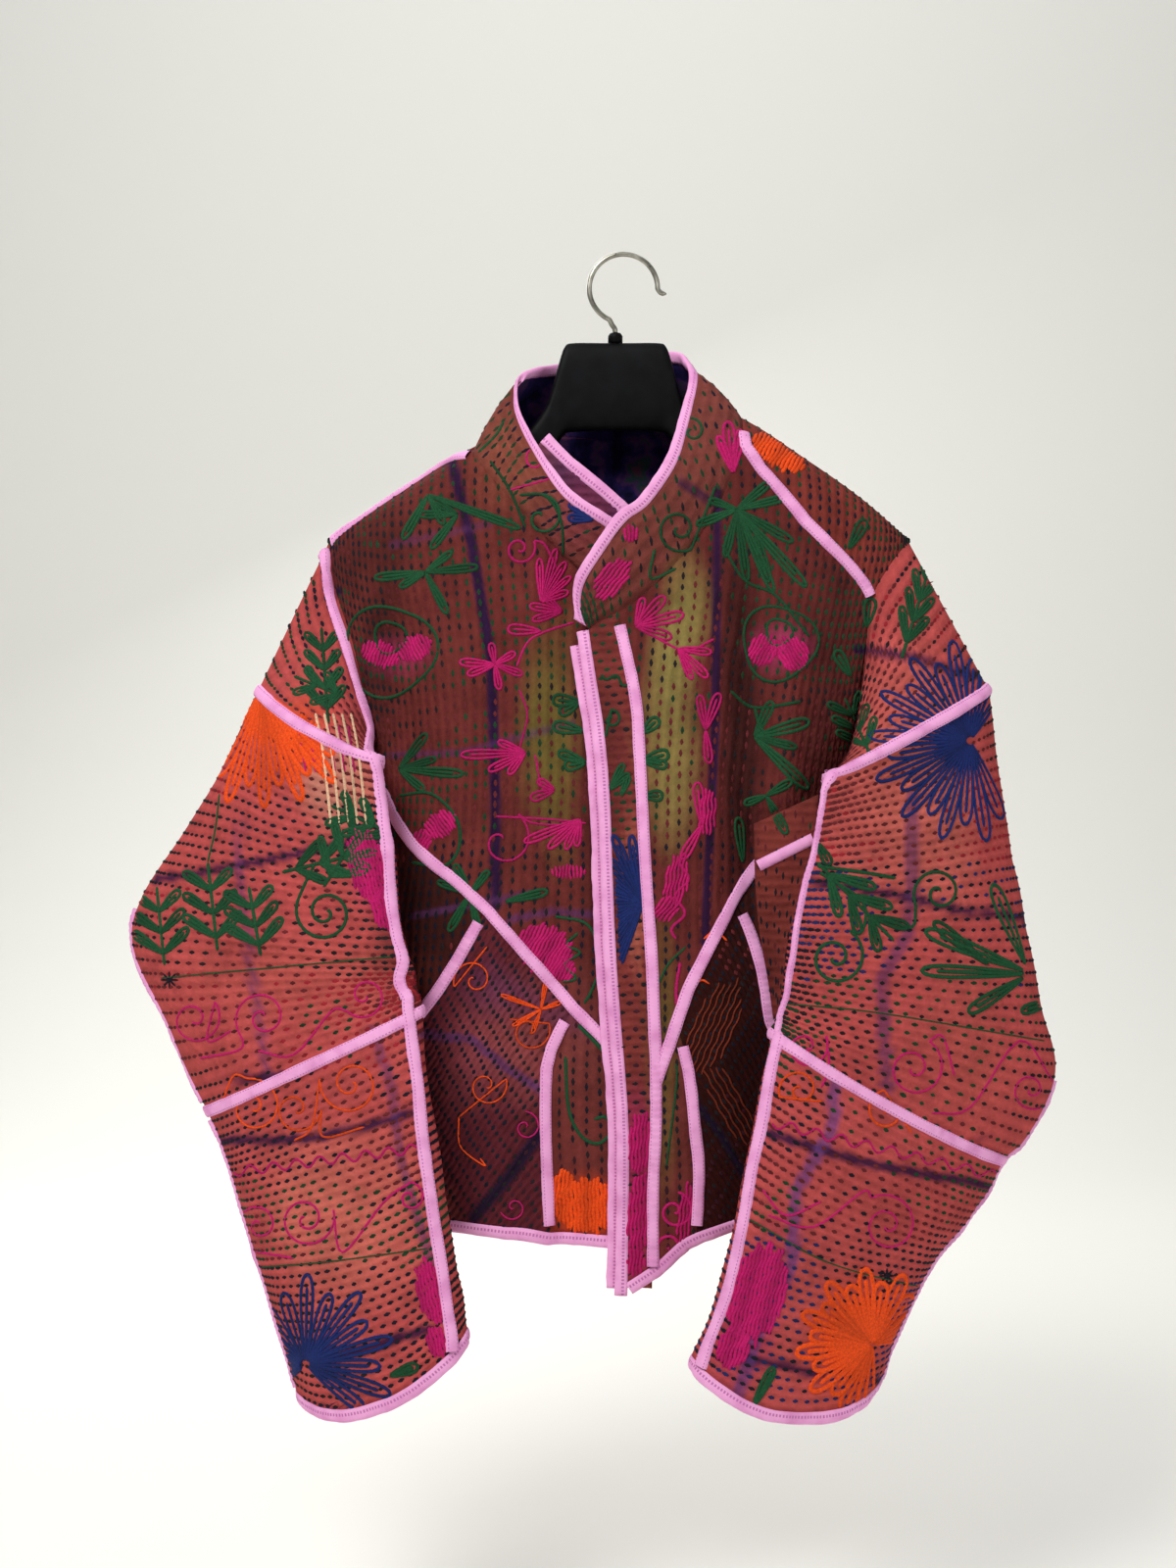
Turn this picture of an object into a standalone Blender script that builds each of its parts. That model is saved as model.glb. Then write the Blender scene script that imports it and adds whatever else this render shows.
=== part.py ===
"""A quilted kantha jacket with bound seams, hanging on a wide suit hanger. Metres, +Z up, front to -Y, origin where the
hook bears on its nail. Right and left are the wearer's.

Outline columns, named seen_x and seen_z, are millimetres on the plane of the hanger as they look from VIEWPOINT. The
functions at_front and at_depth carry them to the depth where the cloth hangs."""

import math

import bmesh
import bpy
import numpy as np
from mathutils import Vector
from mathutils.bvhtree import BVHTree

MM = 0.001
VIEWPOINT = np.array([-0.0245, -1.5, -0.3766])

CLOTH = 0.0025
BINDING_WIDTH = 0.0078
BINDING_THICK = 0.0040
STRIP_WIDTH = 0.0086
STRIP_THICK = 0.0018
SEAM_GAP = 0.0005
COLLAR_GAP = 0.0016
SEAM_INSET = 0.00036
TINY = 1e-9
STRIP_LIFT = 0.0008
SLEEVE_STRIP_LIFT = 0.0013
LAY_FROM = 0.006
FOLDED_LIFT = 0.0009
SHOULDER_ROLL = 0.034
SMALL = 1e-4
BODY_REACH = 0.3
UNDERARM_RELIEF = {"right": 12.0, "left": 22.0}
ARMHOLE_RELIEF = 1.0
RELIEF_FROM = 0.66
RELIEF_REACH = 0.24
BACK_RELIEF = 0.5
UNDERARM_TILT = 0.7
FRONT_OF_RIDGE = -2e-4
GUARD_BEHIND = 0.0041
GUARD_THICK = 0.0014
GUARD_WIDTH = 24.0
COLLAR_BULGE = 0.0035
BAND_CLEARANCE = 0.12

# How finely the cloth is divided: half a sleeve's girth, each side seam, the collar by its rows.
AROUND_STEPS = 9
SIDE_STEPS = {"right": 8, "left": 5}
COLLAR_STEPS = 1
# Collar rows where its parts meet: the left shoulder seam, the right shoulder seam, its covered end.
NECK_LEFT = 8
NECK_RIGHT = 13
COLLAR_END = 20

# Plain colours in linear light.
SALMON = (0.62, 0.23, 0.17)
CORAL = (0.45, 0.16, 0.11)
DARK_CORAL = (0.36, 0.12, 0.10)
PINK = (0.79, 0.37, 0.66)
BLACK = (0.012, 0.013, 0.016)
ZINC = (0.55, 0.55, 0.50)

# Body sections: height, middle of the body, half its width, depth of its front and of its back.
BODY_SECTIONS = {
    "z": [-690, -600, -480, -380, -300, -203, -100],
    "middle": [-18, -17, -13, -9, -6, -2.5, -2.5],
    "half_width": [205, 198, 184, 176, 188, 207.5, 207.5],
    "front": [60, 66, 68, 66, 58, 44, 40],
    "back": [40, 40, 38, 38, 38, 38, 38],
}
# Shoulder line: share of the half width, height of the ridge.
SHOULDER_LINE = {
    "share": [-1, -0.75, -0.5, -0.25, 0, 0.25, 0.44, 0.63, 0.82, 1],
    "z": [-203, -169, -136, -108, -100, -101, -118, -144, -172, -203],
}
# Folds of the front: where each starts and ends, half its width, how far it stands out, negative for a
# valley.
FRONT_FOLDS = [
    # x_top, z_top, x_low, z_low, width, rise
    (92, -205, 84, -520, 17, -14),
    (114, -225, 110, -440, 22, 7),
    (-160, -235, -150, -400, 20, -10),
    (-118, -240, -112, -520, 26, 5),
    (-95, -420, -88, -740, 22, 6),
    (66, -520, 60, -740, 20, 4),
    (-60, -330, -40, -640, 24, -4),
]
BACK_FOLDS = [
    (-120, -230, -92, -640, 24, -9),
    (-52, -300, -64, -760, 30, 6),
    (8, -200, 2, -520, 26, -6),
    (62, -330, 74, -760, 26, 7),
    (118, -240, 104, -600, 22, -9),
]
RIGHT_FRONT_SINK = {"from_x": -62, "to_x": -38, "depth": 7}

# Armhole edge on the front, from the shoulder point down to the underarm.
ARMHOLE_FRONT = {
    "right": [(-209, -203), (-205, -236), (-193, -274), (-184, -310), (-178, -338), (-179, -354), (-188, -362)],
    "left": [(204, -203), (189, -223), (178, -245), (174, -278), (169, -316), (166, -348), (173, -366)],
}
# Armhole edge on the back: share of the way round to the side seam, height.
ARMHOLE_BACK = [(1, -203), (0.91, -222), (0.84, -254), (0.82, -290), (0.85, -324), (0.93, -350), (1, -362)]

# Sleeve rings: outer and inner ends as seen, their depths, how far the front and back stand out, how far
# the front dips.
SLEEVE_RIGHT_RINGS = [
    # outer_x, outer_z, inner_x, inner_z, outer_y, inner_y, front, back, dip
    (-260, -311, -172, -358, -8, -80, 22, 24, 6),
    (-282, -355, -168, -398, -10, -84, 22, 24, 6),
    (-310, -406, -162, -433, -12, -86, 23, 24, 4),
    (-346, -462, -155, -482, -14, -88, 24, 24, 2),
    (-348, -494, -150, -506, -16, -90, 25, 25, 0),
    (-323, -552, -146, -522, -22, -92, 26, 25, 0),
    (-296, -610, -143, -538, -28, -94, 27, 25, 0),
    (-277, -660, -136, -608, -42, -98, 28, 22, 2),
    (-259, -718, -125, -674, -48, -100, 29, 25, 6),
    (-243, -774, -115, -734, -50, -100, 31, 29, 13),
    (-232, -811, -111, -770, -50, -100, 33, 31, 22),
]
SLEEVE_LEFT_RINGS = [
    (262, -309, 144, -371, -8, -84, 24, 24, 4),
    (268, -363, 139, -401, -10, -88, 24, 24, 4),
    (274, -412, 132, -433, -12, -90, 24, 24, 3),
    (284, -457, 125, -468, -14, -92, 25, 24, 2),
    (298, -524, 117, -506, -18, -94, 26, 25, 2),
    (309, -583, 112, -533, -22, -96, 27, 25, 2),
    (287, -629, 109, -547, -28, -97, 27, 25, 3),
    (273, -645, 107, -554, -30, -98, 27, 25, 4),
    (255, -674, 99, -594, -38, -104, 28, 24, 5),
    (233, -704, 90, -641, -46, -106, 28, 24, 7),
    (212, -737, 79, -700, -48, -106, 29, 26, 9),
    (194, -776, 61, -758, -46, -102, 31, 29, 14),
    (183, -804, 48, -789, -48, -102, 33, 31, 22),
]
# Soft creases of the sleeves: ring number, place round the ring in half turns, their half sizes, rise.
SLEEVE_FOLDS = {
    "right": [
        (1.6, 0.42, 0.5, 0.2, 5), (2.9, 0.25, 0.7, 0.22, -5), (4.3, 0.55, 0.8, 0.25, 5),
        (5.6, 0.75, 0.7, 0.14, -6),
        (7.6, 0.45, 1.2, 0.2, -4), (9.0, 0.62, 1.2, 0.16, 5), (3.4, 1.4, 1.4, 0.2, -6),
        (8.2, 1.5, 1.5, 0.2, 5),
    ],
    "left": [
        (1.5, 0.55, 0.7, 0.2, -5), (2.6, 0.35, 0.8, 0.22, 5), (4.4, 0.6, 0.9, 0.2, -5),
        (5.4, 0.25, 0.8, 0.2, -5),
        (8.4, 0.5, 1.2, 0.2, 5), (10.6, 0.35, 1.3, 0.16, -5), (3.2, 1.45, 1.4, 0.2, -6),
        (9.6, 1.55, 1.6, 0.2, 5),
    ],
}
SECOND_BAND_RING = {"right": 7, "left": 8}
ELBOW_RING = {"right": 4.1, "left": 6.1}

# Stand collar from its front end, round the neck, to the end that is covered. The seam lies on the body.
COLLAR_FRONT_LEFT = [
    # seam_x, seam_z, top_x, top_z, top_y
    (-25, -265, -30, -262, -54),
    (-17, -261, -33, -245, -56),
    (-4, -254, -30, -229, -59),
    (13, -243, -17, -208, -61),
    (35, -222, -1, -186, -60),
    (54, -200, 15, -174, -56),
    (71, -173, 34, -146, -46),
    (80, -146, 43, -118, -32),
    (86, -121, 50, -88, -12),
]
COLLAR_BACK = [
    # share, seam_z, top_x, top_z, top_y
    (0.40, -119, 47, -77, 3),
    (0.28, -124, 37, -71, 19),
    (0.0, -127, -5, -74, 30),
    (-0.36, -131, -46, -80, 20),
]
COLLAR_FRONT_RIGHT = [
    (-106, -138, -71, -85, -2),
    (-97, -153, -76, -98, -14),
    (-86, -166, -74, -112, -25),
    (-75, -178, -65, -131, -34),
    (-59, -195, -48, -158, -42),
    (-44, -212, -33, -174, -47),
    (-25, -229, -10, -189, -49),
    (-12, -240, 4, -200, -50),
]
PLACKET_EDGE = [
    (-32, -268), (-25, -292), (-17, -344), (-13, -398), (-11, -460), (-8, -518), (-3, -578), (0, -623),
    (0, -668),
    (0, -740),
]
PLACKET_SEAM = [
    (0, -259), (9, -308), (13, -362), (15, -415), (19, -469), (22, -518), (24, -578), (24, -623),
    (22, -668), (22, -728),
]
GUARD_EDGE = [
    (-34, -276), (-23, -344), (-19, -398), (-17, -460), (-14, -518), (-9, -578), (-6, -623), (-6, -668),
    (-7, -738),
]
COLLAR_GUARD_TOP = [(-58, -132), (-36, -153), (-13, -172), (1, -185)]
# Diagonal seams of the fronts, then the pocket seams and the hems, all from the outside in.
DIAGONAL_RIGHT = [
    (-175, -362), (-170, -385), (-158, -408), (-144, -426), (-123, -442), (-97, -466), (-72, -495),
    (-41, -530),
    (-13, -559), (6, -582),
]
DIAGONAL_LEFT = [
    (147, -366), (137, -388), (120, -410), (99, -431), (80, -458), (67, -484), (48, -521), (35, -559),
    (24, -590),
]
POCKET_OUTER_RIGHT = [(-97, -466), (-142, -538), (-215, -640)]
POCKET_INNER_RIGHT = [(-36, -536), (-52, -569), (-55, -600), (-54, -651), (-52, -698)]
POCKET_OUTER_LEFT = [(80, -458), (95, -491), (102, -521), (108, -551), (140, -600), (190, -650)]
POCKET_INNER_LEFT = [(39, -547), (48, -585), (52, -623), (55, -653), (53, -698)]
HEM_RIGHT = [(10, -704), (-8, -704), (-54, -701), (-83, -698), (-120, -693), (-170, -690), (-223, -688)]
HEM_LEFT = [(0, -740), (24, -724), (50, -702), (79, -694), (120, -691), (187, -688)]
SHOULDER_SEAM_LEFT = [(86, -121), (90, -140), (110, -163), (131, -189), (153, -211), (172, -232), (178, -245)]
UNDER_SLEEVE_INNER = [(94, -405), (95, -447), (98, -482), (104, -517), (108, -545)]
UNDER_SLEEVE_OUTER = [(140, -384), (138, -425), (128, -465), (120, -500), (114, -540)]

# Hanger: outline of its plate and arms from the middle to the tip of one arm.
HANGER_HALF = [
    # x, top_z, height, half_depth
    (6, -62, 60, 8), (27, -62, 62, 8), (33, -66, 62, 8), (40, -78, 56, 8), (48, -94, 48, 8),
    (60, -118, 34, 9),
    (90, -143.2, 25, 11), (130, -171.2, 21, 13), (160, -193.2, 17, 14), (176, -207.2, 11, 11),
]
HANGER_MIDDLE = -0.005
HOOK_WIRE = 0.00185
HOOK_RADIUS = 0.0244
HOOK_CENTRE = (0.0008, -0.0226)
HOOK_TIP = [(31.5, -26.5), (28.5, -26.2), (26.2, -24.6)]
HOOK_STEM = [(-7.4, -48.6), (-5.4, -51.5), (-5, -54.6)]
BOSS_RADIUS = 0.0052
BOSS_FOOT = -0.0616
BOSS_TOP = -0.0549


def at_depth(seen_x, seen_z, depth):
    """True x and z of a point that looks to be at seen_x, seen_z and lies at this y. All in metres."""
    share = (depth - VIEWPOINT[1]) / -VIEWPOINT[1]
    return VIEWPOINT[0] + (seen_x - VIEWPOINT[0]) * share, VIEWPOINT[2] + (seen_z - VIEWPOINT[2]) * share


def smooth_table(value, places, heights):
    """A smooth curve through a short table, with slopes from its neighbours."""
    places = np.asarray(places, float)
    heights = np.asarray(heights, float)
    slopes = np.gradient(heights, places)
    value = np.clip(value, places[0], places[-1])
    index = np.clip(np.searchsorted(places, value, side="right") - 1, 0, len(places) - 2)
    step = places[index + 1] - places[index]
    t = (value - places[index]) / step
    start, end = heights[index], heights[index + 1]
    bend = slopes[index] * step * t * (1 - t) ** 2 - slopes[index + 1] * step * t**2 * (1 - t)
    return start * (1 - t) ** 2 * (1 + 2 * t) + end * t**2 * (3 - 2 * t) + bend


def by_row(rows, places):
    """Smooth samples through rows, where places are row numbers."""
    rows = np.asarray(rows, float)
    numbers = np.arange(len(rows))
    return np.stack([smooth_table(np.asarray(places), numbers, column) for column in rows.T], axis=-1)


def section_of(height, name):
    """One size of the body's section at a height, in metres."""
    return smooth_table(height / MM, BODY_SECTIONS["z"], BODY_SECTIONS[name]) * MM


def folds_at(x, z, folds):
    """How far the folds of a table stand out at x, z."""
    total = np.zeros_like(x)
    for x_top, z_top, x_low, z_low, width, rise in folds:
        t = (z / MM - z_top) / (z_low - z_top)
        middle = x_top + (x_low - x_top) * t
        ends = np.clip(t * 4, 0, 1) * np.clip((1 - t) * 3, 0, 1)
        ends = ends * ends * (3 - 2 * ends)
        total += rise * MM * ends * np.exp(-(((x / MM - middle) / width) ** 2))
    return total


def body(around, down, sink=0.0):
    """Outer face of the body cloth. around runs -1 to 1 between the side seams, down from the shoulder line is negative
    on the front and positive on the back, and sink moves the front back where another front covers it."""
    around, down = np.broadcast_arrays(np.asarray(around, float), np.asarray(down, float))
    turn = around * math.pi / 2
    share = np.sin(turn)
    roll = np.clip(np.abs(down) / SHOULDER_ROLL, 0, math.pi / 2)
    drop = SHOULDER_ROLL * (1 - np.cos(roll)) + np.maximum(np.abs(down) - SHOULDER_ROLL * math.pi / 2, 0)
    z = smooth_table(share, SHOULDER_LINE["share"], SHOULDER_LINE["z"]) * MM - drop
    x = section_of(z, "middle") + section_of(z, "half_width") * share
    front = np.cos(turn) * (1 + 0.22 * share**2)
    back = np.cos(turn) * (1 + 0.6 * share**2)
    fade = np.sin(roll) * np.clip(np.cos(turn) * 3, 0, 1)
    y_front = -(section_of(z, "front") * front + folds_at(x, z, FRONT_FOLDS) * fade) * np.sin(roll)
    y_back = (section_of(z, "back") * back + folds_at(x, z, BACK_FOLDS) * fade) * np.sin(roll)
    reach = RIGHT_FRONT_SINK["to_x"] - RIGHT_FRONT_SINK["from_x"]
    covered = np.clip((x / MM - RIGHT_FRONT_SINK["from_x"]) / reach, 0, 1)
    y_front = y_front + sink * covered * covered * (3 - 2 * covered) * RIGHT_FRONT_SINK["depth"] * MM
    return np.stack([x, np.where(down < 0, y_front, y_back), z], axis=-1)


def place_on_body(x, z, side):
    """around and down of the body point at x, z. side is -1 for the front and 1 for the back."""
    share = np.clip((x - section_of(z, "middle")) / section_of(z, "half_width"), -1, 1)
    drop = smooth_table(share, SHOULDER_LINE["share"], SHOULDER_LINE["z"]) * MM - z
    rolled = SHOULDER_ROLL * np.arccos(np.clip(1 - drop / SHOULDER_ROLL, 0, 1))
    down = rolled + np.maximum(drop - SHOULDER_ROLL, 0)
    return np.stack([np.arcsin(share) * 2 / math.pi, side * down], axis=-1)


def at_front(seen, sink=0.0):
    """around and down of front points given as they are seen, in mm."""
    seen = np.asarray(seen, float) * MM
    depth = np.full(len(seen), -0.05)
    for _ in range(8):
        x, z = at_depth(seen[:, 0], seen[:, 1], depth)
        place = place_on_body(x, z, -1)
        depth = body(place[:, 0], place[:, 1], sink)[:, 1]
    return place


def normals_of(surface, u, v, flip=1.0):
    """Outward directions of a surface. flip is -1 where its coordinates run the other way."""
    along_u = surface(u + SMALL, v) - surface(u - SMALL, v)
    along_v = surface(u, v + SMALL) - surface(u, v - SMALL)
    normal = np.cross(along_u, along_v) * flip
    return normal / np.maximum(np.linalg.norm(normal, axis=-1, keepdims=True), 1e-15)


def edge_shares(first, second):
    """Where two facing edges have their points, as shares of their mean length."""
    steps = sum(np.linalg.norm(np.diff(edge * (BODY_REACH, 1), axis=0), axis=1) for edge in (first, second))
    return np.concatenate([[0], np.cumsum(steps)]) / steps.sum()


def patch(top, bottom, left, right):
    """Places inside four edge curves. top and bottom have the same count, and so have left and right."""
    across = edge_shares(top, bottom)[None, :, None]
    downward = edge_shares(left, right)[:, None, None]
    ruled = top[None] * (1 - downward) + bottom[None] * downward
    ruled = ruled + left[:, None] * (1 - across) + right[:, None] * across
    corners = (top[0] * (1 - across) + top[-1] * across) * (1 - downward)
    corners = corners + (bottom[0] * (1 - across) + bottom[-1] * across) * downward
    return ruled - corners


def settled(places, turns=400):
    """Places of a patch with its lines evened out so that none cross, its edges kept."""
    grid = places * (BODY_REACH, 1)
    for _ in range(turns):
        over = (grid[1:-1, 2:] - grid[1:-1, :-2]) / 2
        down = (grid[2:, 1:-1] - grid[:-2, 1:-1]) / 2
        wide = np.sum(over**2, axis=-1, keepdims=True)
        tall = np.sum(down**2, axis=-1, keepdims=True)
        lean = np.sum(over * down, axis=-1, keepdims=True)
        twist = (grid[2:, 2:] - grid[2:, :-2] - grid[:-2, 2:] + grid[:-2, :-2]) / 2
        inner = tall * (grid[1:-1, 2:] + grid[1:-1, :-2]) + wide * (grid[2:, 1:-1] + grid[:-2, 1:-1])
        grid[1:-1, 1:-1] = (inner - lean * twist) / (2 * (wide + tall))
    return grid / (BODY_REACH, 1)


def add_object(name, points, faces, colour, rough=0.85, outward=False):
    """One named solid with its own plain material."""
    mesh = bpy.data.meshes.new(name)
    mesh.from_pydata([tuple(point) for point in points], [], faces)
    if outward:
        solid = bmesh.new()
        solid.from_mesh(mesh)
        bmesh.ops.recalc_face_normals(solid, faces=solid.faces)
        solid.to_mesh(mesh)
        solid.free()
    material = bpy.data.materials.new(name + "_finish")
    material.use_nodes = True
    shader = material.node_tree.nodes["Principled BSDF"]
    shader.inputs["Base Color"].default_value = (*colour, 1)
    shader.inputs["Roughness"].default_value = rough
    mesh.materials.append(material)
    piece = bpy.data.objects.new(name, mesh)
    bpy.context.collection.objects.link(piece)
    return piece


def wall(name, outer, normals, colour, closed=False, thick=CLOTH):
    """A cloth wall under a grid of outer points. closed joins the last column to the first."""
    rows, columns = outer.shape[:2]
    inner = outer - normals * thick
    points = np.concatenate([outer.reshape(-1, 3), inner.reshape(-1, 3)])
    below = rows * columns
    wide = columns if closed else columns - 1

    def corner(row, column, layer):
        return layer * below + row * columns + column % columns

    faces = []
    for row in range(rows - 1):
        for column in range(wide):
            loop = [(row, column), (row, column + 1), (row + 1, column + 1), (row + 1, column)]
            faces.append([corner(r, c, 0) for r, c in loop])
            faces.append([corner(r, c, 1) for r, c in reversed(loop)])
    for column in range(wide):
        top = [(0, column, 1), (0, column + 1, 1), (0, column + 1, 0), (0, column, 0)]
        low = rows - 1
        foot = [(low, column, 0), (low, column + 1, 0), (low, column + 1, 1), (low, column, 1)]
        faces += [[corner(*end) for end in top], [corner(*end) for end in foot]]
    if not closed:
        for row in range(rows - 1):
            first = [(row, 0, 0), (row + 1, 0, 0), (row + 1, 0, 1), (row, 0, 1)]
            end = columns - 1
            last = [(row, end, 1), (row + 1, end, 1), (row + 1, end, 0), (row, end, 0)]
            faces += [[corner(*end) for end in first], [corner(*end) for end in last]]
    across = outer[:-1, 1:] - outer[1:, :-1]
    other = outer[1:, 1:] - outer[:-1, :-1]
    if (np.cross(across, other) * normals[:-1, :-1]).sum() < 0:
        faces = [face[::-1] for face in faces]
    return add_object(name, points, faces, colour)


def sweep(name, rings, colour, closed=False, rough=0.85):
    """A solid through equal rings of points, capped at its ends unless it is closed."""
    rings = np.asarray(rings)
    count, sides = rings.shape[:2]
    faces = []
    for ring in range(count if closed else count - 1):
        following = (ring + 1) % count
        for side in range(sides):
            beside = (side + 1) % sides
            low, high = ring * sides, following * sides
            faces.append([low + side, low + beside, high + beside, high + side])
    if not closed:
        faces.append(list(range(sides)))
        faces.append(list(range((count - 1) * sides, count * sides)))
    return add_object(name, rings.reshape(-1, 3), faces, colour, rough, outward=True)


def unit(vectors):
    """The vectors at a length of one."""
    return vectors / np.maximum(np.linalg.norm(vectors, axis=-1, keepdims=True), 1e-12)


def edge_binding(
    name, edge, outward, normals, colour, closed=False, width=BINDING_WIDTH, thick=BINDING_THICK, gap=SEAM_GAP
):
    """A folded binding that carries a wall on past its edge, a seam gap away."""
    middle = edge - normals * CLOTH / 2
    section = [
        (gap, 0.38), (0.45 * width, 0.5), (width, 0.24), (width, -0.24), (0.45 * width, -0.5), (gap, -0.38),
    ]
    rings = np.stack([middle + outward * out + normals * share * thick for out, share in section], axis=1)
    return sweep(name, rings, colour, closed)


def on_surface(surface, u, v, moves):
    """Places on a surface after a move of so many metres in its own plane."""
    along_u = (surface(u + SMALL, v) - surface(u - SMALL, v)) / (2 * SMALL)
    along_v = (surface(u, v + SMALL) - surface(u, v - SMALL)) / (2 * SMALL)
    uu = (along_u * along_u).sum(-1)
    vv = (along_v * along_v).sum(-1)
    uv = (along_u * along_v).sum(-1)
    mu = (along_u * moves).sum(-1)
    mv = (along_v * moves).sum(-1)
    whole = np.maximum(uu * vv - uv * uv, 1e-18)
    return u + (vv * mu - uv * mv) / whole, v + (uu * mv - uv * mu) / whole


def cloth_under(names):
    """What strips are laid on: the triangles of some built pieces."""
    points, faces = [], []
    for name in names:
        mesh = bpy.data.objects[name].data
        start = len(points)
        points += [vertex.co.copy() for vertex in mesh.vertices]
        faces += [[start + corner for corner in face.vertices] for face in mesh.polygons]
    return BVHTree.FromPolygons(points, faces)


def laid_height(cloth, place, facing):
    """How far the built cloth stands out from each place, or 0 where there is none."""
    heights = []
    for point, out in zip(place, facing):
        hit = cloth.ray_cast(Vector(point + out * LAY_FROM), Vector(-out), 2 * LAY_FROM)
        heights.append(0.0 if hit[0] is None else max(LAY_FROM - hit[3], -STRIP_LIFT / 2))
    return np.array(heights)[:, None]


def side_moves(surface, u, v, sideways, along):
    """Moves of one metre in the surface that keep to its rows or its columns. along is (1, 0) or (0, 1)
    for each place."""
    across_u = unit(surface(u + SMALL, v) - surface(u - SMALL, v))
    across_v = unit(surface(u, v + SMALL) - surface(u, v - SMALL))
    moves = across_u * along[:, :1] + across_v * along[:, 1:]
    return moves * np.sign((moves * sideways).sum(-1, keepdims=True))


def strip_rings(surface, path, flip, cloth, width=STRIP_WIDTH, along=None, thick=STRIP_THICK, lift=STRIP_LIFT):
    """Cross-sections of a strip laid along a path of places, a lift above the built cloth."""
    u, v = path[:, 0], path[:, 1]
    points = surface(u, v)
    ahead = np.gradient(points, axis=0)
    normal = normals_of(surface, u, v, flip)
    sideways = unit(np.cross(normal, unit(ahead)))
    if along is not None:
        sideways = side_moves(surface, u, v, sideways, np.asarray(along, float))
    low, high = [], []
    for share, height in ((-0.5, 0.45), (0.0, 1.0), (0.5, 0.45)):
        new_u, new_v = on_surface(surface, u, v, sideways * share * width)
        place = surface(new_u, new_v)
        facing = normals_of(surface, new_u, new_v, flip)
        place = place + facing * laid_height(cloth, place, facing)
        low.append(place + facing * lift)
        high.append(place + facing * (lift + thick * height))
    return np.stack(low + high[::-1], axis=1)


def armhole(side, places):
    """around and down of the armhole edge. places run 0 at the shoulder, 1 at the underarm on the front, 2
    at the shoulder."""
    places = np.asarray(places, float) % 2
    sign = -1 if side == "right" else 1
    front = at_front(by_row(ARMHOLE_FRONT[side], np.minimum(places, 1) * 6))
    back_rows = by_row(ARMHOLE_BACK, np.clip(2 - places, 0, 1) * 6)
    share = np.sin(back_rows[:, 0] * math.pi / 2) * sign
    z = back_rows[:, 1] * MM
    x = section_of(z, "middle") + section_of(z, "half_width") * share
    back = place_on_body(x, z, 1)
    front[:, 1] = np.minimum(front[:, 1], -SMALL)
    return np.where((places <= 1)[:, None], front, back)


def relieved(side, places, all_along=ARMHOLE_RELIEF, underarm=None):
    """The armhole edge of a panel, in mm inside the seam of the sleeve all along and at the underarm."""
    edge = armhole(side, places)
    late = np.clip((np.asarray(places) - RELIEF_FROM) / RELIEF_REACH, 0, 1)
    underarm = UNDERARM_RELIEF[side] if underarm is None else underarm
    inward = (all_along + underarm * late * late * (3 - 2 * late)) * MM / section_of(-0.36, "half_width")
    share = np.sin(edge[:, 0] * math.pi / 2)
    share = share - np.sign(share) * inward
    return np.stack([np.arcsin(share) * 2 / math.pi, edge[:, 1]], axis=-1)


def sleeve(side):
    """Surface of one sleeve: turn in half turns from the outer edge by way of the front, row from 0 at the
    armhole."""
    rings = np.array(SLEEVE_RIGHT_RINGS if side == "right" else SLEEVE_LEFT_RINGS, float) * MM
    sign = -1 if side == "right" else 1

    def ends(rows):
        first_x, first_z = at_depth(rows[..., 0], rows[..., 1], rows[..., 4])
        last_x, last_z = at_depth(rows[..., 2], rows[..., 3], rows[..., 5])
        outer = np.stack([first_x, rows[..., 4], first_z], axis=-1)
        inner = np.stack([last_x, rows[..., 5], last_z], axis=-1)
        return outer, inner

    def tube(turn, row):
        rows = by_row(rings, np.maximum(row - 1, 0))
        outer, inner = ends(rows)
        angle = np.asarray(turn) * math.pi
        lengthwise = np.sign(np.cos(angle)) * np.abs(np.cos(angle)) ** 0.9
        forward = np.sin(angle)
        middle = (outer + inner) / 2
        point = middle + (outer - inner) / 2 * lengthwise[..., None]
        bulge = np.where(forward > 0, -rows[..., 6], rows[..., 7]) * np.abs(forward)
        dip = np.where(forward > 0, -rows[..., 8], 0) * np.abs(forward) ** 2
        tilt = np.where(forward > 0, 0, np.clip((2.4 - row) / 1.4, 0, 1)) * UNDERARM_TILT
        lift = [np.zeros_like(bulge), bulge * np.cos(tilt), dip - bulge * np.sin(tilt)]
        point = point + np.stack(lift, axis=-1)
        swell = np.zeros_like(bulge)
        for ring, where, tall, wide, rise in SLEEVE_FOLDS[side]:
            near = np.abs((turn - where + 1) % 2 - 1)
            swell = swell + rise * MM * np.exp(-(((row - ring) / tall) ** 2) - (near / wide) ** 2)
        away = unit(point - middle)
        return point + away * swell[..., None]

    def surface(turn, row):
        turn, row = np.broadcast_arrays(np.asarray(turn, float), np.asarray(row, float))
        shape = turn.shape
        place = armhole(side, turn.ravel())
        start = body(place[:, 0], place[:, 1]).reshape(*shape, 3)
        early = np.clip(row, 0, 1)[..., None]
        ease = early * early * (3 - 2 * early) * 0.35 + early * 0.65
        return start * (1 - ease) + tube(turn, np.maximum(row, 1)) * ease

    return surface, sign


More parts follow.
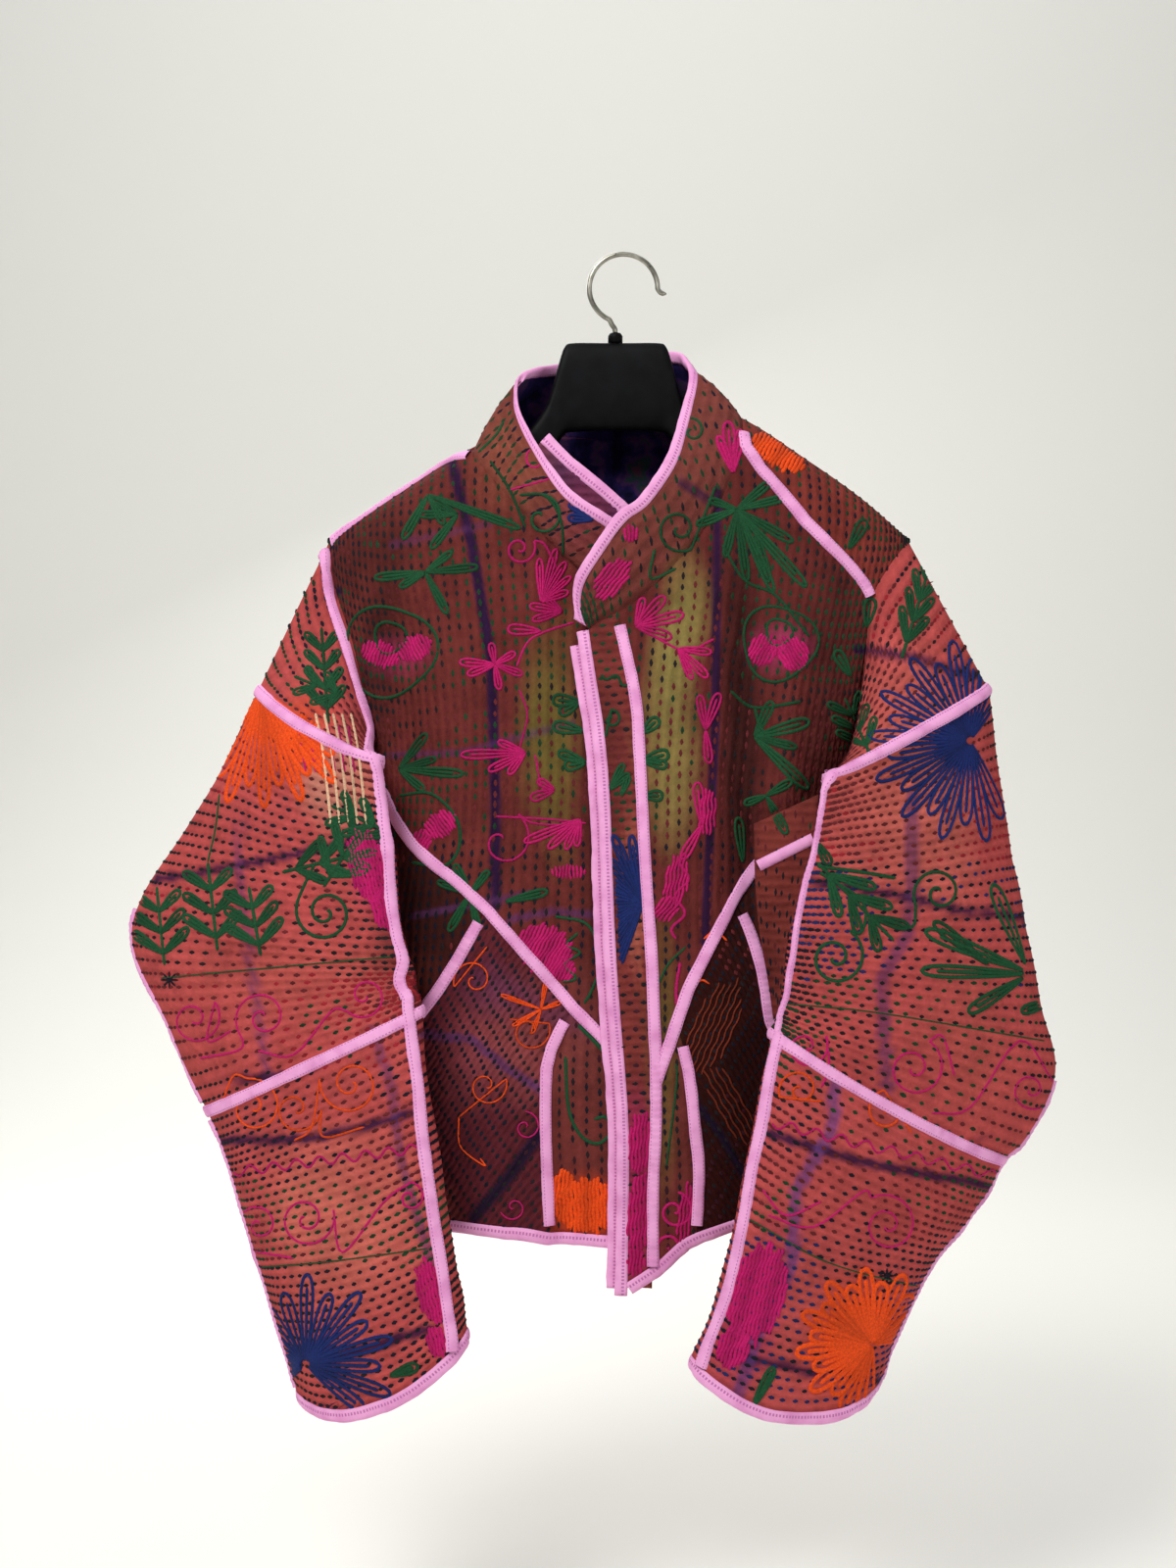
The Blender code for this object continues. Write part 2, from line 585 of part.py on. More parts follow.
def sleeve_normals(surface, flip, turn, row, side):
    """Normals of the sleeve, eased to those of the body at the armhole."""
    row = np.where(np.abs(row - 1) < 0.03, 1.0, row)
    along_turn = surface(turn + SMALL, row) - surface(turn - SMALL, row)
    middle = np.maximum(row, 0.06)
    here = surface(turn, middle)
    along_row = unit(surface(turn, middle + 0.05) - here) + unit(here - surface(turn, middle - 0.05))
    normal = unit(np.cross(unit(along_turn), along_row)) * flip
    place = armhole(side, turn.ravel())
    cloth = normals_of(body, place[:, 0], place[:, 1]).reshape(*turn.shape, 3)
    agree = (normal * cloth).sum(-1, keepdims=True)
    near = np.clip(1 - (row - 0.02) / 0.3, 0, 1)[..., None] * np.clip(0.2 + 2 * agree, 0, 1)
    folded = np.clip(1 - row / 0.3, 0, 1)[..., None] * np.clip(0.3 - 2 * agree, 0, 1)
    return unit(normal * (1 - near) + cloth * near), cloth * folded


def gap_from(edge_places, inward_places, distance):
    """Edge places moved towards the others by a distance in metres, all on the body."""
    edge = body(edge_places[:, 0], edge_places[:, 1])
    inside = body(inward_places[:, 0], inward_places[:, 1])
    share = distance / np.maximum(np.linalg.norm(inside - edge, axis=1), 1e-6)
    return edge_places + (inward_places - edge_places) * np.minimum(share, 0.5)[:, None]


def front_panel(name, edges, colour, sink=0.0, inset=SEAM_INSET):
    """A panel of the front within four edges of places, each drawn in by half a seam gap."""
    grid = patch(*edges)
    grid = inset_grid(grid, inset)
    u, v = grid[..., 0], grid[..., 1]

    def surface(around, down):
        return body(around, down, sink)

    return wall(name, surface(u, v), normals_of(surface, u, v), colour)


def inset_grid(grid, inset):
    """A grid of places drawn in at its four edges."""
    grid = grid.copy()
    flat = grid.copy()
    for row, beside in ((0, 1), (-1, -2)):
        grid[row] = gap_from(flat[row], flat[beside], inset)
    flat = grid.copy()
    for column, beside in ((0, 1), (-1, -2)):
        grid[:, column] = gap_from(flat[:, column], flat[:, beside], inset)
    return grid


def joined(*pieces):
    """Curves that follow each other, each joint's shared point kept once."""
    return np.concatenate([pieces[0]] + [piece[1:] for piece in pieces[1:]])


def clear():
    """Empties the scene."""
    for thing in list(bpy.data.objects):
        bpy.data.objects.remove(thing, do_unlink=True)


def collar_rows():
    """Each row of the collar: around and down of its seam, then its top edge in space, in metres."""
    rows = []
    for table, sink in ((COLLAR_FRONT_LEFT, 0.0), (COLLAR_FRONT_RIGHT, 1.0)):
        table = np.array(table, float)
        places = at_front(table[:, :2], sink)
        top_x, top_z = at_depth(table[:, 2] * MM, table[:, 3] * MM, table[:, 4] * MM)
        rows.append(np.stack([places[:, 0], places[:, 1], top_x, table[:, 4] * MM, top_z], axis=-1))
    share, seam_z, top_x, top_z, top_y = np.array(COLLAR_BACK, float).T
    seam_z, top_y = seam_z * MM, top_y * MM
    x = section_of(seam_z, "middle") + section_of(seam_z, "half_width") * share
    places = place_on_body(x, seam_z, 1)
    top_x, top_z = at_depth(top_x * MM, top_z * MM, top_y)
    back = np.stack([places[:, 0], places[:, 1], top_x, top_y, top_z], axis=-1)
    return np.concatenate([rows[0], back, rows[1]])


COLLAR = collar_rows()


def neck(first, last):
    """Places of the neck seam between two collar rows, at the steps that the collar itself takes."""
    count = round(abs(last - first) * COLLAR_STEPS) + 1
    return by_row(COLLAR[:, :2], np.linspace(first, last, count))


def collar_surface(row, height):
    """Point of the collar. row runs round the neck and height from 0 at the seam to 1 at the top."""
    row, height = np.broadcast_arrays(np.asarray(row, float), np.asarray(height, float))
    values = by_row(COLLAR, row)
    around, down = values[..., 0], values[..., 1]
    seam = np.where((row > NECK_RIGHT - 2)[..., None], body(around, down, 1.0), body(around, down))
    seam_out = normals_of(body, values[..., 0], values[..., 1])
    rise = height[..., None]
    return seam * (1 - rise) + values[..., 2:] * rise + seam_out * COLLAR_BULGE * 4 * rise * (1 - rise)


def collar_normals(row, height):
    """Outward directions of the collar, eased to the body's at the seam."""
    values = by_row(COLLAR, row)
    cloth = normals_of(body, values[..., 0], values[..., 1])
    normal = normals_of(collar_surface, row, height)
    near = np.clip(1 - height / 0.35, 0, 1)[..., None]
    return unit(normal * (1 - near) + cloth * near)


def bound_edge(
    name, edge, normals, towards, colour=PINK, closed=False, width=BINDING_WIDTH, thick=BINDING_THICK
):
    """An edge binding that leaves its edge in the plane of the cloth, on the side of the direction
    towards."""
    ahead = np.roll(edge, -1, axis=0) - np.roll(edge, 1, axis=0) if closed else np.gradient(edge, axis=0)
    outward = unit(np.cross(unit(ahead), normals))
    side = np.sign((outward * towards).sum(-1, keepdims=True))
    return edge_binding(name, edge, outward * side, normals, colour, closed, width, thick)


def front_strip(name, path, cloth, sink=0.0):
    """A strip laid over a seam of the fronts."""
    def surface(around, down):
        return body(around, down, sink)

    return sweep(name, strip_rings(surface, path, 1.0, cloth), PINK)


def between(first, last, count):
    """Places spaced evenly between two places."""
    share = np.linspace(0, 1, count)[:, None]
    return first * (1 - share) + last * share


def side_seam(side):
    """Places of the side seam on the front: underarm, foot of the pocket seam, hem, in two stretches."""
    sign = -1 if side == "right" else 1
    sink = 1.0 if side == "right" else 0.0
    underarm = armhole(side, [1.0])[0]
    outer = at_front(POCKET_OUTER_RIGHT if side == "right" else POCKET_OUTER_LEFT, sink)[-1]
    hem = at_front(HEM_RIGHT if side == "right" else HEM_LEFT, sink)[-1]
    foot = np.array([sign, outer[1]])
    corner = np.array([sign, hem[1] + BINDING_WIDTH / 2])
    return between(np.array([sign, underarm[1]]), foot, SIDE_STEPS[side]), between(foot, corner, 3)


def lower_front(side, diagonal, knots, outer_line, inner_line, hem, hem_knots, opening):
    """The three panels below a diagonal seam. knots and hem_knots number the samples where the pocket
    starts and ends."""
    sink = 1.0 if side == "right" else 0.0
    seam, seam_low = side_seam(side)
    first, second = knots
    seam[0] = diagonal[0]
    outer_line = by_row(outer_line, np.linspace(0, len(outer_line) - 1, first + 2))
    outer_line[0] = diagonal[first]
    outer_line[-1] = seam[-1]
    beside = between(diagonal[first], outer_line[1], SIDE_STEPS[side])
    edges = (diagonal[: first + 1], outer_line[:0:-1], seam, beside)
    front_panel(f"front_{side}_side", edges, DARK_CORAL, sink, 2.4 * SEAM_INSET)
    left = joined(outer_line, seam_low)
    right = by_row(inner_line, np.linspace(0, len(inner_line) - 1, len(left)))
    right[0] = diagonal[second]
    pocket_hem = by_row(hem, np.linspace(*hem_knots[:2], second - first + 1))
    pocket_hem[0] = left[-1]
    pocket_hem[-1] = right[-1]
    front_panel(f"pocket_{side}", (diagonal[first : second + 1], pocket_hem, left, right), DARK_CORAL, sink)
    foot = by_row(hem, np.linspace(*hem_knots[1:], len(diagonal) - second))
    foot[0] = right[-1]
    opening = by_row(opening, np.linspace(0, len(opening) - 1, len(left)))
    opening[0] = diagonal[-1]
    opening[-1] = foot[-1]
    front_panel(f"front_{side}_lower", (diagonal[second:], foot, right, opening), CORAL, sink)
    lines = {"welt": diagonal, "outer": outer_line, "inner": right}
    return joined(pocket_hem, foot), opening, lines


def build_fronts():
    """Builds both fronts and returns the seams that strips cover."""
    seams = {}
    half = BINDING_WIDTH / 2 / MM

    # Right front, which the left one covers along the opening.
    neck_edge = neck(COLLAR_END, NECK_RIGHT)
    side_edge = relieved("right", np.linspace(0, 1, AROUND_STEPS + 1))
    side_edge[0, 1] = FRONT_OF_RIDGE
    top = joined(neck_edge, between(neck_edge[-1] * (1, 0) + (0, FRONT_OF_RIDGE), side_edge[0], 9))
    knots = np.concatenate([np.linspace(0, 5, 7), np.linspace(5, 7.2, 5)[1:], np.linspace(7.2, 9, 6)[1:]])
    diagonal = by_row(at_front(DIAGONAL_RIGHT, 1.0), knots)
    diagonal[0] = side_edge[-1]
    opening = between(top[0], diagonal[-1], AROUND_STEPS + 1)
    front_panel("front_right_upper", (top, diagonal[::-1], opening, side_edge), CORAL, 1.0)
    seams["shoulder_right"] = top[len(neck_edge) - 1 :]
    hem = at_front(np.array(HEM_RIGHT) + (0, half), 1.0)
    low_opening = np.stack([diagonal[-1], hem[0]])
    outer, inner = at_front(POCKET_OUTER_RIGHT, 1.0), at_front(POCKET_INNER_RIGHT, 1.0)
    hem_line, _, seams["right"] = lower_front(
        "right", diagonal, (6, 10), outer, inner, hem, (6, 2, 0), low_opening
    )
    bind_hem("hem_front_right_binding", hem_line, 1.0)

    # Left front, on top, with its placket.
    neck_edge = neck(2, NECK_LEFT)
    armhole_left = relieved("left", np.linspace(1 / 3, 1, 7))
    shoulder = left_shoulder(neck_edge[-1], armhole_left[0])
    top = joined(neck_edge, shoulder)
    knots = np.concatenate([np.linspace(0, 4, 7), np.linspace(4, 6.7, 5)[1:], np.linspace(6.7, 8, 5)[1:]])
    diagonal = by_row(at_front(DIAGONAL_LEFT), knots)
    diagonal[0] = armhole_left[-1]
    seam = at_front(PLACKET_SEAM[:7] + [DIAGONAL_LEFT[-1]])
    seam[0] = top[0]
    seam[-1] = diagonal[-1]
    opening = by_row(seam, np.linspace(0, 7, len(armhole_left)))
    front_panel("front_left_upper", (top, diagonal[::-1], opening, armhole_left), CORAL)
    hem = at_front(np.array(HEM_LEFT) + (0, half))
    outer, inner = at_front(POCKET_OUTER_LEFT), at_front(POCKET_INNER_LEFT)
    low_seam = at_front([DIAGONAL_LEFT[-1]] + PLACKET_SEAM[7:])
    hem_knots = (5, 2, 0.92)
    hem_line, low_opening, seams["left"] = lower_front(
        "left", diagonal, (6, 10), outer, inner, hem, hem_knots, low_seam
    )

    seam = joined(opening, low_opening)
    seams["placket"] = seam
    seams["shoulder_left"] = shoulder
    edge = at_front(np.array(PLACKET_EDGE) + (half, 0))
    edge[0] = neck(0, 1)[0]
    bottom = by_row(hem, np.linspace(0.12, 0.92, 3))
    bottom[-1] = hem_line[-1]
    edge[-1] = bottom[0]
    edge_line = by_row(edge, np.linspace(0, len(edge) - 1, len(seam)))
    front_panel("placket", (neck(0, 2), bottom, edge_line, seam), CORAL)
    edge_line[0] += (edge_line[1] - edge_line[0]) * 0.12
    last_step = np.linalg.norm(body(*edge_line[-1]) - body(*edge_line[-2]))
    edge_line[-1] += (edge_line[-1] - edge_line[-2]) * BINDING_WIDTH / last_step
    u, v = edge_line.T
    bound_edge("placket_binding", body(u, v), normals_of(body, u, v), (-1, 0, 0))
    bind_hem("hem_front_left_binding", joined(hem_line, bottom[::-1]), 0.0)
    return seams


def bind_hem(name, places, sink):
    """A binding along a stretch of hem."""
    def surface(around, down):
        return body(around, down, sink)

    places = gap_from_ends(places, surface)
    edge = surface(places[:, 0], places[:, 1])
    bound_edge(name, edge, normals_of(surface, places[:, 0], places[:, 1]), (0, 0, -1))


def gap_from_ends(places, surface, gap=SEAM_GAP):
    """A curve of places that stops short of both its ends."""
    places = places.copy()
    points = surface(places[:, 0], places[:, 1])
    first = gap / np.linalg.norm(points[1] - points[0])
    last = gap / np.linalg.norm(points[-2] - points[-1])
    places[0] += (places[1] - places[0]) * first
    places[-1] += (places[-2] - places[-1]) * last
    return places


def left_shoulder(first, last):
    """Places of the left shoulder seam, which lies forward of the ridge."""
    shoulder = at_front(SHOULDER_SEAM_LEFT)
    shoulder[0] = first
    shoulder[-1] = last
    return by_row(shoulder, np.linspace(0, len(shoulder) - 1, 9))


def build_back():
    """The back panel, which takes in the yoke over both shoulders."""
    neck_edge = neck(NECK_RIGHT, NECK_LEFT)
    corner = relieved("right", [0.0])[0] * (1, 0) + (0, -FRONT_OF_RIDGE)
    top_right = between(corner, neck_edge[0] * (1, 0) + (0, -FRONT_OF_RIDGE), 9)
    front_edge = relieved("left", np.linspace(1 / 3, 0, 4))
    shoulder = left_shoulder(neck_edge[-1], front_edge[0])
    top = joined(top_right, neck_edge, shoulder)
    sides = []
    for side, start in (("right", None), ("left", front_edge)):
        edge = relieved(side, np.linspace(2 - TINY, 1 + TINY, AROUND_STEPS + 1), BACK_RELIEF, 0.0)
        seam = joined(*side_seam(side)) * (1, -1)
        edge[-1] = seam[0]
        edge = edge if start is None else joined(start, edge)
        sides.append(joined(edge, seam))
    right, left = sides
    right[0] = top[0]
    around = np.linspace(-1, 1, len(top))
    height = body(*right[-1])[2] * (1 - around) / 2 + body(*left[-1])[2] * (1 + around) / 2
    level = section_of(height, "middle") + section_of(height, "half_width") * np.sin(around * math.pi / 2)
    bottom = np.stack([around, place_on_body(level, height, 1)[:, 1]], axis=-1)
    bottom[0], bottom[-1] = right[-1], left[-1]
    grid = inset_grid(settled(patch(top, bottom, right, left)), SEAM_INSET)
    u, v = grid[..., 0], grid[..., 1]
    wall("back", body(u, v), normals_of(body, u, v), DARK_CORAL)
    bind_hem("hem_back_binding", bottom, 0.0)


def build_collar():
    """The stand collar with its binding, and the short bound guard inside it."""
    rows = np.linspace(0, len(COLLAR) - 1, (len(COLLAR) - 1) * COLLAR_STEPS + 1)
    seam = collar_surface(rows, np.zeros_like(rows))
    top = collar_surface(rows, np.ones_like(rows))
    tall = np.linalg.norm(top - seam, axis=1)
    low = np.minimum(SEAM_GAP / tall, 0.2)
    high = np.maximum(1 - BINDING_WIDTH / 2 / tall, 0.3)
    share = np.linspace(0, 1, 5)[:, None]
    height = low[None] * (1 - share) + high[None] * share
    row = np.broadcast_to(rows[None], height.shape)
    wall("collar", collar_surface(row, height), collar_normals(row, height), CORAL)
    edge = collar_surface(rows, high)
    edge_binding("collar_binding", edge, unit(top - seam), collar_normals(rows, high), PINK, gap=COLLAR_GAP)

    top_edge = by_row(COLLAR_GUARD_TOP, np.linspace(0, 3, 9)) * MM
    depth = np.linspace(-0.0328, -0.0408, 9)
    x, z = at_depth(top_edge[:, 0], top_edge[:, 1], depth)
    outer = np.stack([x, depth, z], axis=-1)
    lower = outer + np.array([-0.0145, 0.001, -0.0165])
    share = np.linspace(0, 1, 3)[:, None, None]
    grid = outer[None] * (1 - share) + lower[None] * share
    normal = unit(np.cross(np.gradient(outer, axis=0), lower - outer))
    normal = normal * np.sign(-normal[:, 1:2])
    normals = np.broadcast_to(normal[None], grid.shape)
    wall("collar_guard", grid, normals, DARK_CORAL, thick=0.0018)
    bound_edge("collar_guard_binding", outer, normal, outer - lower, thick=0.003)


def build_guard():
    """The bound guard behind the placket."""
    half = BINDING_WIDTH / 2 / MM
    edge = at_front(np.array(GUARD_EDGE) + (half, 0))
    beside = at_front(np.array(GUARD_EDGE) + (half + GUARD_WIDTH, 0))
    rows = np.linspace(0, len(GUARD_EDGE) - 1, 17)
    left, right = by_row(edge, rows), by_row(beside, rows)
    share = np.linspace(0, 1, 3)[None, :, None]
    grid = left[:, None] * (1 - share) + right[:, None] * share
    normals = normals_of(body, grid[..., 0], grid[..., 1])
    behind = body(grid[..., 0], grid[..., 1]) - normals * GUARD_BEHIND
    wall("placket_guard", behind, normals, DARK_CORAL, thick=GUARD_THICK)
    edge_points = behind[:, 0] + normals[:, 0] * (CLOTH - GUARD_THICK) / 2
    bound_edge("placket_guard_binding", edge_points, normals[:, 0], (-1, 0, 0), thick=0.0024)


def strip_turn(side, row):
    """Where the long strip lies round the sleeve, in half turns from its outer edge."""
    rows = [0.0, 0.35, 0.75, 1.2, 3, 5, 7, 9, 12]
    turns = {
        "right": [0.60, 0.72, 0.82, 0.88, 0.9, 0.88, 0.86, 0.83, 0.8],
        "left": [0.60, 0.74, 0.84, 0.9, 0.92, 0.92, 0.92, 0.9, 0.88],
    }
    return smooth_table(row, rows, turns[side])


def build_sleeve(side):
    """One sleeve in three lengths, with its cuff, bands, long strip and elbow strips."""
    surface, flip = sleeve(side)
    rings = SLEEVE_RIGHT_RINGS if side == "right" else SLEEVE_LEFT_RINGS
    last = float(len(rings))
    second = SECOND_BAND_RING[side]
    turns = np.linspace(0, 2, 2 * AROUND_STEPS, endpoint=False)

    def tube(name, first_row, last_row, count, colour):
        rows = np.linspace(first_row, last_row, count)
        turn, row = np.meshgrid(turns, rows)
        normals, folded = sleeve_normals(surface, flip, turn, row, side)
        wall(name, surface(turn, row) + folded * FOLDED_LIFT, normals, colour, closed=True)

    gap = 0.012
    cuff = last - 0.1
    stations = []
    for part, first_row, last_row, count in (
        ("upper", 0.012, 1 - gap, 6), ("middle", 1 + gap, second - gap, 11), ("lower", second + gap, cuff, 8),
    ):
        tube(f"sleeve_{side}_{part}", first_row, last_row, count, SALMON)
        stations.append(np.linspace(first_row, last_row, count))
    stations = np.concatenate(stations)

    row = np.full_like(turns, cuff)
    edge = surface(turns, row)
    below = surface(turns, row) - surface(turns, row - 0.05)
    normals, _ = sleeve_normals(surface, flip, turns, row, side)
    bound_edge(f"cuff_{side}_binding", edge, normals, below, closed=True)

    cloth = cloth_under([f"sleeve_{side}_{part}" for part in ("upper", "middle", "lower")])
    for number, ring in (("first", 1.0), ("second", float(second))):
        strip_at = float(strip_turn(side, ring))
        first_turn, last_turn = strip_at + BAND_CLEARANCE, strip_at + 2 - BAND_CLEARANCE
        columns = np.arange(4 * AROUND_STEPS) / AROUND_STEPS
        columns = columns[(columns > first_turn + 0.02) & (columns < last_turn - 0.02)]
        turn = np.concatenate([[first_turn], columns, [last_turn]])
        path = np.stack([turn, np.full_like(turn, ring)], axis=-1)
        rings = strip_rings(surface, path, flip, cloth, along=[(0, 1)] * len(path), lift=SLEEVE_STRIP_LIFT)
        sweep(f"sleeve_{side}_{number}_band", rings, PINK)

    rows = stations[(stations > (0.15 if side == "right" else 1.1)) & (stations < cuff - 0.1)]
    rows = np.concatenate([[] if side == "right" else [1.05], rows, [cuff - 0.05]])
    path = np.stack([strip_turn(side, rows), rows], axis=-1)
    along = [(1, 0)] * len(path)
    if side == "right":
        short = np.array([0.03, 1, 2, 3, 4, 5]) / AROUND_STEPS
        start = np.stack([short, np.linspace(0.08, 0.11, len(short))], axis=-1)
        path = np.concatenate([start, path])
        along = [(0, 1)] * len(short) + along
    rings = strip_rings(surface, path, flip, cloth, along=along, lift=SLEEVE_STRIP_LIFT)
    sweep(f"sleeve_{side}_long_strip", rings, PINK)

    elbow = ELBOW_RING[side]
    for name, first_row, last_row in (("upper", elbow, second - 0.2), ("lower", second + 0.2, cuff - 0.05)):
        inside = stations[(stations > first_row + 0.1) & (stations < last_row - 0.1)]
        rows = np.concatenate([[first_row], inside, [last_row]])
        path = np.stack([np.full_like(rows, 0.0), rows], axis=-1)
        rings = strip_rings(surface, path, flip, cloth, 0.006, [(1, 0)] * len(path))
        sweep(f"elbow_{side}_{name}_strip", rings, PINK)


def build_under_sleeve():
    """The under-sleeve cloth that shows between the left front and the sleeve, and its band."""
    inner = by_row(UNDER_SLEEVE_INNER, np.linspace(0, 4, 9)) * MM
    outer = by_row(UNDER_SLEEVE_OUTER, np.linspace(0, 4, 9)) * MM
    share = np.linspace(0, 1, 5)[None, :]
    seen_x = inner[:, :1] * (1 - share) + outer[:, :1] * share
    seen_z = inner[:, 1:2] * (1 - share) + outer[:, 1:2] * share
    depth = np.full_like(seen_x, -0.069) - 0.0075 * share**2
    x, z = at_depth(seen_x, seen_z, depth)
    grid = np.stack([x, depth, z], axis=-1)
    normal = unit(np.cross(np.gradient(grid, axis=1), np.gradient(grid, axis=0)))
    normal = normal * np.sign(-normal[..., 1:2])
    wall("sleeve_left_under", grid, normal, SALMON)

    def surface(along, downward):
        """Point of the cloth near its top: along it from 0 to 1, and down it in rows of the grid."""
        along, downward = np.broadcast_arrays(np.asarray(along, float), np.asarray(downward, float))
        point = by_row(grid[0], along * 4)
        drop = by_row(grid[1] - grid[0], along * 4)
        return point + drop * downward[..., None]

    along = np.linspace(0.02, 0.98, 6)
    path = np.stack([along, np.full_like(along, 0.42)], axis=-1)
    cloth = cloth_under(["sleeve_left_under"])
    sweep("sleeve_left_under_band", strip_rings(surface, path, -1.0, cloth, 0.0075), PINK)


def trimmed(line, first, last):
    """A line of places from one row number to another, with its own rows between."""
    rows = np.arange(len(line))
    inside = rows[(rows > first + 0.2) & (rows < last - 0.2)]
    rows = np.concatenate([[first], inside, [last]])
    return np.stack([np.interp(rows, np.arange(len(line)), column) for column in line.T], axis=-1)


def build_strips(seams):
    """The strips over the seams of the shoulders, pockets and placket."""
    panels = ["upper", "side", "lower"]
    right = cloth_under([f"front_right_{panel}" for panel in panels] + ["pocket_right", "back"])
    left = cloth_under([f"front_left_{panel}" for panel in panels] + ["pocket_left", "placket", "back"])
    shoulder = trimmed(seams["shoulder_right"], 0.15, 7.2)
    front_strip("shoulder_right_strip", shoulder - (0, 0.0045), right)
    front_strip("shoulder_left_strip", trimmed(seams["shoulder_left"], 0.4, 7.6), left)
    for name, side, first, last in (
        ("welt", "right", 0.9, 10.8), ("outer", "right", 0.5, 5.6), ("inner", "right", 0.7, 8.7),
        ("welt", "left", 4.2, 11.6), ("outer", "left", 0.5, 6.3), ("inner", "left", 1.0, 8.7),
    ):
        path = trimmed(seams[side][name], first, last)
        cloth = right if side == "right" else left
        front_strip(f"pocket_{side}_{name}_strip", path, cloth, float(side == "right"))
    seam = seams["placket"]
    front_strip("placket_seam_strip", trimmed(seam, 0.15, len(seam) - 1.2), left)


def build_hanger():
    """The hanger's plate and arms, its wire hook and the boss that holds the hook."""
    angles = np.linspace(0, 2 * math.pi, 12, endpoint=False) + math.pi / 12
    rings = []
    half = HANGER_HALF
    for sign, rows in ((-1, half[::-1]), (1, half)):
        for x, top_z, height, half_depth in rows:
            across = np.sign(np.cos(angles)) * np.abs(np.cos(angles)) ** 0.6 * half_depth * MM
            upward = np.sign(np.sin(angles)) * np.abs(np.sin(angles)) ** 0.45 * height / 2 * MM
            x_place = np.full_like(angles, HANGER_MIDDLE + sign * x * MM)
            rings.append(np.stack([x_place, across, (top_z - height / 2) * MM + upward], axis=-1))
    sweep("hanger_body", rings, BLACK, rough=0.4)

    turn = np.linspace(0.0, math.radians(246), 19)
    arc = np.array(HOOK_CENTRE) + HOOK_RADIUS * np.stack([np.cos(turn), np.sin(turn)], axis=-1)
    line = np.concatenate([np.array(HOOK_TIP) * MM, arc, np.array(HOOK_STEM) * MM])
    ahead = unit(np.gradient(line, axis=0))
    around = np.linspace(0, 2 * math.pi, 8, endpoint=False)
    rings = []
    for (x, z), (dx, dz) in zip(line, ahead):
        side = np.stack([-dz * np.cos(around), np.sin(around), dx * np.cos(around)], axis=-1)
        rings.append(np.array([x, 0, z]) + side * HOOK_WIRE)
    sweep("hanger_hook", rings, ZINC, rough=0.3)

    rings = []
    around = np.linspace(0, 2 * math.pi, 14, endpoint=False)
    for z, radius in ((BOSS_FOOT, 1.0), (BOSS_FOOT + 0.005, 1.0), (BOSS_TOP, 0.8)):
        circle = np.stack([np.cos(around), np.sin(around)], axis=-1) * BOSS_RADIUS * radius
        rings.append(np.stack([circle[:, 0] + HANGER_MIDDLE, circle[:, 1], np.full_like(around, z)], axis=-1))
    sweep("hanger_boss", rings, BLACK, rough=0.4)


def main():
    """Builds every piece of the jacket and its hanger."""
    clear()
    build_back()
    seams = build_fronts()
    build_collar()
    build_guard()
    for side in ("right", "left"):
        build_sleeve(side)
    build_under_sleeve()
    build_strips(seams)
    build_hanger()


main()
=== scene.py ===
"""A quilted kantha jacket with pink bound seams on a wide suit hanger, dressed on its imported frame.

Metres, +Z up, front to -Y, origin where the hook bears on its support. Right and left are the wearer's.
Columns named seen_x and seen_z, and motif places, are as they look from VIEWPOINT: the first in mm on the
plane of the hanger, the second in points of the picture, which are 0.7 mm on that plane."""

import logging
import math
from dataclasses import dataclass, field
from enum import Enum
from functools import partial
from typing import Callable

import bmesh
import bpy
import numpy as np
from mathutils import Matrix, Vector
from mathutils.bvhtree import BVHTree


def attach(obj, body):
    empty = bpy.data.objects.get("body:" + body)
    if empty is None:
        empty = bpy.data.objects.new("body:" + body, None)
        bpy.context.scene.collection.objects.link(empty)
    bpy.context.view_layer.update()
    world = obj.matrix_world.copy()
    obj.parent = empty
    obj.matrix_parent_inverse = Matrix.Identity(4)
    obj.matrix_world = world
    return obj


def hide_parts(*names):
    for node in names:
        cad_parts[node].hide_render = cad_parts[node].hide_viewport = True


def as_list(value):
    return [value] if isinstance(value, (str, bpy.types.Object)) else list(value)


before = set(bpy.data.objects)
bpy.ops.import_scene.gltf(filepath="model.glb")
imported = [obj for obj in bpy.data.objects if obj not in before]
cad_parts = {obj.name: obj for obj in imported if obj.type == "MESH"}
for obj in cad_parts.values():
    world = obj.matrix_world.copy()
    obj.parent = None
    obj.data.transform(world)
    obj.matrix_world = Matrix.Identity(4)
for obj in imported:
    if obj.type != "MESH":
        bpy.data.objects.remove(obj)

log = logging.getLogger("jacket")
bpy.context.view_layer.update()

MM = 0.001
VIEWPOINT = np.array([-0.0245, -1.5, -0.3766])
POINT = 0.0007
POINT_ORIGIN = (635, 262)

CLOTH = 0.0022
BINDING_WIDTH = 0.0078
BINDING_THICK = 0.0042
STRIP_WIDTH = 0.0086
STRIP_THICK = 0.0019
SHOULDER_ROLL = 0.034
SMALL = 1e-4
BODY_REACH = 0.3
FRONT_OF_RIDGE = -2e-4
UNDERARM_RELIEF = {"right": 12.0, "left": 22.0}
ARMHOLE_RELIEF = -0.7
UNDERARM_TILT = 0.7
BODY_FLAT = (0.22, 1)
SLEEVE_FLAT = 0.19

# Body sections: height, middle of the body, half its width, depth of its front and of its back.
BODY_SECTIONS = {
    "z": [-690, -600, -480, -380, -300, -203, -100],
    "middle": [-18, -17, -13, -9, -6, -2.5, -2.5],
    "half_width": [205, 198, 184, 176, 188, 207.5, 207.5],
    "front": [60, 66, 68, 66, 58, 44, 40],
    "back": [40, 40, 38, 38, 38, 38, 38],
}
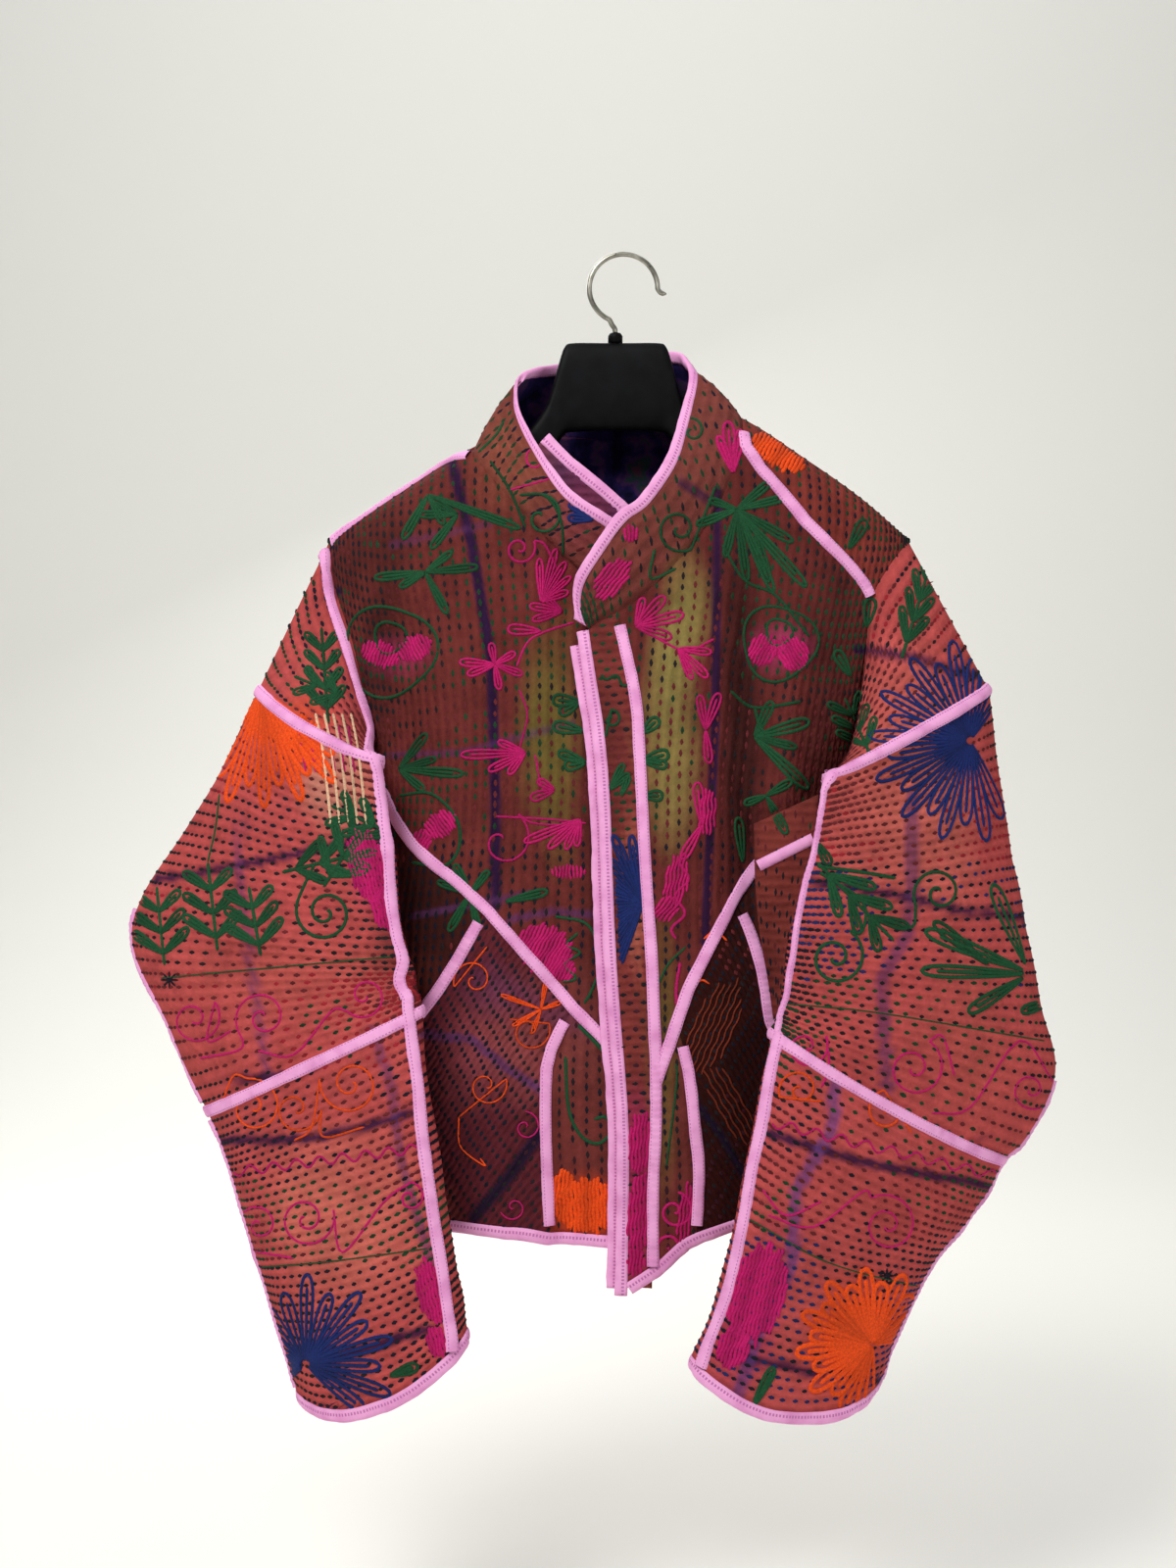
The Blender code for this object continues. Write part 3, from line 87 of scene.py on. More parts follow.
# Shoulder line: share of the half width, height of the ridge.
SHOULDER_LINE = {
    "share": [-1, -0.75, -0.5, -0.25, 0, 0.25, 0.44, 0.63, 0.82, 1],
    "z": [-203, -169, -136, -108, -100, -101, -118, -144, -172, -203],
}
# Folds of the front: where each starts and ends, half its width, how far it stands out, negative for a
# valley.
FRONT_FOLDS = [
    # x_top, z_top, x_low, z_low, width, rise
    (92, -205, 84, -520, 17, -14), (114, -225, 110, -440, 22, 7), (-160, -235, -150, -400, 20, -10),
    (-118, -240, -112, -520, 26, 5), (-95, -420, -88, -740, 22, 6), (66, -520, 60, -740, 20, 4),
    (-60, -330, -40, -640, 24, -4),
]
BACK_FOLDS = [
    (-120, -230, -92, -640, 24, -9), (-52, -300, -64, -760, 30, 6), (8, -200, 2, -520, 26, -6),
    (62, -330, 74, -760, 26, 7), (118, -240, 104, -600, 22, -9),
]
RIGHT_FRONT_SINK = {"from_x": -62, "to_x": -38, "depth": 7}

# Armhole edge on the front, from the shoulder point down to the underarm.
ARMHOLE_FRONT = {
    "right": [
        (-209, -203), (-205, -236), (-193, -274), (-184, -310), (-178, -338), (-179, -354), (-188, -362),
    ],
    "left": [(204, -203), (189, -223), (178, -245), (174, -278), (169, -316), (166, -348), (173, -366)],
}
# Armhole edge on the back: share of the way round to the side seam, height.
ARMHOLE_BACK = [(1, -203), (0.91, -222), (0.84, -254), (0.82, -290), (0.85, -324), (0.93, -350), (1, -362)]

# Sleeve rings: outer and inner ends as seen, their depths, how far the front and back stand out, how far
# the front dips.
SLEEVE_RIGHT_RINGS = [
    # outer_x, outer_z, inner_x, inner_z, outer_y, inner_y, front, back, dip
    (-260, -311, -172, -358, -8, -80, 22, 24, 6), (-282, -355, -168, -398, -10, -84, 22, 24, 6),
    (-310, -406, -162, -433, -12, -86, 23, 24, 4), (-346, -462, -155, -482, -14, -88, 24, 24, 2),
    (-348, -494, -150, -506, -16, -90, 25, 25, 0), (-323, -552, -146, -522, -22, -92, 26, 25, 0),
    (-296, -610, -143, -538, -28, -94, 27, 25, 0), (-277, -660, -136, -608, -42, -98, 28, 22, 2),
    (-259, -718, -125, -674, -48, -100, 29, 25, 6), (-243, -774, -115, -734, -50, -100, 31, 29, 13),
    (-232, -811, -111, -770, -50, -100, 33, 31, 22),
]
SLEEVE_LEFT_RINGS = [
    (262, -309, 144, -371, -8, -84, 24, 24, 4), (268, -363, 139, -401, -10, -88, 24, 24, 4),
    (274, -412, 132, -433, -12, -90, 24, 24, 3), (284, -457, 125, -468, -14, -92, 25, 24, 2),
    (298, -524, 117, -506, -18, -94, 26, 25, 2), (309, -583, 112, -533, -22, -96, 27, 25, 2),
    (287, -629, 109, -547, -28, -97, 27, 25, 3), (273, -645, 107, -554, -30, -98, 27, 25, 4),
    (255, -674, 99, -594, -38, -104, 28, 24, 5), (233, -704, 90, -641, -46, -106, 28, 24, 7),
    (212, -737, 79, -700, -48, -106, 29, 26, 9), (194, -776, 61, -758, -46, -102, 31, 29, 14),
    (183, -804, 48, -789, -48, -102, 33, 31, 22),
]
# Soft creases of the sleeves: ring number, place round the ring in half turns, their half sizes, rise.
SLEEVE_FOLDS = {
    "right": [
        (1.6, 0.42, 0.5, 0.2, 5), (2.9, 0.25, 0.7, 0.22, -5), (4.3, 0.55, 0.8, 0.25, 5),
        (5.6, 0.75, 0.7, 0.14, -6),
        (7.6, 0.45, 1.2, 0.2, -4), (9.0, 0.62, 1.2, 0.16, 5), (3.4, 1.4, 1.4, 0.2, -6),
        (8.2, 1.5, 1.5, 0.2, 5),
    ],
    "left": [
        (1.5, 0.55, 0.7, 0.2, -5), (2.6, 0.35, 0.8, 0.22, 5), (4.4, 0.6, 0.9, 0.2, -5),
        (5.4, 0.25, 0.8, 0.2, -5),
        (8.4, 0.5, 1.2, 0.2, 5), (10.6, 0.35, 1.3, 0.16, -5), (3.2, 1.45, 1.4, 0.2, -6),
        (9.6, 1.55, 1.6, 0.2, 5),
    ],
}
SECOND_BAND_RING = {"right": 7, "left": 8}
ELBOW_RING = {"right": 4.1, "left": 6.1}

# Stand collar from its front end, round the neck, to the end that is covered. The seam lies on the body.
COLLAR_FRONT_LEFT = [
    # seam_x, seam_z, top_x, top_z, top_y
    (-25, -265, -30, -262, -54), (-17, -261, -33, -245, -56), (-4, -254, -30, -229, -59),
    (13, -243, -17, -208, -61), (35, -222, -1, -186, -60), (54, -200, 15, -174, -56),
    (71, -173, 34, -146, -46), (80, -146, 43, -118, -32), (86, -121, 50, -88, -12),
]
COLLAR_BACK = [
    # share, seam_z, top_x, top_z, top_y
    (0.40, -119, 47, -77, 3), (0.28, -124, 37, -71, 19), (0.0, -127, -5, -74, 30),
    (-0.36, -131, -46, -80, 20),
]
COLLAR_FRONT_RIGHT = [
    (-106, -138, -71, -85, -2), (-97, -153, -76, -98, -14), (-86, -166, -74, -112, -25),
    (-75, -178, -65, -131, -34), (-59, -195, -48, -158, -42), (-44, -212, -33, -174, -47),
    (-25, -229, -10, -189, -49), (-12, -240, 4, -200, -50),
]
PLACKET_EDGE = [
    (-32, -268), (-25, -292), (-17, -344), (-13, -398), (-11, -460), (-8, -518), (-3, -578), (0, -623),
    (0, -668), (0, -740),
]
PLACKET_SEAM = [
    (0, -259), (9, -308), (13, -362), (15, -415), (19, -469), (22, -518), (24, -578), (24, -623),
    (22, -668), (22, -728),
]
GUARD_EDGE = [
    (-34, -276), (-23, -344), (-19, -398), (-17, -460), (-14, -518), (-9, -578), (-6, -623), (-6, -668),
    (-7, -738),
]
COLLAR_GUARD_TOP = [(-58, -132), (-36, -153), (-13, -172), (1, -185)]
# Diagonal seams of the fronts, then the pocket seams and the hems, all from the outside in.
DIAGONAL_RIGHT = [
    (-175, -362), (-170, -385), (-158, -408), (-144, -426), (-123, -442), (-97, -466), (-72, -495),
    (-41, -530), (-13, -559), (6, -582),
]
DIAGONAL_LEFT = [
    (147, -366), (137, -388), (120, -410), (99, -431), (80, -458), (67, -484), (48, -521), (35, -559),
    (24, -590),
]
POCKET_OUTER_RIGHT = [(-97, -466), (-142, -538), (-215, -640)]
POCKET_INNER_RIGHT = [(-36, -536), (-52, -569), (-55, -600), (-54, -651), (-52, -698)]
POCKET_OUTER_LEFT = [(80, -458), (95, -491), (102, -521), (108, -551), (140, -600), (190, -650)]
POCKET_INNER_LEFT = [(39, -547), (48, -585), (52, -623), (55, -653), (53, -698)]
HEM_RIGHT = [(10, -704), (-8, -704), (-54, -701), (-83, -698), (-120, -693), (-170, -690), (-223, -688)]
HEM_LEFT = [(0, -740), (24, -724), (50, -702), (79, -694), (120, -691), (187, -688)]
SHOULDER_SEAM_LEFT = [
    (86, -121), (90, -140), (110, -163), (131, -189), (153, -211), (172, -232), (178, -245),
]
UNDER_SLEEVE_INNER = [(94, -405), (95, -447), (98, -482), (104, -517), (108, -545)]
UNDER_SLEEVE_OUTER = [(140, -384), (138, -425), (128, -465), (120, -500), (114, -540)]
# Hanger: outline of its plate and arms from the middle to the tip of one arm.
HANGER_HALF = [
    # x, top_z, height, half_depth
    (6, -62, 62, 8), (30, -62, 63, 8), (36, -64.5, 62, 8), (40, -75, 57, 8), (44.5, -92, 47, 8),
    (50, -108, 38, 8.5), (64, -126, 29, 9),
    (90, -143.2, 25, 11), (130, -171.2, 21, 13), (160, -193.2, 17, 14), (176, -207.2, 11, 11),
]
HANGER_MIDDLE = -0.005
HOOK_WIRE = 0.00185
HOOK_RADIUS = 0.0244
HOOK_CENTRE = (0.0008, -0.0226)
HOOK_TIP = [(31.5, -26.5), (28.5, -26.2), (26.2, -24.6)]
HOOK_STEM = [(-7.4, -48.6), (-5.4, -51.5), (-5, -54.6)]
BOSS_RADIUS = 0.0052
BOSS_FOOT = -0.0616
BOSS_TOP = -0.0549
# Small extra creases of the sleeves, as in SLEEVE_FOLDS.
SLEEVE_CREASES = {
    "right": [
        (4.7, 0.78, 0.35, 0.12, 2.5), (5.0, 0.62, 0.25, 0.16, -2), (1.25, 0.75, 0.2, 0.12, 2.5),
        (6.3, 0.3, 0.5, 0.07, 1.8), (2.2, 0.8, 0.5, 0.06, -2.5), (8.4, 0.2, 0.8, 0.07, 1.8),
        (9.7, 0.4, 0.3, 0.3, -1.6),
    ],
    "left": [
        (6.2, 0.8, 0.4, 0.12, 2.5), (6.8, 0.6, 0.3, 0.16, -2), (1.3, 0.8, 0.2, 0.12, 2.5),
        (3.1, 0.75, 0.6, 0.06, -2.5), (9.5, 0.25, 0.8, 0.07, 1.8), (4.9, 0.4, 0.3, 0.25, 1.8),
        (11.6, 0.5, 0.3, 0.3, -1.6),
    ],
}


Array = np.ndarray


class Side(Enum):
    """The wearer's side that a piece belongs to."""

    RIGHT = "right"
    LEFT = "left"


def eased(share: Array) -> Array:
    """A share from 0 to 1 that starts and ends softly."""
    return share * share * (3 - 2 * share)


def mixed(first: Array, last: Array, share: Array) -> Array:
    """Values a share of the way from first to last."""
    return first * (1 - share) + last * share


def smooth_table(value: Array, places: Array, heights: Array) -> Array:
    """A smooth curve through a short table, with slopes from its neighbours.

    Args:
        value: Places to read.
        places: The table's places, rising.
        heights: The table's values.

    Returns:
        The curve's value at each place.
    """
    places, heights = np.asarray(places, float), np.asarray(heights, float)
    slopes = np.gradient(heights, places)
    value = np.clip(value, places[0], places[-1])
    index = np.clip(np.searchsorted(places, value, side="right") - 1, 0, len(places) - 2)
    step = places[index + 1] - places[index]
    t = (value - places[index]) / step
    bend = slopes[index] * step * t * (1 - t) ** 2 - slopes[index + 1] * step * t**2 * (1 - t)
    return heights[index] * (1 - t) ** 2 * (1 + 2 * t) + heights[index + 1] * t**2 * (3 - 2 * t) + bend


def by_row(rows: Array, places: Array) -> Array:
    """Smooth samples through rows of numbers, at row numbers that needn't be whole."""
    rows, numbers = np.asarray(rows, float), np.arange(len(rows))
    return np.stack([smooth_table(np.asarray(places), numbers, column) for column in rows.T], axis=-1)


def curve(points: Array, count: int = 24) -> Array:
    """A smooth line through a few places."""
    return by_row(points, np.linspace(0, len(points) - 1, count))


def finer(line: Array, count: int, first: float = 0.0, last: float | None = None) -> Array:
    """Places along a line's straight stretches, from one row number to another."""
    rows = np.linspace(first, len(line) - 1 if last is None else last, count)
    return np.stack([np.interp(rows, np.arange(len(line)), column) for column in line.T], axis=-1)


def run_of(line: Array) -> Array:
    """How far along a line each of its points is."""
    return np.concatenate([[0], np.cumsum(np.linalg.norm(np.diff(line, axis=0), axis=1))])


def spaced(line: Array, count: int) -> Array:
    """A line sampled again at even steps."""
    along = run_of(line)
    return np.stack(
        [np.interp(np.linspace(0, along[-1], count), along, column) for column in line.T], axis=-1
    )


def unit(vectors: Array) -> Array:
    """The vectors at a length of one."""
    return vectors / np.maximum(np.linalg.norm(vectors, axis=-1, keepdims=True), 1e-12)


def joined(*pieces: Array) -> Array:
    """Curves that follow each other, each joint's shared point kept once."""
    return np.concatenate([pieces[0]] + [piece[1:] for piece in pieces[1:]])


def between(first: Array, last: Array, count: int) -> Array:
    """Places spaced evenly between two places."""
    return mixed(np.asarray(first), np.asarray(last), np.linspace(0, 1, count)[:, None])


def columns_of(*columns: Array) -> Array:
    """Arrays put side by side as the last axis of one."""
    return np.stack(np.broadcast_arrays(*columns), axis=-1)


def ripple(a: Array, b: Array, size: float, seed: float) -> Array:
    """Smooth uneven waves over a plane.

    Args:
        a: First coordinate, in metres.
        b: Second coordinate, in metres.
        size: About one wave's length.
        seed: Picks the waves.

    Returns:
        Values from -1 to 1.
    """
    a, b = np.asarray(a) / size, np.asarray(b) / size
    low_a, low_b = np.floor(a), np.floor(b)

    def knot(over: int, up: int) -> Array:
        """The value at one corner of the lattice."""
        value = np.sin((low_a + over) * 127.1 + (low_b + up) * 311.7 + seed * 74.7) * 43758.5453
        return (value - np.floor(value)) * 2 - 1

    share = eased(a - low_a)
    return mixed(
        mixed(knot(0, 0), knot(1, 0), share), mixed(knot(0, 1), knot(1, 1), share), eased(b - low_b),
    )


def at_depth(seen_x: Array, seen_z: Array, depth: Array) -> tuple[Array, Array]:
    """True x and z of points that look to be at seen_x, seen_z and lie at this y, in metres."""
    share = (depth - VIEWPOINT[1]) / -VIEWPOINT[1]
    return VIEWPOINT[0] + (seen_x - VIEWPOINT[0]) * share, VIEWPOINT[2] + (seen_z - VIEWPOINT[2]) * share


def picture_points(points: Array) -> Array:
    """Where points in space look to be in the picture, in its points."""
    share = -VIEWPOINT[1] / (points[..., 1] - VIEWPOINT[1])
    x = VIEWPOINT[0] + (points[..., 0] - VIEWPOINT[0]) * share
    z = VIEWPOINT[2] + (points[..., 2] - VIEWPOINT[2]) * share
    return columns_of(POINT_ORIGIN[0] + x / POINT, POINT_ORIGIN[1] - z / POINT)


def turned(lean: float) -> Array:
    """The turn of the picture by an angle in degrees, as a matrix."""
    turn = math.radians(lean)
    return np.array([[math.cos(turn), -math.sin(turn)], [math.sin(turn), math.cos(turn)]])


class Surface:
    """A sheet in space, read at two coordinates."""

    outward: float = 1.0

    def point(self, u: Array, v: Array) -> Array:
        """The point at u, v."""
        raise NotImplementedError

    def ahead(self, u: Array, v: Array) -> tuple[Array, Array]:
        """How far the point moves for a small step of u, and of v."""
        along_u = self.point(u + SMALL, v) - self.point(u - SMALL, v)
        return along_u, self.point(u, v + SMALL) - self.point(u, v - SMALL)

    def normal(self, u: Array, v: Array) -> Array:
        """The outward direction at u, v."""
        return unit(np.cross(*self.ahead(u, v))) * self.outward

    def cloth_normal(self, u: Array, v: Array) -> Array:
        """The outward direction of the finished cloth at u, v."""
        return self.normal(u, v)

    def at(self, places: Array) -> tuple[Array, Array]:
        """Points and outward directions of the finished cloth at places, each a u and a v."""
        return self.point(places[..., 0], places[..., 1]), self.cloth_normal(places[..., 0], places[..., 1])


@dataclass
class BodySurface(Surface):
    """The body cloth: around runs from -1 to 1 between the side seams, down is negative on the front."""

    sink: float = 0.0

    def section(self, height: Array, name: str) -> Array:
        """One size of the body's section at a height, in metres."""
        return smooth_table(height / MM, BODY_SECTIONS["z"], BODY_SECTIONS[name]) * MM

    def across(self, height: Array, share: Array) -> Array:
        """x at a height and a share of the half width."""
        return self.section(height, "middle") + self.section(height, "half_width") * share

    def folds(self, x: Array, z: Array, table: list) -> Array:
        """How far the folds of a table stand out at x, z."""
        total = np.zeros_like(x)
        for x_top, z_top, x_low, z_low, width, rise in table:
            t = (z / MM - z_top) / (z_low - z_top)
            ends = eased(np.clip(t * 4, 0, 1) * np.clip((1 - t) * 3, 0, 1))
            total += rise * MM * ends * np.exp(-(((x / MM - x_top - (x_low - x_top) * t) / width) ** 2))
        return total

    def point(self, u: Array, v: Array) -> Array:
        """The point at around u and down v."""
        around, down = np.broadcast_arrays(np.asarray(u, float), np.asarray(v, float))
        turn = around * math.pi / 2
        share = np.sin(turn)
        roll = np.clip(np.abs(down) / SHOULDER_ROLL, 0, math.pi / 2)
        drop = SHOULDER_ROLL * (1 - np.cos(roll)) + np.maximum(np.abs(down) - SHOULDER_ROLL * math.pi / 2, 0)
        z = smooth_table(share, SHOULDER_LINE["share"], SHOULDER_LINE["z"]) * MM - drop
        x = self.across(z, share)
        fade = np.sin(roll) * np.clip(np.cos(turn) * 3, 0, 1)
        wrinkles = 0.0016 * ripple(x, z * 0.45, 0.034, 3) + 0.0008 * ripple(x, z, 0.016, 5)
        front, back = (
            self.section(z, name) * np.cos(turn) * (1 + flare * share**2) * np.sin(roll)
            + (self.folds(x, z, folds) + wrinkles) * fade * np.sin(roll)
            for name, flare, folds in (("front", 0.22, FRONT_FOLDS), ("back", 0.6, BACK_FOLDS))
        )
        reach = RIGHT_FRONT_SINK["to_x"] - RIGHT_FRONT_SINK["from_x"]
        covered = eased(np.clip((x / MM - RIGHT_FRONT_SINK["from_x"]) / reach, 0, 1))
        front = -front + self.sink * covered * RIGHT_FRONT_SINK["depth"] * MM
        return columns_of(x, np.where(down < 0, front, back), z)

    def place(self, x: Array, z: Array, side: int) -> Array:
        """around and down of the point at x, z. side is -1 for the front and 1 for the back."""
        share = np.clip((x - self.section(z, "middle")) / self.section(z, "half_width"), -1, 1)
        drop = smooth_table(share, SHOULDER_LINE["share"], SHOULDER_LINE["z"]) * MM - z
        rolled = SHOULDER_ROLL * np.arccos(np.clip(1 - drop / SHOULDER_ROLL, 0, 1))
        return columns_of(
            np.arcsin(share) * 2 / math.pi, side * (rolled + np.maximum(drop - SHOULDER_ROLL, 0)),
        )

    def at_front(self, seen: Array) -> Array:
        """around and down of front points given as they are seen, in mm."""
        seen = np.asarray(seen, float) * MM
        depth = np.full(len(seen), -0.05)
        for _ in range(8):
            place = self.place(*at_depth(seen[:, 0], seen[:, 1], depth), -1)
            depth = self.point(*place.T)[:, 1]
        return place

    def armhole(self, side: Side, places: Array) -> Array:
        """Places of the armhole seam: 0 at the shoulder, 1 at the underarm, 2 at the shoulder again."""
        places = np.asarray(places, float) % 2
        front = self.at_front(by_row(ARMHOLE_FRONT[side.value], np.minimum(places, 1) * 6))
        back_rows = by_row(ARMHOLE_BACK, np.clip(2 - places, 0, 1) * 6)
        z = back_rows[:, 1] * MM
        share = np.sin(back_rows[:, 0] * math.pi / 2) * (-1 if side is Side.RIGHT else 1)
        front[:, 1] = np.minimum(front[:, 1], -SMALL)
        return np.where((places <= 1)[:, None], front, self.place(self.across(z, share), z, 1))

    def relieved(self, side: Side, places: Array, underarm: float = 1.0) -> Array:
        """The armhole edge of a panel, which stands back where the sleeve folds forward at the underarm."""
        edge = self.armhole(side, places)
        late = eased(np.clip((np.asarray(places) - 0.66) / 0.24, 0, 1) * underarm)
        inward = (ARMHOLE_RELIEF + UNDERARM_RELIEF[side.value] * late) * MM
        share = np.sin(edge[:, 0] * math.pi / 2)
        share = np.clip(share - np.sign(share) * inward / self.section(-0.36, "half_width"), -1, 1)
        return columns_of(np.arcsin(share) * 2 / math.pi, edge[:, 1])


@dataclass
class SleeveSurface(Surface):
    """One sleeve: turn in half turns from the outer edge by way of the front, row from 0 at the armhole."""

    side: Side
    body: BodySurface = field(default_factory=BodySurface)

    def __post_init__(self) -> None:
        """Reads the tables of its side."""
        right = self.side is Side.RIGHT
        self.rings = np.array(SLEEVE_RIGHT_RINGS if right else SLEEVE_LEFT_RINGS, float) * MM
        self.outward, self.seed = (-1.0, 11) if right else (1.0, 17)
        self.creases = SLEEVE_FOLDS[self.side.value] + SLEEVE_CREASES[self.side.value]

    def tube(self, turn: Array, row: Array) -> Array:
        """The part of the sleeve below its first ring."""
        columns = np.moveaxis(by_row(self.rings, np.maximum(row - 1, 0)), -1, 0)
        outer_x, outer_z, inner_x, inner_z, outer_y, inner_y, front, back, dip = columns
        outer, inner = (
            columns_of(x, y, z)
            for y, (x, z) in (
                (outer_y, at_depth(outer_x, outer_z, outer_y)),
                (inner_y, at_depth(inner_x, inner_z, inner_y)),
            )
        )
        length, forward = np.cos(turn * math.pi), np.sin(turn * math.pi)
        bulge = np.where(forward > 0, -front, back) * np.abs(forward)
        tilt = np.where(forward > 0, 0, np.clip((2.4 - row) / 1.4, 0, 1)) * UNDERARM_TILT
        drop = np.where(forward > 0, -dip, 0) * np.abs(forward) ** 2 - bulge * np.sin(tilt)
        middle = (outer + inner) / 2
        point = middle + (outer - inner) / 2 * (np.sign(length) * np.abs(length) ** 0.9)[..., None]
        point = point + columns_of(0.0, bulge * np.cos(tilt), drop)
        swell = self.wrinkles(turn, row)
        for ring, where, tall, wide, rise in self.creases:
            near = np.abs((turn - where + 1) % 2 - 1)
            swell = swell + rise * MM * np.exp(-(((row - ring) / tall) ** 2) - (near / wide) ** 2)
        return point + unit(point - middle) * swell[..., None]

    def wrinkles(self, turn: Array, row: Array) -> Array:
        """The soft unevenness that quilting and hanging leave, the same at turn 0 and 2."""
        a, b = np.cos(turn * math.pi) * 0.06, np.sin(turn * math.pi) * 0.04
        long_ones = ripple(a + row * 0.011, b + row * 0.043, 0.032, self.seed)
        return 0.0017 * long_ones + 0.0008 * ripple(a * 2, b * 2 + row * 0.045, 0.02, self.seed + 1)

    def point(self, u: Array, v: Array) -> Array:
        """The point at turn u and row v."""
        turn, row = np.broadcast_arrays(np.asarray(u, float), np.asarray(v, float))
        start = self.body.point(*self.body.armhole(self.side, turn.ravel()).T).reshape(*turn.shape, 3)
        early = np.clip(row, 0, 1)[..., None]
        return mixed(start, self.tube(turn, np.maximum(row, 1)), eased(early) * 0.35 + early * 0.65)

    def dressing(self, turn: Array, row: Array) -> tuple[Array, Array]:
        """Outward directions, eased to those of the body at the armhole.

        Args:
            turn: Places round the sleeve.
            row: Places down it.

        Returns:
            The directions, and how far the cloth lifts off the body where it folds back over it.
        """
        row = np.where(np.abs(row - 1) < 0.03, 1.0, row)
        middle = np.maximum(row, 0.06)
        here = self.point(turn, middle)
        along_row = unit(self.point(turn, middle + 0.05) - here)
        along_row = along_row + unit(here - self.point(turn, middle - 0.05))
        along_turn = self.point(turn + SMALL, row) - self.point(turn - SMALL, row)
        normal = unit(np.cross(unit(along_turn), along_row)) * self.outward
        cloth = self.body.normal(*self.body.armhole(self.side, turn.ravel()).T).reshape(*turn.shape, 3)
        agree = (normal * cloth).sum(-1, keepdims=True)
        near = np.clip(1 - (row - 0.02) / 0.3, 0, 1)[..., None] * np.clip(0.2 + 2 * agree, 0, 1)
        folded = np.clip(1 - row / 0.3, 0, 1)[..., None] * np.clip(0.3 - 2 * agree, 0, 1)
        return unit(mixed(normal, cloth, near)), cloth * folded

    def cloth_normal(self, u: Array, v: Array) -> Array:
        """The outward direction of the finished cloth at turn u and row v."""
        return self.dressing(*np.broadcast_arrays(np.asarray(u, float), np.asarray(v, float)))[0]


class CollarSurface(Surface):
    """The stand collar: row round the neck, and height from 0 at the seam to 1 at the top."""

    def __init__(self) -> None:
        """Works out each row's seam and top edge from the tables."""
        self.body, self.covered = BodySurface(), BodySurface(1.0)
        rows = []
        for table, body in (
            (COLLAR_FRONT_LEFT, self.body), (COLLAR_BACK, None), (COLLAR_FRONT_RIGHT, self.covered),
        ):
            table = np.array(table, float)
            seam_z, top_x, top_z, top_y = table[:, 1:].T * MM
            if body:
                places = body.at_front(table[:, :2])
            else:
                places = self.body.place(self.body.across(seam_z, table[:, 0]), seam_z, 1)
            top_x, top_z = at_depth(top_x, top_z, top_y)
            rows.append(columns_of(*places.T, top_x, top_y, top_z))
        self.rows = np.concatenate(rows)

    def neck(self, first: float, last: float, count: int = 40) -> Array:
        """Places of the neck seam between two rows."""
        return by_row(self.rows[:, :2], np.linspace(first, last, count))

    def point(self, u: Array, v: Array) -> Array:
        """The point at row u and height v."""
        row, height = np.broadcast_arrays(np.asarray(u, float), np.asarray(v, float))
        values, rise = by_row(self.rows, row), height[..., None]
        place = values[..., 0], values[..., 1]
        seam = np.where((row > 11)[..., None], self.covered.point(*place), self.body.point(*place))
        return mixed(seam, values[..., 2:], rise) + self.body.normal(*place) * 0.014 * rise * (1 - rise)

    def cloth_normal(self, u: Array, v: Array) -> Array:
        """The collar's outward direction, eased to the body's at the seam."""
        values = by_row(self.rows, u)
        cloth = self.body.normal(values[..., 0], values[..., 1])
        return unit(mixed(self.normal(u, v), cloth, np.clip(1 - v / 0.35, 0, 1)[..., None]))


def linear(hex_colour: str) -> tuple[float, float, float, float]:
    """An sRGB hex colour in linear light, with an alpha of one."""
    channels = [int(hex_colour[i : i + 2], 16) / 255 for i in (1, 3, 5)]
    return (*[c / 12.92 if c <= 0.04045 else ((c + 0.055) / 1.055) ** 2.4 for c in channels], 1.0)


def add_node(
    tree: bpy.types.NodeTree, kind: str, inputs: tuple | dict = (), out: int | str = 0, stops: tuple = (),
    **settings: object,
) -> bpy.types.NodeSocket:
    """Adds a shader node to a tree.

    Args:
        tree: The tree.
        kind: The node's type, without the words that all of them start with.
        inputs: Values or sockets to link from, in order or by socket name.
        out: The output that is wanted.
        stops: Places and colours of a ramp.
        settings: The node's own settings.

    Returns:
        That output.
    """
    node = tree.nodes.new(f"ShaderNode{kind}")
    for name, value in settings.items():
        setattr(node, name, value)
    for key, value in inputs.items() if isinstance(inputs, dict) else enumerate(inputs):
        if isinstance(value, bpy.types.NodeSocket):
            tree.links.new(value, node.inputs[key])
        else:
            node.inputs[key].default_value = value
    for number, (place, tone) in enumerate(stops):
        stop = node.color_ramp.elements[number] if number < 2 else node.color_ramp.elements.new(place)
        stop.position, stop.color = place, linear(tone)
    return node.outputs[out]


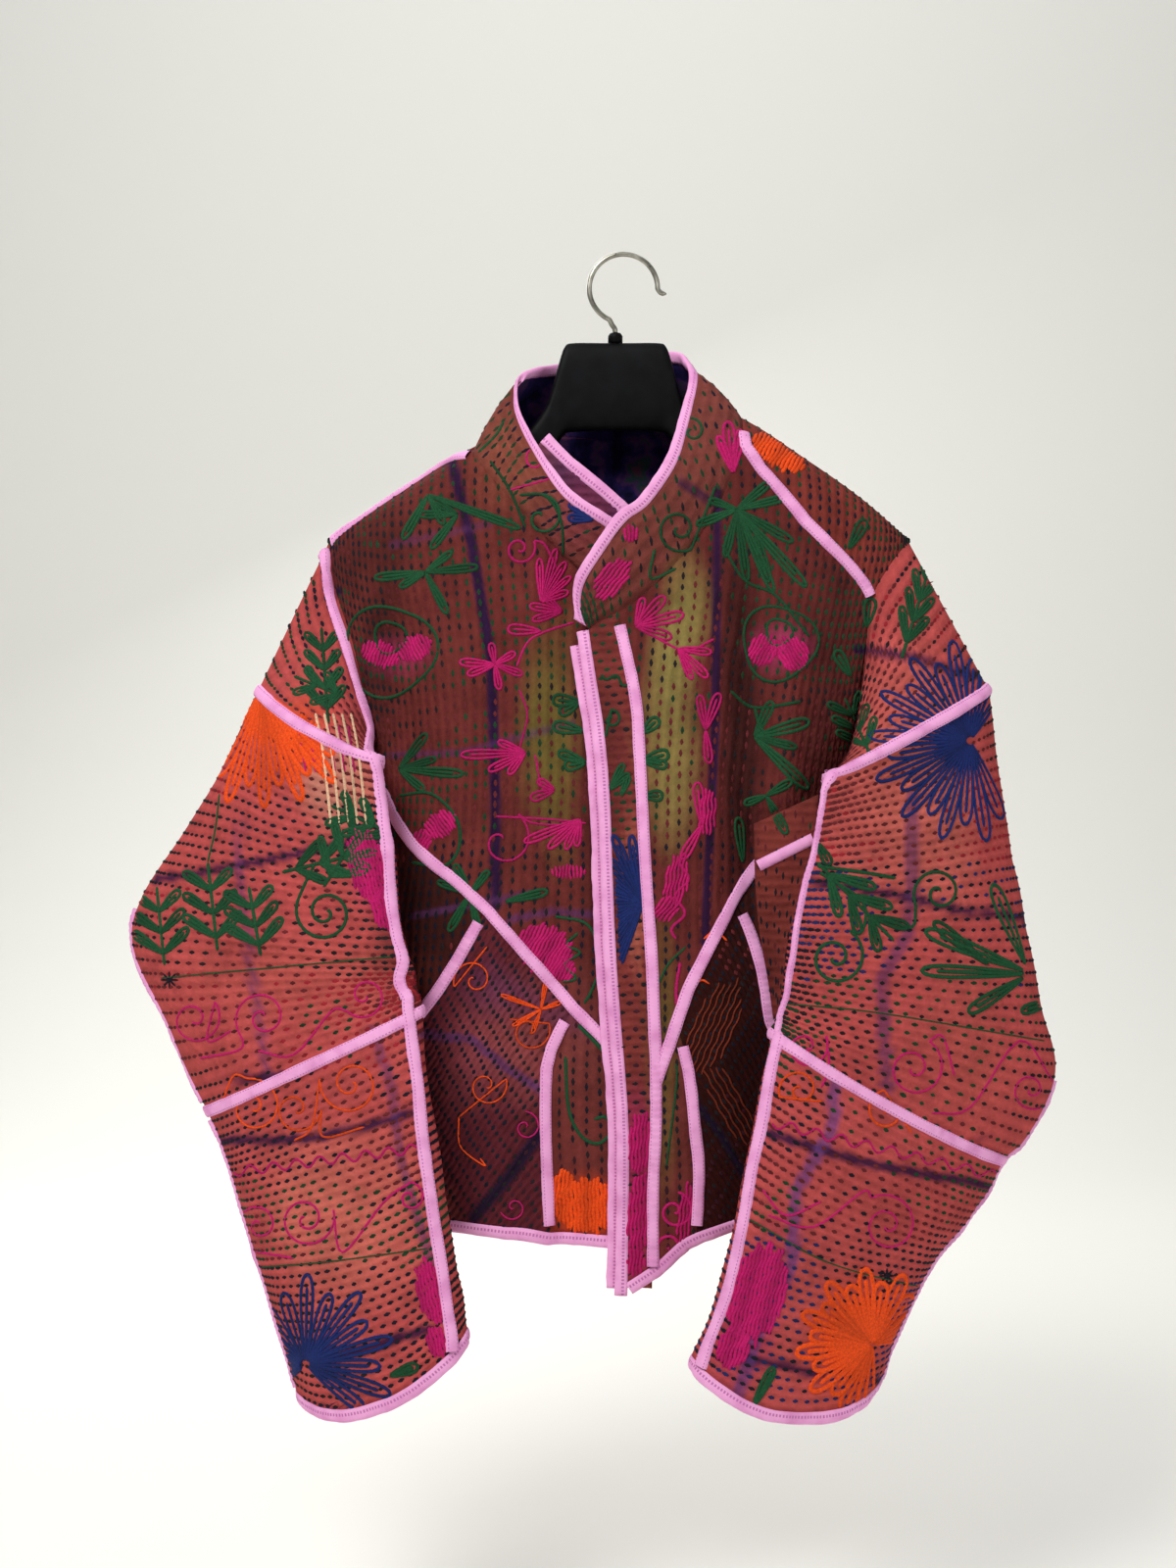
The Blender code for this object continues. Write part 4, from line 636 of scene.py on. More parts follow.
@dataclass(frozen=True)
class Finish:
    """A material: its name, its shader's fixed values, and the strength and depth of its relief."""

    name: str
    fixed: tuple = (("Roughness", 0.95), ("Specular IOR Level", 0.12))
    relief: tuple = ()

    def material(self) -> bpy.types.Material:
        """Builds the material."""
        material = bpy.data.materials.new(self.name)
        material.use_nodes = True
        tree = material.node_tree
        shader = tree.nodes["Principled BSDF"]
        for key, value in self.fixed:
            shader.inputs[key].default_value = value
        node = partial(add_node, tree)
        for key, socket in self.look(node, partial(node, "Math"), node("TexCoord", out="Object")).items():
            if key == "Normal":
                socket = node(
                    "Bump", {"Strength": self.relief[0], "Distance": self.relief[1], "Height": socket},
                )
            tree.links.new(socket, shader.inputs[key])
        return material

    def look(self, node: Callable, sum_of: Callable, solid: bpy.types.NodeSocket) -> dict:
        """What drives the shader.

        Args:
            node: Adds a node.
            sum_of: Adds a node that does sums.
            solid: Places on the object.

        Returns:
            Outputs by shader socket, the height of the relief under Normal.
        """
        return {}

    def noise(
        self, node: Callable, solid: bpy.types.NodeSocket, scale: float, detail: float,
    ) -> bpy.types.NodeSocket:
        """Soft uneven values over the object."""
        return node("TexNoise", {"Vector": solid, "Scale": scale, "Detail": detail})

    def dyed(self, node: Callable, amount: bpy.types.NodeSocket) -> bpy.types.NodeSocket:
        """The piece's own dye, lighter or darker by an amount."""
        dye = node("VertexColor", layer_name="dye")
        return node("VectorMath", (dye, node("CombineXYZ", (amount,) * 3)), operation="MULTIPLY")


@dataclass(frozen=True)
class QuiltFinish(Finish):
    """Soft worn cotton muslin in several layers, held by rows of running stitches that pucker it.

    Matt, with rib and dimple relief along the rows, painted shade in their valleys, a plain weave, and faded
    in soft blotches."""

    name: str = "quilt_worn_printed_muslin"
    relief: tuple = (0.9, 0.0012)

    def look(self, node: Callable, sum_of: Callable, solid: bpy.types.NodeSocket) -> dict:
        """Ribs along the rows, wear and slubs."""
        place = node("UVMap", out="UV", uv_map="cloth")
        beats = [
            sum_of(
                (sum_of((node("SeparateXYZ", (place,), out), 2 * math.pi), operation="MULTIPLY"),),
                operation="COSINE",
            )
            for out in (0, 1)
        ]
        ribs = sum_of((beats[0], 0.12, 1.0), operation="MULTIPLY_ADD")
        ribs = sum_of((ribs, beats[1]), operation="MULTIPLY")
        fade = node("TexNoise", {"Vector": solid, "Scale": 38.0, "Detail": 5.0, "Roughness": 0.62})
        worn, slubs = self.noise(node, solid, 190.0, 3.0), self.noise(node, solid, 900.0, 2.0)
        amount = sum_of((fade, 1.0, 0.18), operation="MULTIPLY_ADD")
        amount = sum_of((worn, 0.5, amount), operation="MULTIPLY_ADD")
        # Painted shade: darker in the valleys between the ribs, where the relief sinks.
        amount = sum_of((ribs, -0.08, amount), operation="MULTIPLY_ADD")
        height = sum_of((ribs, -0.35, 0.5), operation="MULTIPLY_ADD")
        height = sum_of((worn, 1.1, height), operation="MULTIPLY_ADD")
        height = sum_of((slubs, 0.3, height), operation="MULTIPLY_ADD")
        return {"Base Color": self.dyed(node, amount), "Normal": height}


@dataclass(frozen=True)
class LiningFinish(Finish):
    """The inner layer: soft matt cotton printed in navy, with violet and green blotches and dimples."""

    name: str = "lining_navy_printed_cotton"
    relief: tuple = (0.6, 0.0006)
    tones: tuple = (
        (0.38, "#0E0E2A"), (0.50, "#241B4E"), (0.58, "#4B2A58"), (0.66, "#1E3D3A"), (0.74, "#5A3046"),
    )

    def look(self, node: Callable, sum_of: Callable, solid: bpy.types.NodeSocket) -> dict:
        """Blotches of its tones over the stitches' dimples."""
        blotch = node("TexNoise", {"Vector": solid, "Scale": 46.0, "Detail": 3.0, "Roughness": 0.6})
        dots = node("TexVoronoi", {"Vector": solid, "Scale": 165.0}, "Distance")
        return {"Base Color": node("ValToRGB", (blotch,), stops=self.tones), "Normal": dots}


@dataclass(frozen=True)
class TapeFinish(Finish):
    """Pink plain-woven cotton cut on the bias, folded and machine-stitched along its edges.

    Matt, with pulls between its stitches and a worn, slightly soiled crown."""

    name: str = "tape_pink_bias_cotton"
    fixed: tuple = (("Roughness", 0.9), ("Specular IOR Level", 0.15))
    relief: tuple = (0.55, 0.0003)
    tones: tuple = ((0.30, "#E292C8"), (0.56, "#F5ACDD"))
    thread: str = "#C274AE"
    stitch: float = 0.0024

    def look(self, node: Callable, sum_of: Callable, solid: bpy.types.NodeSocket) -> dict:
        """Soil, two lines of stitches and a fine weave."""
        place = node("UVMap", out="UV", uv_map="cloth")
        over, along = (node("SeparateXYZ", (place,), out) for out in (0, 1))
        soiled = node("ValToRGB", (self.noise(node, solid, 60.0, 4.0),), stops=self.tones)
        beat = sum_of((sum_of((along, 2 * math.pi / self.stitch), operation="MULTIPLY"),), operation="SINE")
        from_side = sum_of((sum_of((over, 0.5), operation="SUBTRACT"),), operation="ABSOLUTE")
        line = sum_of((from_side, 0.36, 0.035), operation="COMPARE")
        sewn = sum_of((line, sum_of((beat, 0.0), operation="GREATER_THAN")), operation="MULTIPLY")
        height = sum_of((beat, 0.12, self.noise(node, solid, 1100.0, 2.0)), operation="MULTIPLY_ADD")
        height = sum_of((sewn, -1.2, height), operation="MULTIPLY_ADD")
        return {"Base Color": node("MixRGB", (sewn, soiled, linear(self.thread))), "Normal": height}


@dataclass(frozen=True)
class ThreadFinish(Finish):
    """Dyed embroidery cotton in loosely twisted strands: a faint lustre, with painted shade between the
    strands.
    """

    name: str = "thread_twisted_cotton"
    fixed: tuple = (("Roughness", 0.8), ("Specular IOR Level", 0.2))
    relief: tuple = (0.6, 0.0002)

    def look(self, node: Callable, sum_of: Callable, solid: bpy.types.NodeSocket) -> dict:
        """Strands in relief, with painted shade between them."""
        strands = self.noise(node, solid, 700.0, 3.0)
        return {
            "Base Color": self.dyed(node, sum_of((strands, 1.1, 0.42), operation="MULTIPLY_ADD")),
            "Normal": strands,
        }


@dataclass(frozen=True)
class PlasticFinish(Finish):
    """Injection-moulded black polypropylene: satin, with a fine mould grain and a little dust."""

    name: str = "hanger_moulded_black_polypropylene"
    fixed: tuple = (("Roughness", 0.55), ("Specular IOR Level", 0.12))
    relief: tuple = (0.25, 0.0001)
    tones: tuple = ((0.35, "#030304"), (0.75, "#0B0C0F"))

    def look(self, node: Callable, sum_of: Callable, solid: bpy.types.NodeSocket) -> dict:
        """Dust over the mould grain."""
        dust = node("ValToRGB", (self.noise(node, solid, 90.0, 5.0),), stops=self.tones)
        return {"Base Color": dust, "Normal": self.noise(node, solid, 1400.0, 1.0)}


@dataclass(frozen=True)
class WireFinish(Finish):
    """Zinc-plated drawn steel wire: bright grey-yellow, dulled in patches where it has rubbed."""

    name: str = "hook_zinc_plated_steel_wire"
    fixed: tuple = (("Metallic", 1.0),)
    tones: tuple = ((0.3, "#8F8C80"), (0.7, "#C9C6B8"))

    def look(self, node: Callable, sum_of: Callable, solid: bpy.types.NodeSocket) -> dict:
        """Rubbed patches in colour and roughness."""
        worn = self.noise(node, solid, 140.0, 4.0)
        rough = sum_of((worn, 0.35, 0.14), operation="MULTIPLY_ADD")
        return {"Base Color": node("ValToRGB", (worn,), stops=self.tones), "Roughness": rough}


@dataclass(frozen=True)
class PaperFinish(Finish):
    """Matt pale paper of the backdrop."""

    name: str = "paper_matt_pale"
    fixed: tuple = (("Roughness", 0.95), ("Base Color", linear("#EFEEE8")))


def placed(
    name: str, data: bpy.types.ID, place: Array = (0, 0, 0), turn: tuple = (0, 0, 0),
) -> bpy.types.Object:
    """Puts a mesh, lamp or camera in the scene."""
    thing = bpy.data.objects.new(name, data)
    thing.location, thing.rotation_euler = place, turn
    bpy.context.collection.objects.link(thing)
    return thing


def reworked(mesh: bpy.types.Mesh, work: Callable) -> None:
    """Runs work over a mesh as a bmesh."""
    sheet = bmesh.new()
    sheet.from_mesh(mesh)
    work(sheet)
    sheet.to_mesh(mesh)
    sheet.free()


def ribbons(
    name: str, pieces: list[Array], uv: list[Array], dye: list[Array] | None = None,
    outward: Array | None = None,
) -> bpy.types.Object:
    """Builds one object from grids of points that all have the same number of columns.

    Args:
        name: The object's name.
        pieces: Grids of points, rows by columns by three.
        uv: A flat place for each point, in metres.
        dye: A colour for each point.
        outward: Directions at the first piece's points, for its faces to agree with.

    Returns:
        The object.
    """
    points, columns = np.concatenate(pieces), pieces[0].shape[1]
    sheet = bmesh.new()
    bmesh.ops.create_grid(sheet, x_segments=columns - 1, y_segments=len(points) - 1, size=1)
    flat = np.array([vert.co[:2] for vert in sheet.verts])
    column = np.rint((flat[:, 0] + 1) / 2 * (columns - 1)).astype(int)
    row = np.rint((flat[:, 1] + 1) / 2 * (len(points) - 1)).astype(int)
    owner = np.repeat(np.arange(len(pieces)), [len(piece) for piece in pieces])[row]
    if len(pieces) > 1:
        sheet.verts.index_update()
        apart = [face for face in sheet.faces if len({owner[vert.index] for vert in face.verts}) > 1]
        bmesh.ops.delete(sheet, geom=apart, context="FACES_ONLY")
        bmesh.ops.delete(sheet, geom=[edge for edge in sheet.edges if not edge.link_faces], context="EDGES")
    mesh = bpy.data.meshes.new(name)
    sheet.to_mesh(mesh)
    sheet.free()
    mesh.vertices.foreach_set("co", points[row, column].astype(np.float32).ravel())
    if dye is not None:
        layer = mesh.color_attributes.new(name="dye", type="FLOAT_COLOR", domain="POINT")
        layer.data.foreach_set("color", np.concatenate(dye)[row, column].astype(np.float32).ravel())
    corner = np.empty(len(mesh.loops), np.int32)
    mesh.loops.foreach_get("vertex_index", corner)
    layer = mesh.uv_layers.new(name="cloth")
    layer.data.foreach_set("uv", np.concatenate(uv)[row, column][corner].astype(np.float32).ravel())
    mesh.polygons.foreach_set("use_smooth", np.ones(len(mesh.polygons), bool))
    mesh.update()
    first = pieces[0]
    if outward is not None:
        facing = np.cross(first[:-1, 1:] - first[:-1, :-1], first[1:, :-1] - first[:-1, :-1])
        if (facing * outward[:-1, :-1]).sum() < 0:
            mesh.flip_normals()
    return placed(name, mesh)


def sewn_shut(sheet: bmesh.types.BMesh) -> None:
    """Joins edges of a mesh that lie together."""
    bmesh.ops.remove_doubles(sheet, verts=sheet.verts, dist=1e-6)


def closed_sweep(
    name: str, rings: Array, along: Array | None = None, joined_ends: bool = False,
) -> bpy.types.Object:
    """A solid through equal rings of points, its ends filled unless they are joined.

    Args:
        name: The object's name.
        rings: Rings by points by three.
        along: How far along each ring is, in metres.
        joined_ends: Joins the last ring to the first.

    Returns:
        The object.
    """
    grid = np.concatenate([rings, rings[:, :1]], axis=1)
    along = np.arange(len(grid)) * 0.003 if along is None else along
    if joined_ends:
        grid = np.concatenate([grid, grid[:1]])
        along = np.append(along, 2 * along[-1] - along[-2])
    uv = columns_of(np.linspace(0, 1, grid.shape[1])[None], along[:, None])

    def close(sheet: bmesh.types.BMesh) -> None:
        """Joins the seam and fills the ends."""
        sewn_shut(sheet)
        if not joined_ends:
            bmesh.ops.holes_fill(sheet, edges=[edge for edge in sheet.edges if edge.is_boundary], sides=0)
        bmesh.ops.recalc_face_normals(sheet, faces=sheet.faces)

    piece = ribbons(name, [grid], [uv])
    reworked(piece.data, close)
    return piece


def dress(piece: bpy.types.Object, slot: str, material: bpy.types.Material, *nodes: str) -> bpy.types.Object:
    """Gives a piece its finish, the body it rides on and the solids that it stands for."""
    piece.data.materials.append(material)
    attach(piece, "root")
    if nodes:
        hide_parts(*nodes)
    log.info("%s: %d faces", piece.name, len(piece.data.polygons))
    return piece


def cut_size(points: Array, flat: Array) -> tuple[float, float, float]:
    """Width, length and area of the flat cut that makes a sheet, from its grid and its flat places."""
    one = np.cross(points[:-1, 1:] - points[:-1, :-1], points[1:, :-1] - points[:-1, :-1])
    two = np.cross(points[1:, :-1] - points[1:, 1:], points[:-1, 1:] - points[1:, 1:])
    area = (np.linalg.norm(one, axis=-1).sum() + np.linalg.norm(two, axis=-1).sum()) / 2
    wide, long = np.ptp(flat[..., 0]), np.ptp(flat[..., 1])
    return float(wide * max(1.0, 1.001 * area / (wide * long))), float(long), float(area)


def distance_to(line: Array, points: Array) -> Array:
    """How far each point of the picture is from a line of its points."""
    best = np.full(len(points), np.inf)
    for start, end in zip(line[:-1], line[1:]):
        share = np.clip(((points - start) @ (end - start)) / max((end - start) @ (end - start), 1e-9), 0, 1)
        best = np.minimum(best, np.linalg.norm(points - start - share[:, None] * (end - start), axis=1))
    return best


@dataclass
class Dyer:
    """Colours cloth by where it hangs in the picture: the ground, its soft blotches, some of them painted
    shade, then its stripes.

    Places and sizes are points of the picture."""

    blotches: list[tuple]
    stripes: list[tuple]

    def colours(self, points: Array, ground: str) -> Array:
        """Linear colours for points in space, over a ground colour."""
        seen, solid = picture_points(points).reshape(-1, 2), points.reshape(-1, 3)
        colour = np.tile(linear(ground), (len(seen), 1))
        wobble = ripple(solid[:, 0], solid[:, 2] + solid[:, 1], 0.03, 21)
        for x, y, wide, tall, lean, tone, strength in self.blotches:
            turn = turned(lean)
            off = (seen - (x, y)) @ turn
            out = np.hypot(off[:, 0] / wide, off[:, 1] / tall)
            amount = np.clip(1.45 - out + 0.25 * wobble, 0, 1)[:, None]
            colour = mixed(colour, np.array(linear(tone)), amount * strength)
        for wide, tone, strength, *line in self.stripes:
            near = distance_to(np.array(line, float), seen)
            amount = np.clip((wide / 2 + 1.5 - near) / 3.0, 0, 1)[:, None]
            colour = mixed(colour, np.array(linear(tone)), amount * strength)
        return colour.reshape(*points.shape[:-1], 4)


@dataclass
class TwoSidedDyer(Dyer):
    """Dyes cloth that faces forward like the front, and cloth that faces back like the back."""

    behind: Dyer | None = None

    def colours(self, points: Array, ground: str) -> Array:
        """Colours for a sleeve's points, changed over where it turns away."""
        middle = (points.min(axis=1, keepdims=True) + points.max(axis=1, keepdims=True))[..., 1:2] / 2
        share = np.clip((points[..., 1:2] - middle) / 0.016 + 0.5, 0, 1)
        return mixed(super().colours(points, ground), self.behind.colours(points, ground), share)


class Ink(Enum):
    """Colours of the embroidery cottons."""

    GREEN = "#17482A"
    MAGENTA = "#B3145F"
    ORANGE = "#E04A12"
    NAVY = "#16255E"
    BLACK = "#15101C"
    PALE = "#D9B08F"
    RUST = "#6E2814"


@dataclass
class Canvas:
    """Lays drawings on the cloth as they look from one eye point. Their places are points of the picture."""

    cloth: BVHTree
    eye: Array

    def on_cloth(self, seen: Array) -> tuple[Array, Array, Array]:
        """Points, outward directions and whether they met cloth, for places of the picture."""
        points, normals, met = np.zeros((len(seen), 3)), np.zeros((len(seen), 3)), np.zeros(len(seen), bool)
        for i, (x, y) in enumerate(seen):
            target = np.array([(x - POINT_ORIGIN[0]) * POINT, 0.0, (POINT_ORIGIN[1] - y) * POINT])
            ray = Vector(target - self.eye).normalized()
            hit, normal, _, _ = self.cloth.ray_cast(Vector(self.eye), ray)
            if hit is not None:
                points[i], normals[i], met[i] = hit, normal * (-1.0 if normal.dot(ray) > 0 else 1.0), True
        return points, normals, met

    def strand(self, line: Array, width: float, height: float, pitch: float) -> list[Array]:
        """Lays one line of thread.

        Args:
            line: The line, in points of the picture.
            width: Its width in metres.
            height: How far it stands out in metres.
            pitch: Length of one stitch in metres.

        Returns:
            Grids of points, five columns wide.
        """
        line = np.asarray(line, float)
        points, normals, met = self.on_cloth(spaced(line, max(3, int(run_of(line)[-1] / 2.4) + 2)))
        jump = np.linalg.norm(np.diff(points, axis=0), axis=1) > 0.012
        cuts = np.flatnonzero(jump | (met[1:] != met[:-1])) + 1
        grids = []
        for run in np.split(np.arange(len(points)), cuts):
            if len(run) < 3 or not met[run[0]]:
                continue
            place, facing = points[run], normals[run].copy()
            for _ in range(2):
                facing[1:-1] = unit(facing[:-2] + facing[1:-1] * 2 + facing[2:])
            side = unit(np.cross(unit(np.gradient(place, axis=0)), facing))
            beat = 0.78 + 0.22 * np.abs(np.sin(run_of(place) * math.pi / pitch))
            beat[0] = beat[-1] = 0.35
            columns = []
            for across, rise in ((-0.5, -0.35), (-0.3, 0.7), (0.0, 1.0), (0.3, 0.7), (0.5, -0.35)):
                lift = np.where(rise > 0, rise * beat, rise)[:, None] * height
                columns.append(place + side * across * width * beat[:, None] + facing * lift)
            grids.append(np.stack(columns, axis=1))
        return grids


def spiral(x: float, y: float, size: float, turns: float, start: float, *tail: tuple) -> Array:
    """A coil that winds out from its middle, and may run on to a tail.

    Args:
        x: Its middle's x.
        y: Its middle's y.
        size: Its outer radius.
        turns: How many times it goes round, negative for the other way.
        start: The angle where it ends outside, in degrees, 90 being up.
        tail: Places that the line runs on through.

    Returns:
        Its line.
    """
    share = np.linspace(0.08, 1, int(26 * abs(turns)))
    angle = math.radians(start) - (1 - share) * turns * 2 * math.pi
    line = columns_of(x + size * share * np.cos(angle), y - size * share * np.sin(angle))
    return np.concatenate([line, curve([line[-1], *tail], 16)[1:]]) if tail else line


def leaf(x: float, y: float, length: float, lean: float, width: float) -> Array:
    """A blunt leaf or petal from its foot, at lean degrees from the right towards up, and a line inside."""
    share = np.concatenate([np.linspace(0, 1, 10), np.linspace(1, 0, 10)[1:], np.linspace(0.1, 0.72, 7)])
    reach = 1 - (1 - share) ** 1.5
    side = np.repeat([1, -1, 0], [10, 9, 7]) * reach**0.7 * np.sqrt(1 - reach**5) * width / 2
    return (x, y) + columns_of(reach * length, -side) @ turned(lean)


def petals(foot: tuple, *each: tuple) -> list[Array]:
    """Leaves or petals from one place, each given as its lean in degrees, length and width."""
    return [leaf(*foot, length, lean, width) for lean, length, width in each]


def kept(line: Array, slope: float, level: float, left: float, right: float) -> list[Array]:
    """The stretches of a line inside an upright strip whose sides lean by slope below a level."""
    line = spaced(line, 60)
    across = line[:, 0] - slope * (line[:, 1] - level)
    within = (across > left) & (across < right)
    cuts = np.flatnonzero(np.diff(within.astype(int))) + 1
    return [
        part for part, good in zip(np.split(line, cuts), np.split(within, cuts)) if good[0] and len(part) > 2
    ]


def sprig(
    foot: tuple, tip: tuple, pairs: int, length: float, spread: float = 42, width: float = 9,
) -> list[Array]:
    """A stem with pairs of slim leaves.

    Args:
        foot: Where the stem starts.
        tip: Where it ends.
        pairs: How many pairs of leaves it has.
        length: Length of the longest leaf.
        spread: How far the leaves lean from the stem, in degrees.
        width: Width of a leaf.

    Returns:
        Its lines.
    """
    lean = math.degrees(math.atan2(foot[1] - tip[1], tip[0] - foot[0]))
    lines = [curve([foot, tip], 12)]
    for share in 0.15 + 0.8 * np.arange(pairs) / pairs:
        size = length * (1 - 0.3 * share)
        leaves = (lean + spread, size, width), (lean - spread, size * 0.9, width)
        lines += petals(mixed(np.array(foot), np.array(tip), share), *leaves)
    return lines


def fan(
    x: float, y: float, inner: float, outer: float, first: float, last: float, count: int, width: float,
) -> list[Array]:
    """A flower of long petals spread about a point, each an outline with a line inside.

    Args:
        x: Its middle's x.
        y: Its middle's y.
        inner: Where petals start.
        outer: Where the longest end.
        first: Direction of the first petal in degrees, 90 being up.
        last: Direction of the last.
        count: How many petals.
        width: Width of a petal.

    Returns:
        Its lines.
    """
    leans = np.linspace(first, last, count)
    feet = (x, y) + inner * columns_of(np.cos(np.radians(leans)), -np.sin(np.radians(leans)))
    lengths = (outer - inner) * np.where(np.arange(count) % 2, 1.0, 0.82)
    return [leaf(*foot, length, lean, width) for foot, length, lean in zip(feet, lengths, leans)]


def filled(x: float, y: float, wide: float, tall: float, lean: float, gap: float = 3.6) -> list[Array]:
    """Close rows of thread that fill a blossom-edged oval."""
    lines = []
    for number, across in enumerate(np.arange(-wide + gap / 2, wide, gap)):
        edge = tall * math.sqrt(max(1 - (across / wide) ** 2, 0.02)) * (1 + 0.1 * math.sin(number * 1.9))
        down = np.linspace(-edge, edge * (0.9 + 0.1 * math.cos(number * 2.3)), max(3, int(edge / 2)))
        line = (x, y) + columns_of(across, down) @ turned(-lean)
        lines.append(line + columns_of(np.sin(down * 0.3 + number) * 0.8, 0.0))
    return lines


def lips(x: float, y: float, size: float) -> list[Array]:
    """The outline of a rounded blossom, with a bud inside."""
    angle = np.linspace(0, 2 * math.pi, 40)
    reach = (size * (1 + 0.08 * np.sin(3 * angle + 1)))[:, None]
    outline = (x, y) + reach * columns_of(np.cos(angle), -np.sin(angle))
    return [outline, outline * 0.35 + np.array([x, y - size * 0.45]) * 0.65]


def wave(start: tuple, end: tuple, count: float, rise: float) -> Array:
    """A wavy line between two places."""
    share = np.linspace(0, 1, int(10 * count))[:, None]
    ahead = unit(np.subtract(end, start).astype(float))
    swing = np.sin(share * count * 2 * math.pi) * rise
    return mixed(np.array(start), np.array(end), share) + swing * (-ahead[1], ahead[0])


def star(x: float, y: float, size: float) -> list[Array]:
    """A small star of crossing stitches."""
    arms = [np.array([math.cos(turn), math.sin(turn)]) * size for turn in np.linspace(0, math.pi, 5)[:4]]
    return [np.array([(x, y) - arm, (x, y), (x, y) + arm]) for arm in arms]


